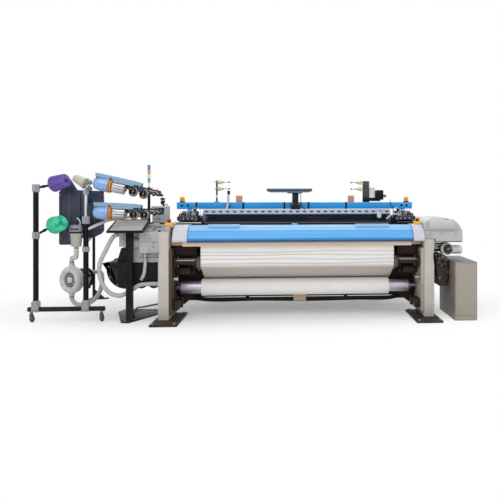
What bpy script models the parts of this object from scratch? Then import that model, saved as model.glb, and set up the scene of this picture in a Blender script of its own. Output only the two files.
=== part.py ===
# Shuttleless loom with weft creel, feeders, drive housings, control cabinet and terminal.
# Metres, +Z up, the weaver stands on the -Y side. While it is built, X = 0 is midway between
# the two front columns, Y = 0 is their front face and Z = 0 is the floor. At the end the whole
# loom is moved so that the middle of its base is the origin.

from math import acos, atan2, cos, degrees, pi, radians, sin

import bmesh
import bpy
from mathutils import Vector

# Gap between pieces that touch, and between a turning piece and its neighbours
GAP = 0.0003
RUNNING_CLEARANCE = 0.006
SHAFT_PLAY = 0.0006

# Front columns, foot plates and side frames
COLUMN_SPACING = 2.57
COLUMN_WIDTH = 0.10
COLUMN_DEPTH = 0.13
LEFT_COLUMN_TOP = 0.865
RIGHT_COLUMN_TOP = 0.785
FOOT_PLATE_THICKNESS = 0.02
FOOT_PLATE_OUTSIDE = 0.095
FOOT_PLATE_INSIDE = 0.16
FOOT_PLATE_FRONT = -0.19
FOOT_PLATE_BACK = 0.45
SIDE_FRAME_THICKNESS = 0.10
SIDE_FRAME_TOP = 0.90
SIDE_FRAME_BACK = 1.72
FRAME_WINDOW_CORNER = 0.05
FRAME_WINDOW_WIDTHS = ((0.56, 0.80), (0.98, 1.20))
FRAME_WINDOW_HEIGHT = (0.28, 0.64)

# Faces of the side frames, and half the free width between them
INNER_FACE = COLUMN_SPACING / 2 - SIDE_FRAME_THICKNESS / 2
OUTER_FACE = COLUMN_SPACING / 2 + SIDE_FRAME_THICKNESS / 2
SPAN = INNER_FACE - GAP

# Cross beams
CROSS_BEAM_HEIGHT = 0.07
CROSS_BEAM_DEPTH = 0.08
CROSS_BEAM_BOTTOM = 0.165
CROSS_BEAM_FRONT = 0.50
REAR_BEAM_BOTTOM = 0.16
REAR_BEAM_HEIGHT = 0.16

# Breast beam and front cover
BREAST_BOTTOM = 0.727
BREAST_TOP = 0.769
BREAST_FRONT = 0.01
BREAST_BACK = 0.30
BREAST_LIP_MARGIN = 0.125
BREAST_LIP_HALF = INNER_FACE - BREAST_LIP_MARGIN
LEFT_CAP_INSET = 0.035
LEFT_CAP_WIDTH = 0.14
RIGHT_CAP_INSET = 0.002
RIGHT_CAP_WIDTH = 0.108
COVER_LEFT = LEFT_CAP_INSET + LEFT_CAP_WIDTH - INNER_FACE
COVER_RIGHT = INNER_FACE - RIGHT_CAP_INSET - RIGHT_CAP_WIDTH
COVER_FRONT = -0.025
COVER_BACK = 0.32
COVER_TOP = 0.92
CAP_OVERHANG = 0.006
HANDLE_HEIGHT = 0.014
HANDLE_SPANS = (("left", -0.874, -0.572), ("right", 0.564, 0.896))
STOP_BOX_WIDTH = 0.076
STOP_BOX_HEIGHT = 0.030
STOP_STEM = 0.060

# Cloth, take-up roller and cloth roll
CLOTH_MARGIN = 0.295
CLOTH_HALF = INNER_FACE - CLOTH_MARGIN
CLOTH_THICKNESS = 0.003
CLOTH_DROP_Y = 0.046
TAKE_UP_RADIUS = 0.06
TAKE_UP_HEIGHT = 0.56
ROLL_SHIFT = 0.02
ROLL_LEFT = -CLOTH_HALF - ROLL_SHIFT
ROLL_RIGHT = CLOTH_HALF - ROLL_SHIFT
ROLL_RADIUS = 0.085
ROLL_Y = 0.30
ROLL_Z = 0.297
TUBE_LEFT_INSET = 0.055
TUBE_RIGHT_INSET = 0.098
TUBE_LEFT = TUBE_LEFT_INSET - INNER_FACE
TUBE_RIGHT = INNER_FACE - TUBE_RIGHT_INSET
TUBE_RADIUS = 0.0625
TUBE_JOURNAL_RADIUS = 0.022

# Reed, sley and heald frames
REED_MARGIN = 0.235
REED_HALF = INNER_FACE - REED_MARGIN
REED_Y = 0.50
REED_BOTTOM = 0.82
REED_TOP = 0.948
REED_THICKNESS = 0.006
BAULK_THICKNESS = 0.018
BAULK_HEIGHT = 0.022
SLEY_HEIGHT = 0.08
SLEY_DEPTH = 0.09
HEALD_FRAMES = 3
HEALD_FIRST_Y = 0.60
HEALD_PITCH = 0.034
HEALD_THICKNESS = 0.014
HEALD_MARGIN = 0.243
HEALD_HALF = INNER_FACE - HEALD_MARGIN
HEALD_BOTTOM = 0.60
HEALD_TOP = 1.066
HEALD_BAR = 0.047
HEALD_STAY = 0.03
HEALD_STAGGER = 0.012
GUIDE_OVERLAP = 0.004
GUIDE_BOTTOM = 0.62
GUIDE_TOP = 1.0

# Top beam and what stands on it
BEAM_LEFT_OVERHANG = 0.065
BEAM_RIGHT_OVERHANG = 0.035
BEAM_LEFT = -INNER_FACE - BEAM_LEFT_OVERHANG
BEAM_RIGHT = INNER_FACE + BEAM_RIGHT_OVERHANG
BEAM_HOLE_INSETS = ((0.055, 0.120), (0.120, 0.063))
SIGNAL_LAMP_RADIUS = 0.028
SIGNAL_LAMP_HEIGHT = 0.062
SENSOR_BOXES = (-0.634, 0.591)
BEAM_Y = 0.85
BEAM_DEPTH = 0.07
BEAM_BOTTOM = 1.067
BEAM_TOP = 1.139
BRACKET_INSET = 0.092
BRACKET_WIDTH = 0.043
LAMP_PANEL_LEFT = -0.333
LAMP_PANEL_RIGHT = 0.16
LAMP_PANEL_BOTTOM = 1.255
LAMP_PANEL_DEPTH = 0.20
LAMP_PANEL_THICKNESS = 0.034
BOBBIN_TOP = 1.378

# Back of the loom
BACKREST_RADIUS = 0.06
BACKREST_Y = 1.50
BACKREST_Z = 0.95
BACKREST_MARGIN = 0.115
BACKREST_HALF = INNER_FACE - BACKREST_MARGIN
WARP_HALF = CLOTH_HALF - 0.01
WARP_THICKNESS = 0.004
WARP_LINE = 0.885
BEAM_AXIS_SETBACK = 0.15
BEAM_AXIS_Y = BACKREST_Y - BEAM_AXIS_SETBACK
REAR_BEAM_SETBACK = 0.49
REAR_BEAM_FRONT = BEAM_AXIS_Y - REAR_BEAM_SETBACK
BEAM_AXIS_Z = 0.50
WOUND_RADIUS = 0.33
FLANGE_RADIUS = 0.40
FLANGE_THICKNESS = 0.02
WARP_SHAFT_RADIUS = 0.045

# Left end: drive housing, lower cover, junction box and light tower
HOUSING_WIDTH = 0.335
HOUSING_LEFT = -OUTER_FACE - HOUSING_WIDTH
HOUSING_FRONT = 0.20
HOUSING_BACK = 0.80
HOUSING_BOTTOM = 0.56
HOUSING_TOP = 0.89
HOUSING_LID = 0.93
LOWER_COVER_FRONT = 0.205
LOWER_COVER_BACK = 0.62
BOWL_RADIUS = 0.19
BOWL_X = HOUSING_LEFT - 0.01
BOWL_Z = HOUSING_BOTTOM - 0.07
LOBE_RADIUS = 0.062
JUNCTION_INSET = 0.008
JUNCTION_WIDTH = 0.164
JUNCTION_RIGHT = -OUTER_FACE - JUNCTION_INSET
JUNCTION_LEFT = JUNCTION_RIGHT - JUNCTION_WIDTH
JUNCTION_TOP = 1.104
TOWER_X = HOUSING_LEFT + 0.103
TOWER_Y = 0.70
TOWER_TOP = 1.536
TOWER_LAMPS = 0.18
TOWER_RADIUS = 0.016

# Right end: housing, brake with hand disc, gear motor and control cabinet
RIGHT_HOUSING_WIDTH = 0.295
RIGHT_HOUSING_END = OUTER_FACE + RIGHT_HOUSING_WIDTH
RIGHT_HOUSING_HEIGHT = 0.238
RIGHT_HOUSING_BACK = 0.70
CABINET_HEIGHT = 0.57
MOTOR_OUT = 0.10
MOTOR_X = OUTER_FACE + MOTOR_OUT
MOTOR_RADIUS = 0.065
MOTOR_REACH = 0.066
MOTOR_BOTTOM = 0.31
MOTOR_FRONT = 0.08
MOTOR_BACK = 0.40
BRAKE_RADIUS = 0.062
DISC_RISE = 0.12
DISC_OUT = 0.154
DISC_X = OUTER_FACE + DISC_OUT
DISC_ABOVE_CABINET = 0.11
DISC_Z = CABINET_HEIGHT + DISC_ABOVE_CABINET
MOTOR_Z = DISC_Z - DISC_RISE
BRAKE_CLEARANCE = 0.010
RIGHT_HOUSING_BOTTOM = DISC_Z + BRAKE_RADIUS + BRAKE_CLEARANCE
RIGHT_HOUSING_TOP = RIGHT_HOUSING_BOTTOM + RIGHT_HOUSING_HEIGHT
DISC_RADIUS = 0.046
DISC_FRONT = 0.07
DISC_THICKNESS = 0.022
BRAKE_BACK = 0.24
BRAKE_CYLINDER_Y = 0.17
BRAKE_CYLINDER_RADIUS = 0.045
BRAKE_CYLINDER_REACH = 0.155
BRAKE_CYLINDER_DROP = 0.01
CABINET_GAP = 0.014
CABINET_WIDTH = 0.223
CABINET_LEFT = MOTOR_X + MOTOR_REACH + CABINET_GAP
CABINET_RIGHT = CABINET_LEFT + CABINET_WIDTH
CABINET_FRONT = -0.10
CABINET_BACK = 0.55

# Weft feeders and their stand
FEEDER_Y = 0.10
FEEDER_OUT = 0.475
UPPER_FEEDER = (-OUTER_FACE - FEEDER_OUT, 1.311)
UPPER_TILT = 13.0
LOWER_FEEDER = (-OUTER_FACE - FEEDER_OUT, 1.050)
LOWER_TILT = 3.0
FEEDER_BODY_RADIUS = 0.070
FEEDER_BODY_LENGTH = 0.145
RING_RADIUS = 0.070
RING_WIDTH = 0.024
DRUM_RADIUS = 0.056
DRUM_LENGTH = 0.125
DRUM_SLOTS = 12
STAND_X = HOUSING_LEFT + 0.17
STAND_Y = 0.385
STAND_RADIUS = 0.014

# Operator terminal
TERMINAL_OUT = 0.294
TERMINAL_POST_X = -OUTER_FACE - TERMINAL_OUT
TERMINAL_LEFT_REACH = 0.187
TERMINAL_RIGHT_REACH = 0.153
TERMINAL_RIM = 0.018
TERMINAL_FACE_DEPTH = 0.004
TERMINAL_FRONT = 0.0
TERMINAL_FRONT_Z = 0.880
TERMINAL_DEPTH = 0.364
TERMINAL_SLOPE = 15.5
TERMINAL_THICKNESS = 0.022
TERMINAL_POST_WIDTH = 0.064
TERMINAL_POST_DEPTH = 0.05
TERMINAL_POST_Y = 0.13
BASE_PLATE_THICKNESS = 0.014

# Creel
CREEL_Y = 0.12
CREEL_OUT = 0.525
CREEL_LENGTH = 0.718
CREEL_TUBE_RIGHT = -OUTER_FACE - CREEL_OUT
CREEL_TUBE_LEFT = CREEL_TUBE_RIGHT - CREEL_LENGTH
CREEL_TUBE_Z = 0.127
CREEL_TUBE_RADIUS = 0.023
POST_RADIUS = 0.025
CLAMP_WALL = 0.009
RIGHT_CLAMP_WALL = 0.011
SLIM_CLAMP_WALL = 0.012
LEFT_POST_INSET = 0.074
LEFT_POST_X = CREEL_TUBE_LEFT + LEFT_POST_INSET
LEFT_POST_TOP = 1.32
RIGHT_POST_INSET = 0.178
RIGHT_POST_X = CREEL_TUBE_RIGHT - RIGHT_POST_INSET
RIGHT_POST_TOP = 0.980
SLIM_POST_RADIUS = 0.015
SLIM_POST_TOP = 1.27
REAR_POST_X = CREEL_TUBE_LEFT + 0.218
REAR_POST_Y = 1.45
REAR_POST_TOP = 0.79
REAR_POST_RADIUS = 0.016
UPPER_ARM_Z = 1.286
LOWER_ARM_Z = 0.835
TIE_Z = 1.01
PANEL_FRONT = 0.24
PANEL_THICKNESS = 0.03
PANEL_LEFT_REACH = 0.2945
PANEL_RIGHT_REACH = 0.1294
PANEL_STEP_REACH = 0.133
PANEL_TOP = 1.259
PANEL_PEAK = 1.377
PANEL_SHOULDER = 0.867
PANEL_STEP = 0.795
PANEL_BOTTOM = 0.733
PANEL_CORNER = 0.012
BIN_REACH = 0.09
BIN_X = RIGHT_POST_X - BIN_REACH
BIN_Y = 0.12
BIN_TOP = 0.935
BIN_LID_HEIGHT = 0.066
BIN_HEIGHT = 0.21
BIN_TOP_RADIUS = 0.060
BIN_BOTTOM_RADIUS = 0.046
BLOWER_X = RIGHT_POST_X - 0.203
BLOWER_Y = 0.22
BLOWER_Z = 0.388
BLOWER_TURN = 28.0
BLOWER_RADIUS = 0.133
BLOWER_DEPTH = 0.10
BLOWER_VANES = 7
BLOWER_MOTOR_RADIUS = 0.07
BLOWER_MOTOR_LENGTH = 0.13

# Yarn cones: middle of the base, direction, length, radius at the base and at the tip
PURPLE_CONE = ((LEFT_POST_X + 0.159, 0.13, 1.325), (0.86, -0.42, 0.22), 0.160, 0.078, 0.066)
GREEN_CONE = ((LEFT_POST_X + 0.167, 0.135, 0.930), (0.66, -0.72, 0.18), 0.140, 0.084, 0.074)
CREAM_CONE = ((RIGHT_POST_X - 0.017, 0.14, 1.335), (-0.80, 0.20, 0.42), 0.120, 0.052, 0.036)

# Castors
CASTOR_INSET = 0.0325
CASTOR_WHEEL_RADIUS = 0.032
CASTOR_WHEEL_WIDTH = 0.022
CASTOR_TRAIL = 0.022
FORK_WALL = 0.005

# Hoses and the terminal's cable
HOSE_RADIUS = 0.022
BRANCH_RADIUS = 0.018
CABLE_RADIUS = 0.008


# Helpers

ROOT = None

# Pieces of so many joined shapes that only the manifold solver closes them
MANY_SHAPES = ("creel_frame",)


def clear_scene():
    for old in list(bpy.data.objects):
        bpy.data.objects.remove(old, do_unlink=True)


def finish_piece(piece, at):
    """Place a piece and hang it under the loom's empty."""
    piece.location = at
    bpy.context.collection.objects.link(piece)
    piece.parent = ROOT
    return piece


def add(name, shape, at=(0.0, 0.0, 0.0)):
    """Turn a bmesh into an object with its faces pointing out."""
    bmesh.ops.recalc_face_normals(shape, faces=shape.faces[:])
    mesh = bpy.data.meshes.new(name)
    shape.to_mesh(mesh)
    shape.free()
    return finish_piece(bpy.data.objects.new(name, mesh), at)


def box(name, x, y, z, edge=0.0):
    """A block between three pairs of limits, with rounded edges where edge is given."""
    shape = bmesh.new()
    bmesh.ops.create_cube(shape, size=1.0)
    size = (x[1] - x[0], y[1] - y[0], z[1] - z[0])
    bmesh.ops.scale(shape, vec=size, verts=shape.verts[:])
    if edge:
        bmesh.ops.bevel(
            shape, geom=shape.edges[:], offset=edge, segments=1, profile=0.5,
            affect='EDGES', material=-1)
    return add(name, shape, [(low + high) / 2 for low, high in (x, y, z)])


def extrusion(name, outline, axis, low, high):
    """Extrude an outline along X (points are y, z), Y (x, z) or Z (x, y)."""
    across = [(min(p[i] for p in outline) + max(p[i] for p in outline)) / 2 for i in (0, 1)]
    shape = bmesh.new()
    corners = []
    half = (high - low) / 2
    for first, second in outline:
        a = first - across[0]
        b = second - across[1]
        point = {"X": (-half, a, b), "Y": (a, -half, b), "Z": (a, b, -half)}[axis]
        corners.append(shape.verts.new(point))
    face = shape.faces.new(corners)
    grown = bmesh.ops.extrude_face_region(shape, geom=[face])
    moved = [item for item in grown["geom"] if isinstance(item, bmesh.types.BMVert)]
    way = {"X": (2 * half, 0, 0), "Y": (0, 2 * half, 0), "Z": (0, 0, 2 * half)}[axis]
    bmesh.ops.translate(shape, vec=way, verts=moved)
    middle = (low + high) / 2
    place = {
        "X": (middle, across[0], across[1]),
        "Y": (across[0], middle, across[1]),
        "Z": (across[0], across[1], middle)}[axis]
    return add(name, shape, place)


def turned(name, profile, sides, at, way=(0.0, 0.0, 1.0), closed=False):
    """Spin a profile of (distance along the axis, radius) pairs about an axis."""
    shape = bmesh.new()
    line = [shape.verts.new((radius, 0.0, along)) for along, radius in profile]
    pairs = list(zip(line, line[1:]))
    if closed:
        pairs.append((line[-1], line[0]))
    edges = [shape.edges.new(pair) for pair in pairs]
    bmesh.ops.spin(
        shape, geom=line + edges, axis=(0, 0, 1), cent=(0, 0, 0), angle=2 * pi,
        steps=sides, use_merge=True)
    bmesh.ops.remove_doubles(shape, verts=shape.verts[:], dist=0.00001)
    piece = add(name, shape, at)
    piece.rotation_euler = Vector(way).to_track_quat('Z', 'Y').to_euler()
    piece.data.shade_smooth()
    piece.data.set_sharp_from_angle(angle=radians(35))
    return piece


def rod(name, start, end, radius, sides=10):
    """A plain round bar from one point to another."""
    way = Vector(end) - Vector(start)
    profile = [(0, 0), (0, radius), (way.length, radius), (way.length, 0)]
    return turned(name, profile, sides, start, way)


def smooth_route(route, step):
    """Points along a smooth curve through the route, about one step apart."""
    points = [Vector(point) for point in route]
    padded = [2 * points[0] - points[1]] + points + [2 * points[-1] - points[-2]]
    out = []
    for i in range(1, len(padded) - 2):
        before, start, end, after = padded[i - 1:i + 3]
        count = max(1, round((end - start).length / step))
        for k in range(count):
            t = k / count
            out.append(0.5 * (
                2 * start + (end - before) * t
                + (2 * before - 5 * start + 4 * end - after) * t * t
                + (3 * start - before - 3 * end + after) * t ** 3))
    out.append(points[-1])
    return out


def hose(name, route, radius):
    """A hose or cable: a round tube with closed ends along a smooth route."""
    curve = bpy.data.curves.new(name, 'CURVE')
    curve.dimensions = '3D'
    curve.bevel_depth = radius
    curve.bevel_resolution = 2
    curve.use_fill_caps = True
    curve.render_resolution_u = 0
    line = curve.splines.new('POLY')
    points = smooth_route(route, 5 * radius)
    line.points.add(len(points) - 1)
    for place, point in zip(points, line.points):
        point.co = (*place, 1.0)
    return finish_piece(bpy.data.objects.new(name, curve), (0.0, 0.0, 0.0))


def combine(piece, operation, others):
    for other in others:
        other.hide_render = True
        other.display_type = 'WIRE'
        change = piece.modifiers.new(operation.lower(), 'BOOLEAN')
        change.operation = operation
        change.solver = 'MANIFOLD' if piece.name in MANY_SHAPES else 'EXACT'
        change.object = other
    return piece


def join(piece, *others):
    """Fuse further shapes with a piece."""
    return combine(piece, 'UNION', others)


def cut(piece, *others):
    """Cut shapes out of a piece."""
    return combine(piece, 'DIFFERENCE', others)


def soften(piece, width, segments=1):
    """Round a piece's sharp edges."""
    bevel = piece.modifiers.new("rounded edges", 'BEVEL')
    bevel.width = width
    bevel.segments = segments
    bevel.limit_method = 'ANGLE'
    bevel.angle_limit = radians(40)
    return piece


def paint(piece, colour, roughness=0.5, metallic=0.0):
    """Give a piece its own material, with the colour as 0 to 255 screen values."""
    look = bpy.data.materials.new(piece.name)
    look.use_nodes = True
    shader = look.node_tree.nodes["Principled BSDF"]
    linear = [(value / 255) ** 2.2 for value in colour]
    shader.inputs["Base Color"].default_value = (*linear, 1.0)
    shader.inputs["Roughness"].default_value = roughness
    shader.inputs["Metallic"].default_value = metallic
    piece.data.materials.append(look)
    return piece


def arc(middle, radius, start, end, steps):
    """Points on a circle, angles in degrees."""
    turn = [radians(start + (end - start) * i / steps) for i in range(steps + 1)]
    return [(middle[0] + radius * cos(t), middle[1] + radius * sin(t)) for t in turn]


def mirrored_span(side, low, high):
    """Limits along X on the left (side -1) or the right (side 1)."""
    return (low, high) if side > 0 else (-high, -low)


# Frame

def build_column(name, side, top):
    """A cast post, a little bowed on its outer side, on its foot plate."""
    middle = COLUMN_SPACING / 2
    half = COLUMN_WIDTH / 2
    foot = FOOT_PLATE_THICKNESS / 2
    outline = [(middle - half, foot), (middle + half * 0.94, foot)]
    outline += [(middle + half, 0.36 * top), (middle + half, 0.68 * top)]
    outline += [(middle + 0.8 * half, 0.78 * top), (middle + half, 0.9 * top)]
    outline += [(middle + half, top), (middle - half, top)]
    outline = [(side * x, z) for x, z in outline]
    column = extrusion(name, outline, "Y", 0.0, COLUMN_DEPTH)
    soften(column, 0.008)
    span = mirrored_span(side, middle - FOOT_PLATE_INSIDE, middle + FOOT_PLATE_OUTSIDE)
    depth = (FOOT_PLATE_FRONT, FOOT_PLATE_BACK)
    join(column, box(name + "_plate", span, depth, (0.0, FOOT_PLATE_THICKNESS), 0.003))
    return paint(column, (200, 192, 185), 0.55, 0.1)


def line_normal(first, second, offset):
    """Direction in degrees that a straight run from one round piece to another faces.

    The run passes the first centre at some distance and the second at that distance less
    the offset, on the side reached by turning clockwise from the line between the centres.
    """
    way = Vector(second) - Vector(first)
    turn = atan2(way.y, way.x) - acos(offset / way.length)
    return degrees(turn) % 360


def polar(middle, radius, angle):
    """The point at a distance and an angle in degrees from a centre."""
    return (middle[0] + radius * cos(radians(angle)), middle[1] + radius * sin(radians(angle)))


def window(name, y, z, corner):
    """A cutter with rounded corners through a side frame."""
    outline = []
    corners = ((y[1], z[1], 0), (y[0], z[1], 90), (y[0], z[0], 180), (y[1], z[0], 270))
    for corner_y, corner_z, start in corners:
        inward_y = -corner if corner_y == y[1] else corner
        inward_z = -corner if corner_z == z[1] else corner
        middle = (corner_y + inward_y, corner_z + inward_z)
        outline += arc(middle, corner, start, start + 90, 3)
    reach = OUTER_FACE + 0.05
    return extrusion(name, outline, "X", -reach, reach)


def build_side_frame(name, side):
    """Cast side frame: rear foot, two windows, the arm under the top beam, the frame guide."""
    front = COLUMN_DEPTH + GAP
    base = FOOT_PLATE_THICKNESS + GAP
    top = SIDE_FRAME_TOP
    back = SIDE_FRAME_BACK
    boss = BACKREST_Z + BACKREST_RADIUS + 0.02
    outline = [(front, base), (FOOT_PLATE_BACK - 0.01, base), (FOOT_PLATE_BACK + 0.05, 0.14)]
    outline += [(back - 0.32, 0.14), (back - 0.28, 0.0), (back, 0.0), (back, 0.06)]
    outline += [(back - 0.06, 0.55), (BACKREST_Y + 0.10, boss - 0.04)]
    outline += [(BACKREST_Y + 0.06, boss), (BACKREST_Y - 0.06, boss)]
    outline += [(BACKREST_Y - 0.16, top + 0.03), (BEAM_Y + 0.20, top), (front, top)]
    frame = extrusion(name, outline, "X", *mirrored_span(side, INNER_FACE, OUTER_FACE))
    for i, width in enumerate(FRAME_WINDOW_WIDTHS):
        opening = name + "_window_%d" % (i + 1)
        cut(frame, window(opening, width, FRAME_WINDOW_HEIGHT, FRAME_WINDOW_CORNER))
    inner = INNER_FACE - BRACKET_INSET
    post_x = mirrored_span(side, inner, inner + BRACKET_WIDTH)
    post_y = (BEAM_Y - 0.03, BEAM_Y + 0.03)
    arm_x = mirrored_span(side, inner + 0.01, INNER_FACE + 0.02)
    post = box(name + "_beam_post", post_x, post_y, (top - 0.10, BEAM_BOTTOM - GAP))
    arm = box(name + "_beam_arm", arm_x, (BEAM_Y - 0.025, BEAM_Y + 0.025), (top - 0.09, top - 0.03))
    join(frame, post, arm, *guide_shapes(name, side))
    return paint(frame, (175, 178, 180), 0.55, 0.2)


def build_cross_beams():
    low = CROSS_BEAM_BOTTOM
    front = CROSS_BEAM_FRONT
    depth = (front, front + CROSS_BEAM_DEPTH)
    lower = box("lower_cross_beam", (-SPAN, SPAN), depth, (low, low + CROSS_BEAM_HEIGHT), 0.006)
    paint(lower, (60, 50, 45), 0.6, 0.3)
    depth = (REAR_BEAM_FRONT, REAR_BEAM_FRONT + CROSS_BEAM_DEPTH)
    height = (REAR_BEAM_BOTTOM, REAR_BEAM_BOTTOM + REAR_BEAM_HEIGHT)
    rear = box("rear_cross_beam", (-SPAN, SPAN), depth, height, 0.006)
    paint(rear, (170, 172, 175), 0.55, 0.2)


# Breast beam, cover and stop boxes

def build_breast_beam():
    """A beam between the side frames with a shorter lip in front of it."""
    shoulder = COLUMN_DEPTH + 0.01
    nose = 0.012
    outline = [(-SPAN, BREAST_BACK), (-SPAN, shoulder), (-BREAST_LIP_HALF, shoulder)]
    outline += [(-BREAST_LIP_HALF, BREAST_FRONT + nose), (-BREAST_LIP_HALF + nose, BREAST_FRONT)]
    outline += [(BREAST_LIP_HALF - nose, BREAST_FRONT), (BREAST_LIP_HALF, BREAST_FRONT + nose)]
    outline += [(BREAST_LIP_HALF, shoulder), (SPAN, shoulder), (SPAN, BREAST_BACK)]
    beam = extrusion("breast_beam", outline, "Z", BREAST_BOTTOM, BREAST_TOP)
    soften(beam, 0.006)
    return paint(beam, (205, 178, 152), 0.5)


def cover_section(spread):
    """Section of the front cover in Y and Z, grown by spread at its outer faces."""
    low = BREAST_TOP + GAP
    front = COVER_FRONT - spread
    top = COVER_TOP + spread
    section = [(COVER_BACK, low), (front + 0.012, low), (front, low + 0.01)]
    section += [(front + 0.004, low + 0.035), (front + 0.055, top - 0.046)]
    section += [(front + 0.061, top - 0.046), (front + 0.066, top - 0.036)]
    section += arc((front + 0.145, top - 0.055), 0.055 + 0.0001, 152, 90, 4)
    section += [(COVER_BACK - 0.03, top), (COVER_BACK, top - 0.03)]
    return section


def build_front_cover():
    """One long housing with a seam along its face and two raised handles."""
    cover = extrusion("front_cover", cover_section(0.0), "X", COVER_LEFT, COVER_RIGHT)
    for label, low, high in HANDLE_SPANS:
        ridge = [(0.075, COVER_TOP - 0.03), (0.09, COVER_TOP + HANDLE_HEIGHT)]
        ridge += [(0.15, COVER_TOP + HANDLE_HEIGHT), (0.17, COVER_TOP - 0.03)]
        join(cover, extrusion(label + "_handle_shape", ridge, "X", low, high))
    height = (COVER_TOP - 0.02, COVER_TOP + 0.018)
    join(cover, box("latch_shape", (-0.065, -0.005), (0.14, 0.18), height))
    return paint(cover, (100, 178, 242), 0.35)


def build_cap(name, near, far):
    """End cap of the cover, leaning as the cover's face does."""
    low = near + (GAP if far > near else -GAP)
    cap = extrusion(name, cover_section(CAP_OVERHANG), "X", *sorted((low, far)))
    return paint(cap, (205, 205, 215), 0.4)


def build_stop_box(name, x, y, seat, stem):
    """Yellow box with a red button, on a short stem where it stands on a column."""
    top = seat + stem + STOP_BOX_HEIGHT
    half = STOP_BOX_WIDTH / 2
    stop = box(name, (x - half, x + half), (y - half, y + half), (seat + stem + GAP, top), 0.004)
    if stem:
        outward = 0.012 if x > 0 else -0.012
        limits = (x + outward - 0.018, x + outward + 0.018)
        join(stop, box(name + "_stem", limits, (y - 0.02, y + 0.02), (seat + GAP, top - 0.01)))
    profile = [(-0.01, 0), (-0.01, 0.014), (0.012, 0.014), (0.014, 0.022)]
    profile += [(0.028, 0.022), (0.035, 0.014), (0.035, 0)]
    join(stop, turned(name + "_button", profile, 12, (x, y, top)))
    return paint(stop, (240, 190, 50), 0.45)


# Cloth side

def build_cloth_web():
    """Cloth from the breast beam down round the take-up roller and over the cloth roll."""
    thick = CLOTH_THICKNESS
    near = TAKE_UP_RADIUS + 3 * GAP
    clear = ROLL_RADIUS + RUNNING_CLEARANCE
    axis = (CLOTH_DROP_Y + thick + near, TAKE_UP_HEIGHT)
    roll = (ROLL_Y, ROLL_Z)
    turn = line_normal(axis, roll, near + thick + clear)
    top = BREAST_BOTTOM - GAP
    inner = [(axis[0] - near, top)] + arc(axis, near, 180, turn, 5)
    inner.append(polar(roll, clear + thick, turn + 180))
    outer = [(axis[0] - near - thick, top)] + arc(axis, near + thick, 180, turn, 5)
    outer.append(polar(roll, clear, turn + 180))
    web = extrusion("cloth_web", inner + outer[::-1], "X", -CLOTH_HALF, CLOTH_HALF)
    return paint(web, (232, 232, 230), 0.9)


def build_take_up_roller():
    axis_y = CLOTH_DROP_Y + CLOTH_THICKNESS + 3 * GAP + TAKE_UP_RADIUS
    half = CLOTH_HALF + 0.04
    profile = [(0, 0), (0, 0.02), (SPAN - half, 0.02), (SPAN - half, TAKE_UP_RADIUS)]
    profile += [(SPAN + half, TAKE_UP_RADIUS), (SPAN + half, 0.02)]
    profile += [(2 * SPAN, 0.02), (2 * SPAN, 0)]
    roller = turned("take_up_roller", profile, 16, (-SPAN, axis_y, TAKE_UP_HEIGHT), (1, 0, 0))
    return paint(roller, (70, 60, 55), 0.6)


def build_cloth_roll():
    """Wound cloth on a tube with rounded ends; both turn on the tube's journals."""
    length = ROLL_RIGHT - ROLL_LEFT
    bore = TUBE_RADIUS + GAP
    profile = [(0, bore), (0, ROLL_RADIUS - 0.004), (0.004, ROLL_RADIUS)]
    profile += [(length - 0.004, ROLL_RADIUS), (length, ROLL_RADIUS - 0.004), (length, bore)]
    cloth = turned("cloth_roll", profile, 24, (ROLL_LEFT, ROLL_Y, ROLL_Z), (1, 0, 0), True)
    paint(cloth, (225, 222, 218), 0.9)
    left_end = SPAN - SHAFT_PLAY + TUBE_LEFT
    right_end = SPAN - SHAFT_PLAY - TUBE_RIGHT
    length = TUBE_RIGHT - TUBE_LEFT
    nose = 0.02
    profile = [(-left_end, 0), (-left_end, TUBE_JOURNAL_RADIUS), (0, TUBE_JOURNAL_RADIUS)]
    profile += [(0, TUBE_RADIUS - nose), (nose / 3, TUBE_RADIUS - nose / 3), (nose, TUBE_RADIUS)]
    profile += [(length - nose, TUBE_RADIUS), (length - nose / 3, TUBE_RADIUS - nose / 3)]
    profile += [(length, TUBE_RADIUS - nose), (length, TUBE_JOURNAL_RADIUS)]
    profile += [(length + right_end, TUBE_JOURNAL_RADIUS), (length + right_end, 0)]
    tube = turned("roll_tube", profile, 24, (TUBE_LEFT, ROLL_Y, ROLL_Z), (1, 0, 0))
    paint(tube, (200, 195, 215), 0.45, 0.3)


# Reed, sley, heald frames and their guides

def build_reed():
    """Thin reed between two baulks, clamped on the beam of the sley."""
    blade = REED_THICKNESS / 2
    baulk = BAULK_THICKNESS / 2
    step = 0.004
    outline = []
    for way in (1, -1):
        side = [(way * baulk, REED_BOTTOM), (way * baulk, REED_BOTTOM + BAULK_HEIGHT)]
        side += [(way * blade, REED_BOTTOM + BAULK_HEIGHT + step)]
        side += [(way * blade, REED_TOP - BAULK_HEIGHT - step)]
        side += [(way * baulk, REED_TOP - BAULK_HEIGHT), (way * baulk, REED_TOP)]
        outline += side if way > 0 else side[::-1]
    outline = [(REED_Y + y, z) for y, z in outline]
    reed = extrusion("sley_with_reed", outline, "X", -REED_HALF, REED_HALF)
    top = REED_BOTTOM + 0.004
    low = top - SLEY_HEIGHT
    half = SLEY_DEPTH / 2
    section = [(REED_Y - half, low), (REED_Y + half * 0.7, low), (REED_Y + half, low + 0.02)]
    section += [(REED_Y + half * 0.5, top), (REED_Y - half, top)]
    join(reed, extrusion("sley_shape", section, "X", -SPAN, SPAN))
    return paint(reed, (90, 130, 140), 0.35, 0.6)


def heald_y(index):
    return HEALD_FIRST_Y + index * HEALD_PITCH


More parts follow.
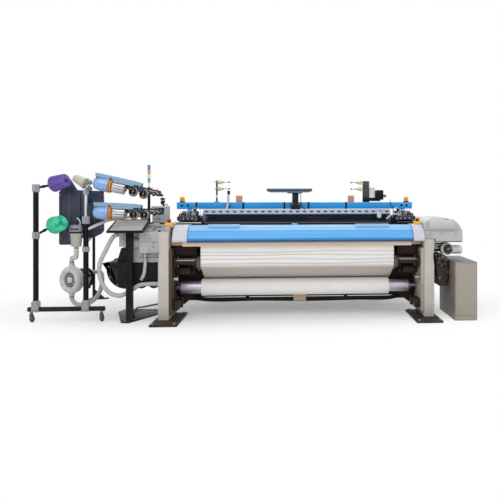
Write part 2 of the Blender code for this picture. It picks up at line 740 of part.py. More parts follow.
def build_heald_frame(index):
    """Open frame of two bars and two end stays; every other one is lowered."""
    name = "heald_frame_%d" % (index + 1)
    drop = HEALD_STAGGER * (index % 2)
    y = (heald_y(index), heald_y(index) + HEALD_THICKNESS)
    low = HEALD_BOTTOM - drop
    high = HEALD_TOP - drop
    frame = box(name, (-HEALD_HALF, HEALD_HALF), y, (low, high))
    clear_x = (HEALD_STAY - HEALD_HALF, HEALD_HALF - HEALD_STAY)
    clear_y = (y[0] - 0.01, y[1] + 0.01)
    cut(frame, box(name + "_opening", clear_x, clear_y, (low + HEALD_BAR, high - HEALD_BAR)))
    return paint(frame, (205, 205, 225), 0.35, 0.4)


def guide_shapes(name, side):
    """Mechanism block on a side frame that guides the ends of the heald frames."""
    near = HEALD_HALF + GAP
    far = INNER_FACE + GUIDE_OVERLAP
    back = heald_y(HEALD_FRAMES - 1) + HEALD_THICKNESS + 0.02
    y = (HEALD_FIRST_Y - 0.03, back)
    height = (GUIDE_BOTTOM, GUIDE_TOP)
    block = box(name + "_guide", mirrored_span(side, near, far), y, height, 0.006)
    head_x = mirrored_span(side, near + 0.05, INNER_FACE - 0.03)
    head = box(name + "_guide_head", head_x, (y[0] + 0.02, y[1] - 0.03), (0.95, GUIDE_TOP + 0.05))
    axis_y = y[0] - 0.02
    drum = rod(name + "_guide_drum", (side * (near + 0.03), axis_y, 0.93),
               (side * (INNER_FACE - 0.04), axis_y, 0.93), 0.035, 12)
    return block, head, drum


# Top beam and what stands on it

def build_top_beam():
    """Blue box beam with signal lamps, sensor boxes and holes near its ends."""
    y = (BEAM_Y - BEAM_DEPTH / 2, BEAM_Y + BEAM_DEPTH / 2)
    beam = box("top_beam", (BEAM_LEFT, BEAM_RIGHT), y, (BEAM_BOTTOM, BEAM_TOP), 0.005)
    middle_z = (BEAM_BOTTOM + BEAM_TOP) / 2
    left_insets, right_insets = BEAM_HOLE_INSETS
    holes = [BEAM_LEFT + inset for inset in left_insets]
    holes += [BEAM_RIGHT - inset for inset in right_insets]
    for i, x in enumerate(holes):
        ends = ((x, y[0] - 0.02, middle_z), (x, y[1] + 0.02, middle_z))
        cut(beam, rod("beam_hole_%d" % (i + 1), *ends, 0.012, 10))
    r = SIGNAL_LAMP_RADIUS
    tall = SIGNAL_LAMP_HEIGHT
    lamp = [(-0.01, 0), (-0.01, r), (tall - 0.012, r - 0.002), (tall, r - 0.010), (tall, 0)]
    for i, x in enumerate((holes[0], holes[3])):
        join(beam, turned("lamp_shape_%d" % (i + 1), lamp, 12, (x, BEAM_Y, BEAM_TOP)))
    for i, x in enumerate(SENSOR_BOXES):
        height = (BEAM_TOP - 0.01, BEAM_TOP + 0.075)
        join(beam, box("sensor_shape_%d" % (i + 1), (x - 0.034, x + 0.034),
                       (BEAM_Y - 0.025, BEAM_Y + 0.025), height, 0.004))
    return paint(beam, (35, 145, 225), 0.4)


def build_lamp_panel():
    """Slate panel on a flat neck clamped to the front of the beam."""
    top = LAMP_PANEL_BOTTOM + LAMP_PANEL_THICKNESS
    middle = BEAM_Y - 0.02
    y = (middle - LAMP_PANEL_DEPTH / 2, middle + LAMP_PANEL_DEPTH / 2)
    span = (LAMP_PANEL_LEFT, LAMP_PANEL_RIGHT)
    panel = box("lamp_panel", span, y, (LAMP_PANEL_BOTTOM, top), 0.01)
    front = BEAM_Y - BEAM_DEPTH / 2 - GAP
    low = LAMP_PANEL_BOTTOM
    neck = (-0.057, 0.012)
    tee = box("lamp_tee", (-0.11, 0.055), (middle - 0.04, middle + 0.04), (low - 0.02, low + 0.01))
    neck_plate = box("lamp_neck", neck, (front - 0.016, front), (BEAM_BOTTOM + 0.01, low))
    clamp_span = (neck[0] - 0.018, neck[1] + 0.018)
    height = (BEAM_BOTTOM - 0.045, BEAM_TOP)
    join(panel, tee, neck_plate, box("lamp_clamp", clamp_span, (front - 0.024, front), height))
    return paint(panel, (55, 62, 75), 0.45, 0.2)


def build_bobbin_stands():
    """Selvedge yarn stands: a rod on the left, a board with a spool on the right."""
    foot = BEAM_TOP + GAP
    y = BEAM_Y
    cone = [(0, 0), (0, 0.026), (0.05, 0.012), (0.05, 0)]
    x = -0.875
    stand = rod("left_bobbin_stand", (x, y, foot), (x, y, BOBBIN_TOP), 0.007, 8)
    plate = ((x - 0.025, x + 0.025), (y - 0.02, y + 0.02), (foot, foot + 0.014))
    join(stand, box("left_bobbin_foot", *plate))
    for i, z in enumerate((BOBBIN_TOP - 0.02, BOBBIN_TOP - 0.092)):
        spindle = rod("left_spindle_%d" % (i + 1), (x - 0.03, y, z), (x + 0.14, y, z), 0.005, 6)
        join(stand, spindle, turned("left_cone_%d" % (i + 1), cone, 10, (x + 0.012, y, z), (1, 0, 0)))
    paint(stand, (225, 215, 190), 0.6)
    x = 0.758
    board = box("right_bobbin_stand", (x - 0.038, x + 0.038), (y - 0.008, y + 0.008), (foot, 1.372))
    for i, z in enumerate((1.355, 1.283)):
        spindle = rod("right_spindle_%d" % (i + 1), (x - 0.17, y, z), (x - 0.03, y, z), 0.005, 6)
        join(board, spindle, turned("right_cone_%d" % (i + 1), cone, 10, (x - 0.05, y, z), (-1, 0, 0)))
    spool = [(0, 0), (0, 0.034), (0.008, 0.034), (0.008, 0.027), (0.104, 0.027)]
    spool += [(0.104, 0.034), (0.112, 0.034), (0.112, 0)]
    join(board, turned("spool", spool, 10, (x + 0.068, y, 1.188)))
    join(board, box("spool_box", (x + 0.10, x + 0.192), (y - 0.03, y + 0.03), (1.165, 1.272)))
    join(board, box("spool_base", (x - 0.03, x + 0.16), (y - 0.015, y + 0.015), (1.150, 1.192)))
    join(board, rod("spool_knob", (x + 0.18, y, 1.208), (x + 0.226, y, 1.208), 0.016, 8))
    paint(board, (45, 42, 42), 0.5)


# Back of the loom

def build_warp():
    """Warp beam, backrest roller and the warp sheet that runs from one to the reed."""
    side = BACKREST_HALF - 0.15
    shaft = WARP_SHAFT_RADIUS
    left = [(0, 0), (0, shaft), (SPAN - side - FLANGE_THICKNESS, shaft)]
    left += [(SPAN - side - FLANGE_THICKNESS, FLANGE_RADIUS), (SPAN - side, FLANGE_RADIUS)]
    left += [(SPAN - side, WOUND_RADIUS)]
    right = [(2 * SPAN - along, radius) for along, radius in reversed(left)]
    place = (-SPAN, BEAM_AXIS_Y, BEAM_AXIS_Z)
    beam = turned("warp_beam", left + right, 28, place, (1, 0, 0))
    paint(beam, (222, 218, 208), 0.8)
    small = BACKREST_RADIUS - 0.025
    profile = [(0, 0), (0, small), (SPAN - BACKREST_HALF, small)]
    profile += [(SPAN - BACKREST_HALF, BACKREST_RADIUS)]
    profile += [(SPAN + BACKREST_HALF, BACKREST_RADIUS), (SPAN + BACKREST_HALF, small)]
    profile += [(2 * SPAN, small), (2 * SPAN, 0)]
    place = (-SPAN, BACKREST_Y, BACKREST_Z)
    roller = turned("backrest_roller", profile, 16, place, (1, 0, 0))
    paint(roller, (185, 188, 192), 0.35, 0.8)
    build_warp_sheet()


def build_warp_sheet():
    beam = (BEAM_AXIS_Y, BEAM_AXIS_Z)
    rest = (BACKREST_Y, BACKREST_Z)
    reed = (REED_Y + REED_THICKNESS / 2 + GAP, WARP_LINE)
    rise = line_normal(beam, rest, WOUND_RADIUS - BACKREST_RADIUS)
    leave = line_normal(rest, reed, BACKREST_RADIUS)
    layers = []
    for height in (GAP, GAP + WARP_THICKNESS):
        bend = arc(rest, BACKREST_RADIUS + height, rise, leave, 8)
        layers.append([polar(beam, WOUND_RADIUS + height, rise), *bend, (reed[0], reed[1] + height)])
    sheet = extrusion("warp_sheet", layers[0] + layers[1][::-1], "X", -WARP_HALF, WARP_HALF)
    return paint(sheet, (225, 220, 210), 0.9)


# Left end

def build_left_housing():
    """Drive housing beside the side frame, with its lid, front block and hose plate."""
    right = -OUTER_FACE - GAP
    low = HOUSING_BOTTOM
    top = HOUSING_TOP
    corner = 0.06
    outline = [(right, low), (right, top)]
    outline += arc((HOUSING_LEFT + corner, top - corner), corner, 90, 180, 4)
    outline += arc((HOUSING_LEFT + 0.02, low + 0.02), 0.02, 180, 270, 2)
    housing = extrusion("left_drive_housing", outline, "Y", HOUSING_FRONT, HOUSING_BACK)
    over = SIDE_FRAME_TOP + GAP
    inner = -INNER_FACE - GUIDE_OVERLAP - GAP
    lid_left = HOUSING_LEFT + corner + 0.01
    lid = [(lid_left, top - 0.02), (right, top - 0.02), (right, over), (inner, over)]
    lid += [(inner, HOUSING_LID), (lid_left + 0.01, HOUSING_LID), (lid_left, HOUSING_LID - 0.01)]
    join(housing, extrusion("housing_lid", lid, "Y", 0.28, 0.75))
    block = (HOUSING_FRONT - 0.055, HOUSING_FRONT + 0.03)
    drum_left = HOUSING_LEFT + 0.04
    drum_right = HOUSING_LEFT + 0.13
    height = (low + 0.095, top - 0.028)
    join(housing, box("housing_block", (drum_right - 0.005, right), block, height, 0.006))
    plate = ((HOUSING_LEFT - 0.072, HOUSING_LEFT + 0.01), (HOUSING_FRONT - 0.022, HOUSING_FRONT + 0.02))
    join(housing, box("hose_plate", *plate, (low + 0.155, top - 0.025), 0.004))
    drum_y = HOUSING_FRONT + 0.02
    drum_z = top - 0.14
    ends = ((drum_left, drum_y, drum_z), (drum_right, drum_y, drum_z))
    join(housing, rod("housing_drum", *ends, 0.06, 20))
    return paint(housing, (200, 200, 198), 0.45, 0.1)


def build_lower_cover():
    """Black bowl-shaped cover under the drive housing, with a neck and two lobes below."""
    top = HOUSING_BOTTOM - GAP
    right = -OUTER_FACE - GAP
    floor = BOWL_Z - 0.115
    bowl = arc((BOWL_X, BOWL_Z), BOWL_RADIUS, 158, 300, 10)
    outline = [(BOWL_X - BOWL_RADIUS + 0.008, top)] + bowl
    outline += [(HOUSING_LEFT + 0.14, floor), (right, floor), (right, top)]
    y = (LOWER_COVER_FRONT, LOWER_COVER_BACK)
    cover = extrusion("lower_cover", outline, "Y", *y)
    beside = HOUSING_LEFT - GAP
    neck_top = HOUSING_BOTTOM + 0.14
    neck = [(HOUSING_LEFT - 0.115, top - 0.03), (HOUSING_LEFT - 0.065, neck_top)]
    neck += [(beside, neck_top), (beside, top - 0.03)]
    join(cover, extrusion("cover_neck", neck, "Y", y[0] + 0.02, y[0] + 0.25))
    z = floor - 0.02
    for i, x in enumerate((HOUSING_LEFT + 0.12, HOUSING_LEFT + 0.24)):
        ends = ((x, y[0] + 0.06, z), (x, y[1] - 0.08, z))
        join(cover, rod("cover_lobe_%d" % (i + 1), *ends, LOBE_RADIUS, 10))
    return paint(cover, (35, 35, 35), 0.55)


def build_junction_box():
    span = (JUNCTION_LEFT, JUNCTION_RIGHT)
    height = (HOUSING_LID + GAP, JUNCTION_TOP)
    junction = box("junction_box", span, (0.56, 0.68), height, 0.008)
    x = JUNCTION_RIGHT - 0.057
    ends = ((x, 0.62, JUNCTION_TOP - 0.01), (x, 0.62, JUNCTION_TOP + 0.016))
    join(junction, rod("junction_gland", *ends, 0.012, 10))
    return paint(junction, (185, 188, 195), 0.5)


def build_light_tower():
    """Four lamp rings on a pole, with a grey cap."""
    foot = HOUSING_LID + GAP
    tall = TOWER_TOP - foot
    lamps = tall - TOWER_LAMPS
    profile = [(0, 0), (0, 0.026), (0.01, 0.026), (0.012, 0.009), (lamps - 0.01, 0.009)]
    profile += [(lamps, TOWER_RADIUS)]
    ring = (TOWER_LAMPS - 0.012) / 4
    for i in range(4):
        base = lamps + i * ring
        profile += [(base + 0.002, TOWER_RADIUS), (base + ring - 0.003, TOWER_RADIUS)]
        profile += [(base + ring - 0.002, TOWER_RADIUS - 0.0015)]
    profile += [(tall - 0.006, TOWER_RADIUS), (tall, TOWER_RADIUS - 0.005), (tall, 0)]
    tower = turned("light_tower", profile, 10, (TOWER_X, TOWER_Y, foot))
    return paint(tower, (235, 240, 240), 0.3)


# Right end

def build_right_housing():
    """Rounded housing over the right column and beside the side frame."""
    low = RIGHT_HOUSING_BOTTOM
    top = RIGHT_HOUSING_TOP
    over = RIGHT_COLUMN_TOP + GAP
    end = RIGHT_HOUSING_END
    shoulder = 0.17
    left = INNER_FACE + GUIDE_OVERLAP + GAP
    outline = [(left, over), (OUTER_FACE + 0.02, over), (OUTER_FACE + 0.02, low), (end - 0.01, low)]
    outline += [(end, low + 0.01)] + arc((end - shoulder, top - shoulder), shoulder, 0, 90, 8)
    outline += [(left + 0.05, top), (left, top - 0.05)]
    y = (COLUMN_DEPTH - 0.09, RIGHT_HOUSING_BACK)
    housing = extrusion("right_drive_housing", outline, "Y", *y)
    frame_space = box("side_frame_space", (left - 0.01, OUTER_FACE + GAP), (COLUMN_DEPTH, y[1] + 0.01),
                      (low - 0.01, SIDE_FRAME_TOP + GAP))
    cut(housing, frame_space)
    barrel_z = top - 0.065
    ends = ((left + 0.035, y[0], barrel_z), (end - 0.085, y[0], barrel_z))
    join(housing, rod("housing_barrel", *ends, 0.058, 20))
    return paint(housing, (205, 205, 203), 0.45, 0.1)


def build_brake():
    """White brake body on the side frame, with the black disc that turns in front of it."""
    y = DISC_FRONT + DISC_THICKNESS + RUNNING_CLEARANCE
    body = rod("right_brake", (DISC_X, y, DISC_Z), (DISC_X, BRAKE_BACK, DISC_Z), BRAKE_RADIUS, 20)
    cylinder_y = BRAKE_CYLINDER_Y
    z = DISC_Z - BRAKE_CYLINDER_DROP
    end = DISC_X + BRAKE_CYLINDER_REACH
    r = BRAKE_CYLINDER_RADIUS
    side = rod("brake_cylinder", (DISC_X, cylinder_y, z), (end, cylinder_y, z), r, 18)
    cap = rod("brake_cap", (end - 0.005, cylinder_y, z), (end + 0.007, cylinder_y, z), r - 0.008, 18)
    arm_y = (cylinder_y - 0.01, BRAKE_BACK - 0.01)
    arm_z = (DISC_Z - 0.03, DISC_Z + 0.055)
    arm = box("brake_arm", (OUTER_FACE + GAP, DISC_X), arm_y, arm_z)
    join(body, side, cap, arm)
    paint(body, (225, 225, 223), 0.4)
    hub = DISC_THICKNESS + RUNNING_CLEARANCE - SHAFT_PLAY
    profile = [(0, 0), (0, 0.014), (0.005, 0.018), (0.005, DISC_RADIUS - 0.008)]
    profile += [(0, DISC_RADIUS - 0.004), (0.003, DISC_RADIUS), (DISC_THICKNESS, DISC_RADIUS)]
    profile += [(DISC_THICKNESS, 0.014), (hub, 0.014), (hub, 0)]
    disc = turned("hand_disc", profile, 18, (DISC_X, DISC_FRONT, DISC_Z), (0, 1, 0))
    grip = rod("hand_disc_grip", (DISC_X + 0.024, DISC_FRONT - 0.012, DISC_Z + 0.012),
               (DISC_X + 0.024, DISC_FRONT + 0.008, DISC_Z + 0.012), 0.007, 8)
    join(disc, grip)
    paint(disc, (30, 30, 32), 0.35)


def build_gear_motor():
    """Brown-black geared motor on the outer face of the side frame."""
    middle = (MOTOR_X, MOTOR_Z)
    r = MOTOR_RADIUS
    outline = arc(middle, r, -20, 200, 9)
    outline += [(MOTOR_X - 0.045, MOTOR_BOTTOM + 0.05), (MOTOR_X - 0.03, MOTOR_BOTTOM)]
    outline += [(MOTOR_X + MOTOR_REACH - 0.011, MOTOR_BOTTOM)]
    outline += [(MOTOR_X + MOTOR_REACH, MOTOR_BOTTOM + 0.09)]
    motor = extrusion("gear_motor", outline, "Y", MOTOR_FRONT + 0.03, MOTOR_BACK)
    soften(motor, 0.006, 1)
    ends = ((MOTOR_X, MOTOR_FRONT, MOTOR_Z), (MOTOR_X, MOTOR_FRONT + 0.05, MOTOR_Z))
    boss = rod("motor_boss", *ends, r - 0.010, 18)
    flange_y = (MOTOR_FRONT + 0.10, MOTOR_BACK - 0.06)
    flange_z = (MOTOR_Z - 0.16, MOTOR_Z + 0.04)
    flange = box("motor_flange", (OUTER_FACE + GAP, MOTOR_X), flange_y, flange_z)
    join(motor, boss, flange)
    return paint(motor, (55, 42, 38), 0.5, 0.3)


def build_cabinet():
    """Control cabinet with a framed door, on a low plinth, tied to the side frame by a duct."""
    y = (CABINET_FRONT, CABINET_BACK)
    span = (CABINET_LEFT, CABINET_RIGHT)
    cabinet = box("control_cabinet", span, y, (0.0, CABINET_HEIGHT), 0.006)
    groove = 0.003
    side_y = (y[0] + 0.03, y[1] - 0.03)
    for z in (0.05, CABINET_HEIGHT - 0.03):
        line = box("door_line_%d" % round(1000 * z), (CABINET_RIGHT - groove, CABINET_RIGHT + 0.01),
                   side_y, (z, z + groove))
        cut(cabinet, line)
    duct_y = (MOTOR_BACK + 0.03, MOTOR_BACK + 0.11)
    duct_z = (CABINET_HEIGHT - 0.19, CABINET_HEIGHT - 0.10)
    duct = box("cabinet_duct", (OUTER_FACE + GAP, CABINET_LEFT + 0.01), duct_y, duct_z)
    join(cabinet, duct)
    return paint(cabinet, (160, 152, 142), 0.5, 0.1)


# Weft feeders

class FeederAxis:
    """Places along and above the axis of a feeder, which leans down to the right."""

    def __init__(self, start, tilt):
        self.start = start
        self.tilt = radians(tilt)
        self.way = Vector((cos(self.tilt), 0.0, -sin(self.tilt)))
        self.up = Vector((sin(self.tilt), 0.0, cos(self.tilt)))

    def at(self, along, above=0.0, aside=0.0):
        base = Vector((self.start[0], FEEDER_Y + aside, self.start[1]))
        return base + self.way * along + self.up * above

    def block(self, name, along, aside, above, edge=0.0):
        """A block between limits along, beside and above the axis."""
        size = [(high - low) / 2 for low, high in (along, aside, above)]
        piece = box(name, (-size[0], size[0]), (-size[1], size[1]), (-size[2], size[2]), edge)
        piece.location = self.at(sum(along) / 2, sum(above) / 2, sum(aside) / 2)
        piece.rotation_euler = (0.0, self.tilt, 0.0)
        return piece


def slotted_drum(name, axis, start):
    """Winding drum of separate fingers: a star section that tapers at its free end."""
    shape = bmesh.new()
    ring = []
    for i in range(DRUM_SLOTS):
        for share, radius in ((0.0, 1.0), (0.31, 1.03), (0.62, 1.0), (0.70, 0.86), (0.92, 0.86)):
            turn = 2 * pi * (i + share) / DRUM_SLOTS
            r = DRUM_RADIUS * radius
            ring.append(shape.verts.new((r * cos(turn), r * sin(turn), 0.0)))
    base = shape.faces.new(ring)
    body = bmesh.ops.extrude_face_region(shape, geom=[base])["geom"]
    corners = [item for item in body if isinstance(item, bmesh.types.BMVert)]
    bmesh.ops.translate(shape, vec=(0, 0, 0.84 * DRUM_LENGTH), verts=corners)
    end = [item for item in body if isinstance(item, bmesh.types.BMFace)]
    taper = bmesh.ops.extrude_discrete_faces(shape, faces=end)["faces"]
    corners = taper[0].verts[:]
    bmesh.ops.translate(shape, vec=(0, 0, 0.16 * DRUM_LENGTH), verts=corners)
    bmesh.ops.scale(shape, vec=(0.86, 0.86, 1.0), verts=corners)
    drum = add(name, shape, axis.at(start))
    drum.rotation_euler = axis.way.to_track_quat('Z', 'Y').to_euler()
    return drum


def build_feeder(name, start, tilt):
    """Feeder: motor body, shaft, slotted drum and the brake bar over and beyond it."""
    axis = FeederAxis(start, tilt)
    ring_front = RING_WIDTH + RUNNING_CLEARANCE
    r = FEEDER_BODY_RADIUS
    length = FEEDER_BODY_LENGTH
    body = [(0, 0), (0, 0.55 * r), (0.012, 0.72 * r), (0.05, 0.92 * r), (length, r), (length, 0)]
    feeder = turned(name, body, 18, axis.at(-RUNNING_CLEARANCE - length), axis.way)
    shaft = rod(name + "_shaft", axis.at(-0.02), axis.at(ring_front + 0.02), 0.016, 8)
    drum = slotted_drum(name + "_drum", axis, ring_front)
    nose = ring_front + DRUM_LENGTH
    tip = turned(name + "_tip", [(-0.01, 0), (-0.01, 0.030), (0.008, 0.026), (0.014, 0.0)], 10,
                 axis.at(nose), axis.way)
    roof_low = RING_RADIUS + RUNNING_CLEARANCE
    roof = axis.block(name + "_roof", (-length - 0.002, 0.30), (-0.045, 0.045),
                      (roof_low, roof_low + 0.018), 0.004)
    heel = axis.block(name + "_heel", (-length + 0.01, -RUNNING_CLEARANCE), (-0.042, 0.042),
                      (0.02, roof_low + 0.01))
    bar_start = nose + 0.022
    bar_end = nose + 0.335
    bar = axis.block(name + "_bar", (bar_start, bar_end), (-0.026, 0.026), (0.004, 0.058), 0.004)
    strut = axis.block(name + "_strut", (bar_start, 0.30), (-0.03, 0.03), (0.03, roof_low + 0.01))
    join(feeder, shaft, drum, tip, roof, heel, bar, strut)
    for i, along in enumerate((nose + 0.075, nose + 0.175)):
        reach = 0.046
        brake = [(0, 0.018), (0, reach), (0.012, reach + 0.005), (0.024, reach), (0.024, 0.018)]
        place = axis.at(along, -0.004, -0.026)
        ring = turned(name + "_brake_%d" % (i + 1), brake, 14, place, (0.35, 0.93, -0.05), True)
        join(feeder, ring)
    ends = (axis.at(bar_end - 0.015, 0.02), axis.at(bar_end + 0.025, 0.02))
    nozzle = rod(name + "_nozzle", *ends, 0.012, 10)
    join(feeder, nozzle)
    paint(feeder, (130, 170, 235), 0.4)
    bore = 0.016 + SHAFT_PLAY
    width = RING_WIDTH
    rim = [(0.004, bore), (0.004, RING_RADIUS - 0.010), (0, RING_RADIUS - 0.006), (0, RING_RADIUS)]
    rim += [(width, RING_RADIUS - 0.003), (width, RING_RADIUS - 0.012)]
    rim += [(0.012, RING_RADIUS - 0.014), (0.012, bore)]
    ring = turned(name + "_ring", rim, 24, axis.at(0.0), axis.way, True)
    paint(ring, (235, 150, 50), 0.4)
    return axis


def build_feeder_stand(upper, lower):
    """Black post on the housing lid with an arm to the bar of each feeder."""
    bar_back = FEEDER_Y + 0.03 + GAP
    arm_z = []
    for axis in (upper, lower):
        along = (STAND_X - axis.start[0]) / cos(axis.tilt)
        arm_z.append(axis.at(along, 0.03).z)
    foot = HOUSING_LID + GAP
    ends = ((STAND_X, STAND_Y, foot), (STAND_X, STAND_Y, arm_z[0] + 0.03))
    stand = rod("feeder_stand", *ends, STAND_RADIUS, 10)
    plate_y = (STAND_Y - 0.015, STAND_Y + 0.04)
    join(stand, box("stand_foot", (STAND_X - 0.04, STAND_X + 0.04), plate_y, (foot, foot + 0.01)))
    arm_x = (STAND_X - 0.012, STAND_X + 0.012)
    for i, z in enumerate(arm_z):
        join(stand, box("stand_arm_%d" % (i + 1), arm_x, (bar_back, STAND_Y), (z - 0.01, z + 0.01)))
    return paint(stand, (30, 30, 32), 0.5)


# Operator terminal

def build_terminal():
    """Sloping panel with a sunk face on a flat post, on a plate that lies on the floor."""
    slope = radians(TERMINAL_SLOPE)
    middle_x = TERMINAL_POST_X + (TERMINAL_RIGHT_REACH - TERMINAL_LEFT_REACH) / 2
    half_x = (TERMINAL_LEFT_REACH + TERMINAL_RIGHT_REACH) / 2
    half_y = TERMINAL_DEPTH / 2
    half_z = TERMINAL_THICKNESS / 2
    panel = box("terminal_panel", (-half_x, half_x), (-half_y, half_y), (-half_z, half_z), 0.004)
    centre = Vector((middle_x, TERMINAL_FRONT, TERMINAL_FRONT_Z))
    back_way = Vector((0, cos(slope), sin(slope)))
    up_way = Vector((0, -sin(slope), cos(slope)))
    centre += back_way * half_y - up_way * half_z
    panel.location = centre
    panel.rotation_euler = (slope, 0.0, 0.0)
    rim = TERMINAL_RIM
    face = ((rim - half_x, half_x - rim), (rim - half_y, half_y - rim))
    tall = TERMINAL_FACE_DEPTH + 0.01
    sunk = box("terminal_face_space", *face, (0, tall))
    sunk.location = centre + up_way * (half_z - TERMINAL_FACE_DEPTH + tall / 2)
    sunk.rotation_euler = (slope, 0.0, 0.0)
    cut(panel, sunk)
    paint(panel, (70, 70, 72), 0.5)
    depth = (TERMINAL_POST_Y - TERMINAL_POST_DEPTH / 2, TERMINAL_POST_Y + TERMINAL_POST_DEPTH / 2)
    under = TERMINAL_FRONT_Z - TERMINAL_THICKNESS / cos(slope) - 2 * GAP
    rise = sin(slope) / cos(slope)
    floor = 0.004
    outline = [(depth[0], floor), (depth[1], floor)]
    outline += [(y, under + (y - TERMINAL_FRONT) * rise) for y in reversed(depth)]
    half = TERMINAL_POST_WIDTH / 2
    reach = [(-0.221, 0.567), (-0.060, 0.035), (0.018, 0.010), (0.209, 0.425), (0.157, 0.690)]
    reach.append((-0.181, 0.736))
    plate = [(TERMINAL_POST_X + x, y) for x, y in reach]
    stand = extrusion("terminal_stand", plate, "Z", 0.0, BASE_PLATE_THICKNESS)
    post = extrusion("terminal_post", outline, "X", TERMINAL_POST_X - half, TERMINAL_POST_X + half)
    join(stand, post)
    return paint(stand, (32, 32, 34), 0.45, 0.1)


# Creel

def clamp_ring(name, x, z, tall, radius):
    return rod(name, (x, CREEL_Y, z - tall / 2), (x, CREEL_Y, z + tall / 2), radius, 12)


def build_creel_base():
    """Base tube with a socket over each castor and a cast block under each post."""
    y = CREEL_Y
    z = CREEL_TUBE_Z
    ends = ((CREEL_TUBE_LEFT, y, z), (CREEL_TUBE_RIGHT, y, z))
    base = rod("creel_frame", *ends, CREEL_TUBE_RADIUS, 12)
    for i, x in enumerate((LEFT_POST_X, RIGHT_POST_X)):
        block = box("post_block_%d" % (i + 1), (x - 0.034, x + 0.034), (y - 0.036, y + 0.036),
                    (z - 0.024, post_foot()), 0.008)
        join(base, block)
    for i, x in enumerate(castor_places()):
        socket = rod("castor_socket_%d" % (i + 1), (x, y, socket_bottom()), (x, y, z), 0.017, 8)
        join(base, socket)
    return paint(base, (32, 32, 34), 0.45, 0.1)


def post_foot():
    return CREEL_TUBE_Z + 0.075


def socket_bottom():
    return CREEL_TUBE_Z - CREEL_TUBE_RADIUS - 0.006


def castor_places():
    return (CREEL_TUBE_LEFT + CASTOR_INSET, CREEL_TUBE_RIGHT - CASTOR_INSET)


def cone_arm(post, name, start, joint, base, way):
    """Arm of two rods with a ball joint, from a post to the middle of a cone's base."""
    way = Vector(way).normalized()
    end = Vector(base) - way * GAP
    inset = (Vector(joint) - Vector(start)).normalized() * 0.006
    join(post, rod(name + "_rod", Vector(start) + inset, Vector(joint) - inset, 0.009, 8))
    ball = [(-0.018, 0), (-0.015, 0.012), (0, 0.018), (0.015, 0.012), (0.018, 0)]
    join(post, turned(name + "_ball", ball, 8, joint))
    join(post, rod(name + "_peg", joint, end - way * 0.02, 0.008, 8))
    join(post, rod(name + "_seat", end - way * 0.024, end, 0.02, 10))


def build_cone(name, cone, colour):
    """Wound yarn cone with rounded shoulders and the end of its core standing out."""
    base, way, length, wide, narrow = cone
    profile = [(0, 0), (0, wide - 0.012), (0.008, wide), (length - 0.010, narrow)]
    profile += [(length, narrow - 0.012), (length, 0.022)]
    profile += [(length + 0.008, 0.020), (length + 0.008, 0)]
    piece = turned(name, profile, 18, base, way)
    return paint(piece, colour, 0.85)


def add_left_post(frame):
    """Left post with its clamps and the arms of the purple and green cones."""
    y = CREEL_Y
    x = LEFT_POST_X
    foot = post_foot() - 0.02
    join(frame, rod("left_post", (x, y, foot), (x, y, LEFT_POST_TOP), POST_RADIUS, 12))
    join(frame, clamp_ring("left_top_clamp", x, UPPER_ARM_Z, 0.075, POST_RADIUS + CLAMP_WALL))
    join(frame, clamp_ring("left_low_clamp", x, LOWER_ARM_Z, 0.065, POST_RADIUS + CLAMP_WALL))
    arms = (("upper_arm", UPPER_ARM_Z, PURPLE_CONE), ("lower_arm", LOWER_ARM_Z, GREEN_CONE))
    for name, z, cone in arms:
        base = Vector(cone[0]) - Vector(cone[1]).normalized() * 0.05
        cone_arm(frame, name, (x, y + 0.004, z + 0.003), tuple(base), cone[0], cone[1])


def add_right_post(frame):
    """Right post and its slim upper part, cream cone's disc, tensioners, tie to the feeders."""
    y = CREEL_Y
    x = RIGHT_POST_X
    foot = post_foot() - 0.02
    slim_foot = RIGHT_POST_TOP - 0.03
    pin_z = SLIM_POST_TOP - 0.02
    slim_clamp = SLIM_POST_RADIUS + SLIM_CLAMP_WALL
    join(frame, rod("right_post", (x, y, foot), (x, y, RIGHT_POST_TOP), POST_RADIUS, 12))
    join(frame, rod("slim_post", (x, y, slim_foot), (x, y, SLIM_POST_TOP), SLIM_POST_RADIUS, 10))
    join(frame, clamp_ring("right_clamp", x, RIGHT_POST_TOP, 0.072, POST_RADIUS + RIGHT_CLAMP_WALL))
    join(frame, clamp_ring("right_low_clamp", x, 0.700, 0.05, POST_RADIUS + CLAMP_WALL))
    join(frame, clamp_ring("right_top_clamp", x, pin_z, 0.05, slim_clamp))
    base = Vector(CREAM_CONE[0])
    way = Vector(CREAM_CONE[1]).normalized()
    join(frame, rod("cone_disc", base - way * 0.012, base - way * GAP, 0.055, 14))
    join(frame, rod("cone_pin", (x, y, pin_z), base - way * 0.01, 0.009, 8))
    for i, z in enumerate((SLIM_POST_TOP + 0.015, SLIM_POST_TOP + 0.075)):
        tip = (x + 0.055, y - 0.03, z)
        faces = ((x + 0.04, y - 0.025, z - 0.006), (x + 0.054, y - 0.031, z + 0.002))
        join(frame, rod("tension_rod_%d" % (i + 1), (x, y, SLIM_POST_TOP - 0.01), tip, 0.006, 8))
        join(frame, rod("tension_disc_%d" % (i + 1), *faces, 0.024, 10))
    tie_end = STAND_X - STAND_RADIUS - GAP
    tie = [(x, y, TIE_Z - 0.125), (-OUTER_FACE - 0.515, 0.18, TIE_Z - 0.035)]
    tie += [(tie_end - 0.1057, STAND_Y, TIE_Z), (tie_end, STAND_Y, TIE_Z)]
    for i, (start, end) in enumerate(zip(tie, tie[1:])):
        join(frame, rod("creel_tie_%d" % (i + 1), start, end, 0.015, 10))


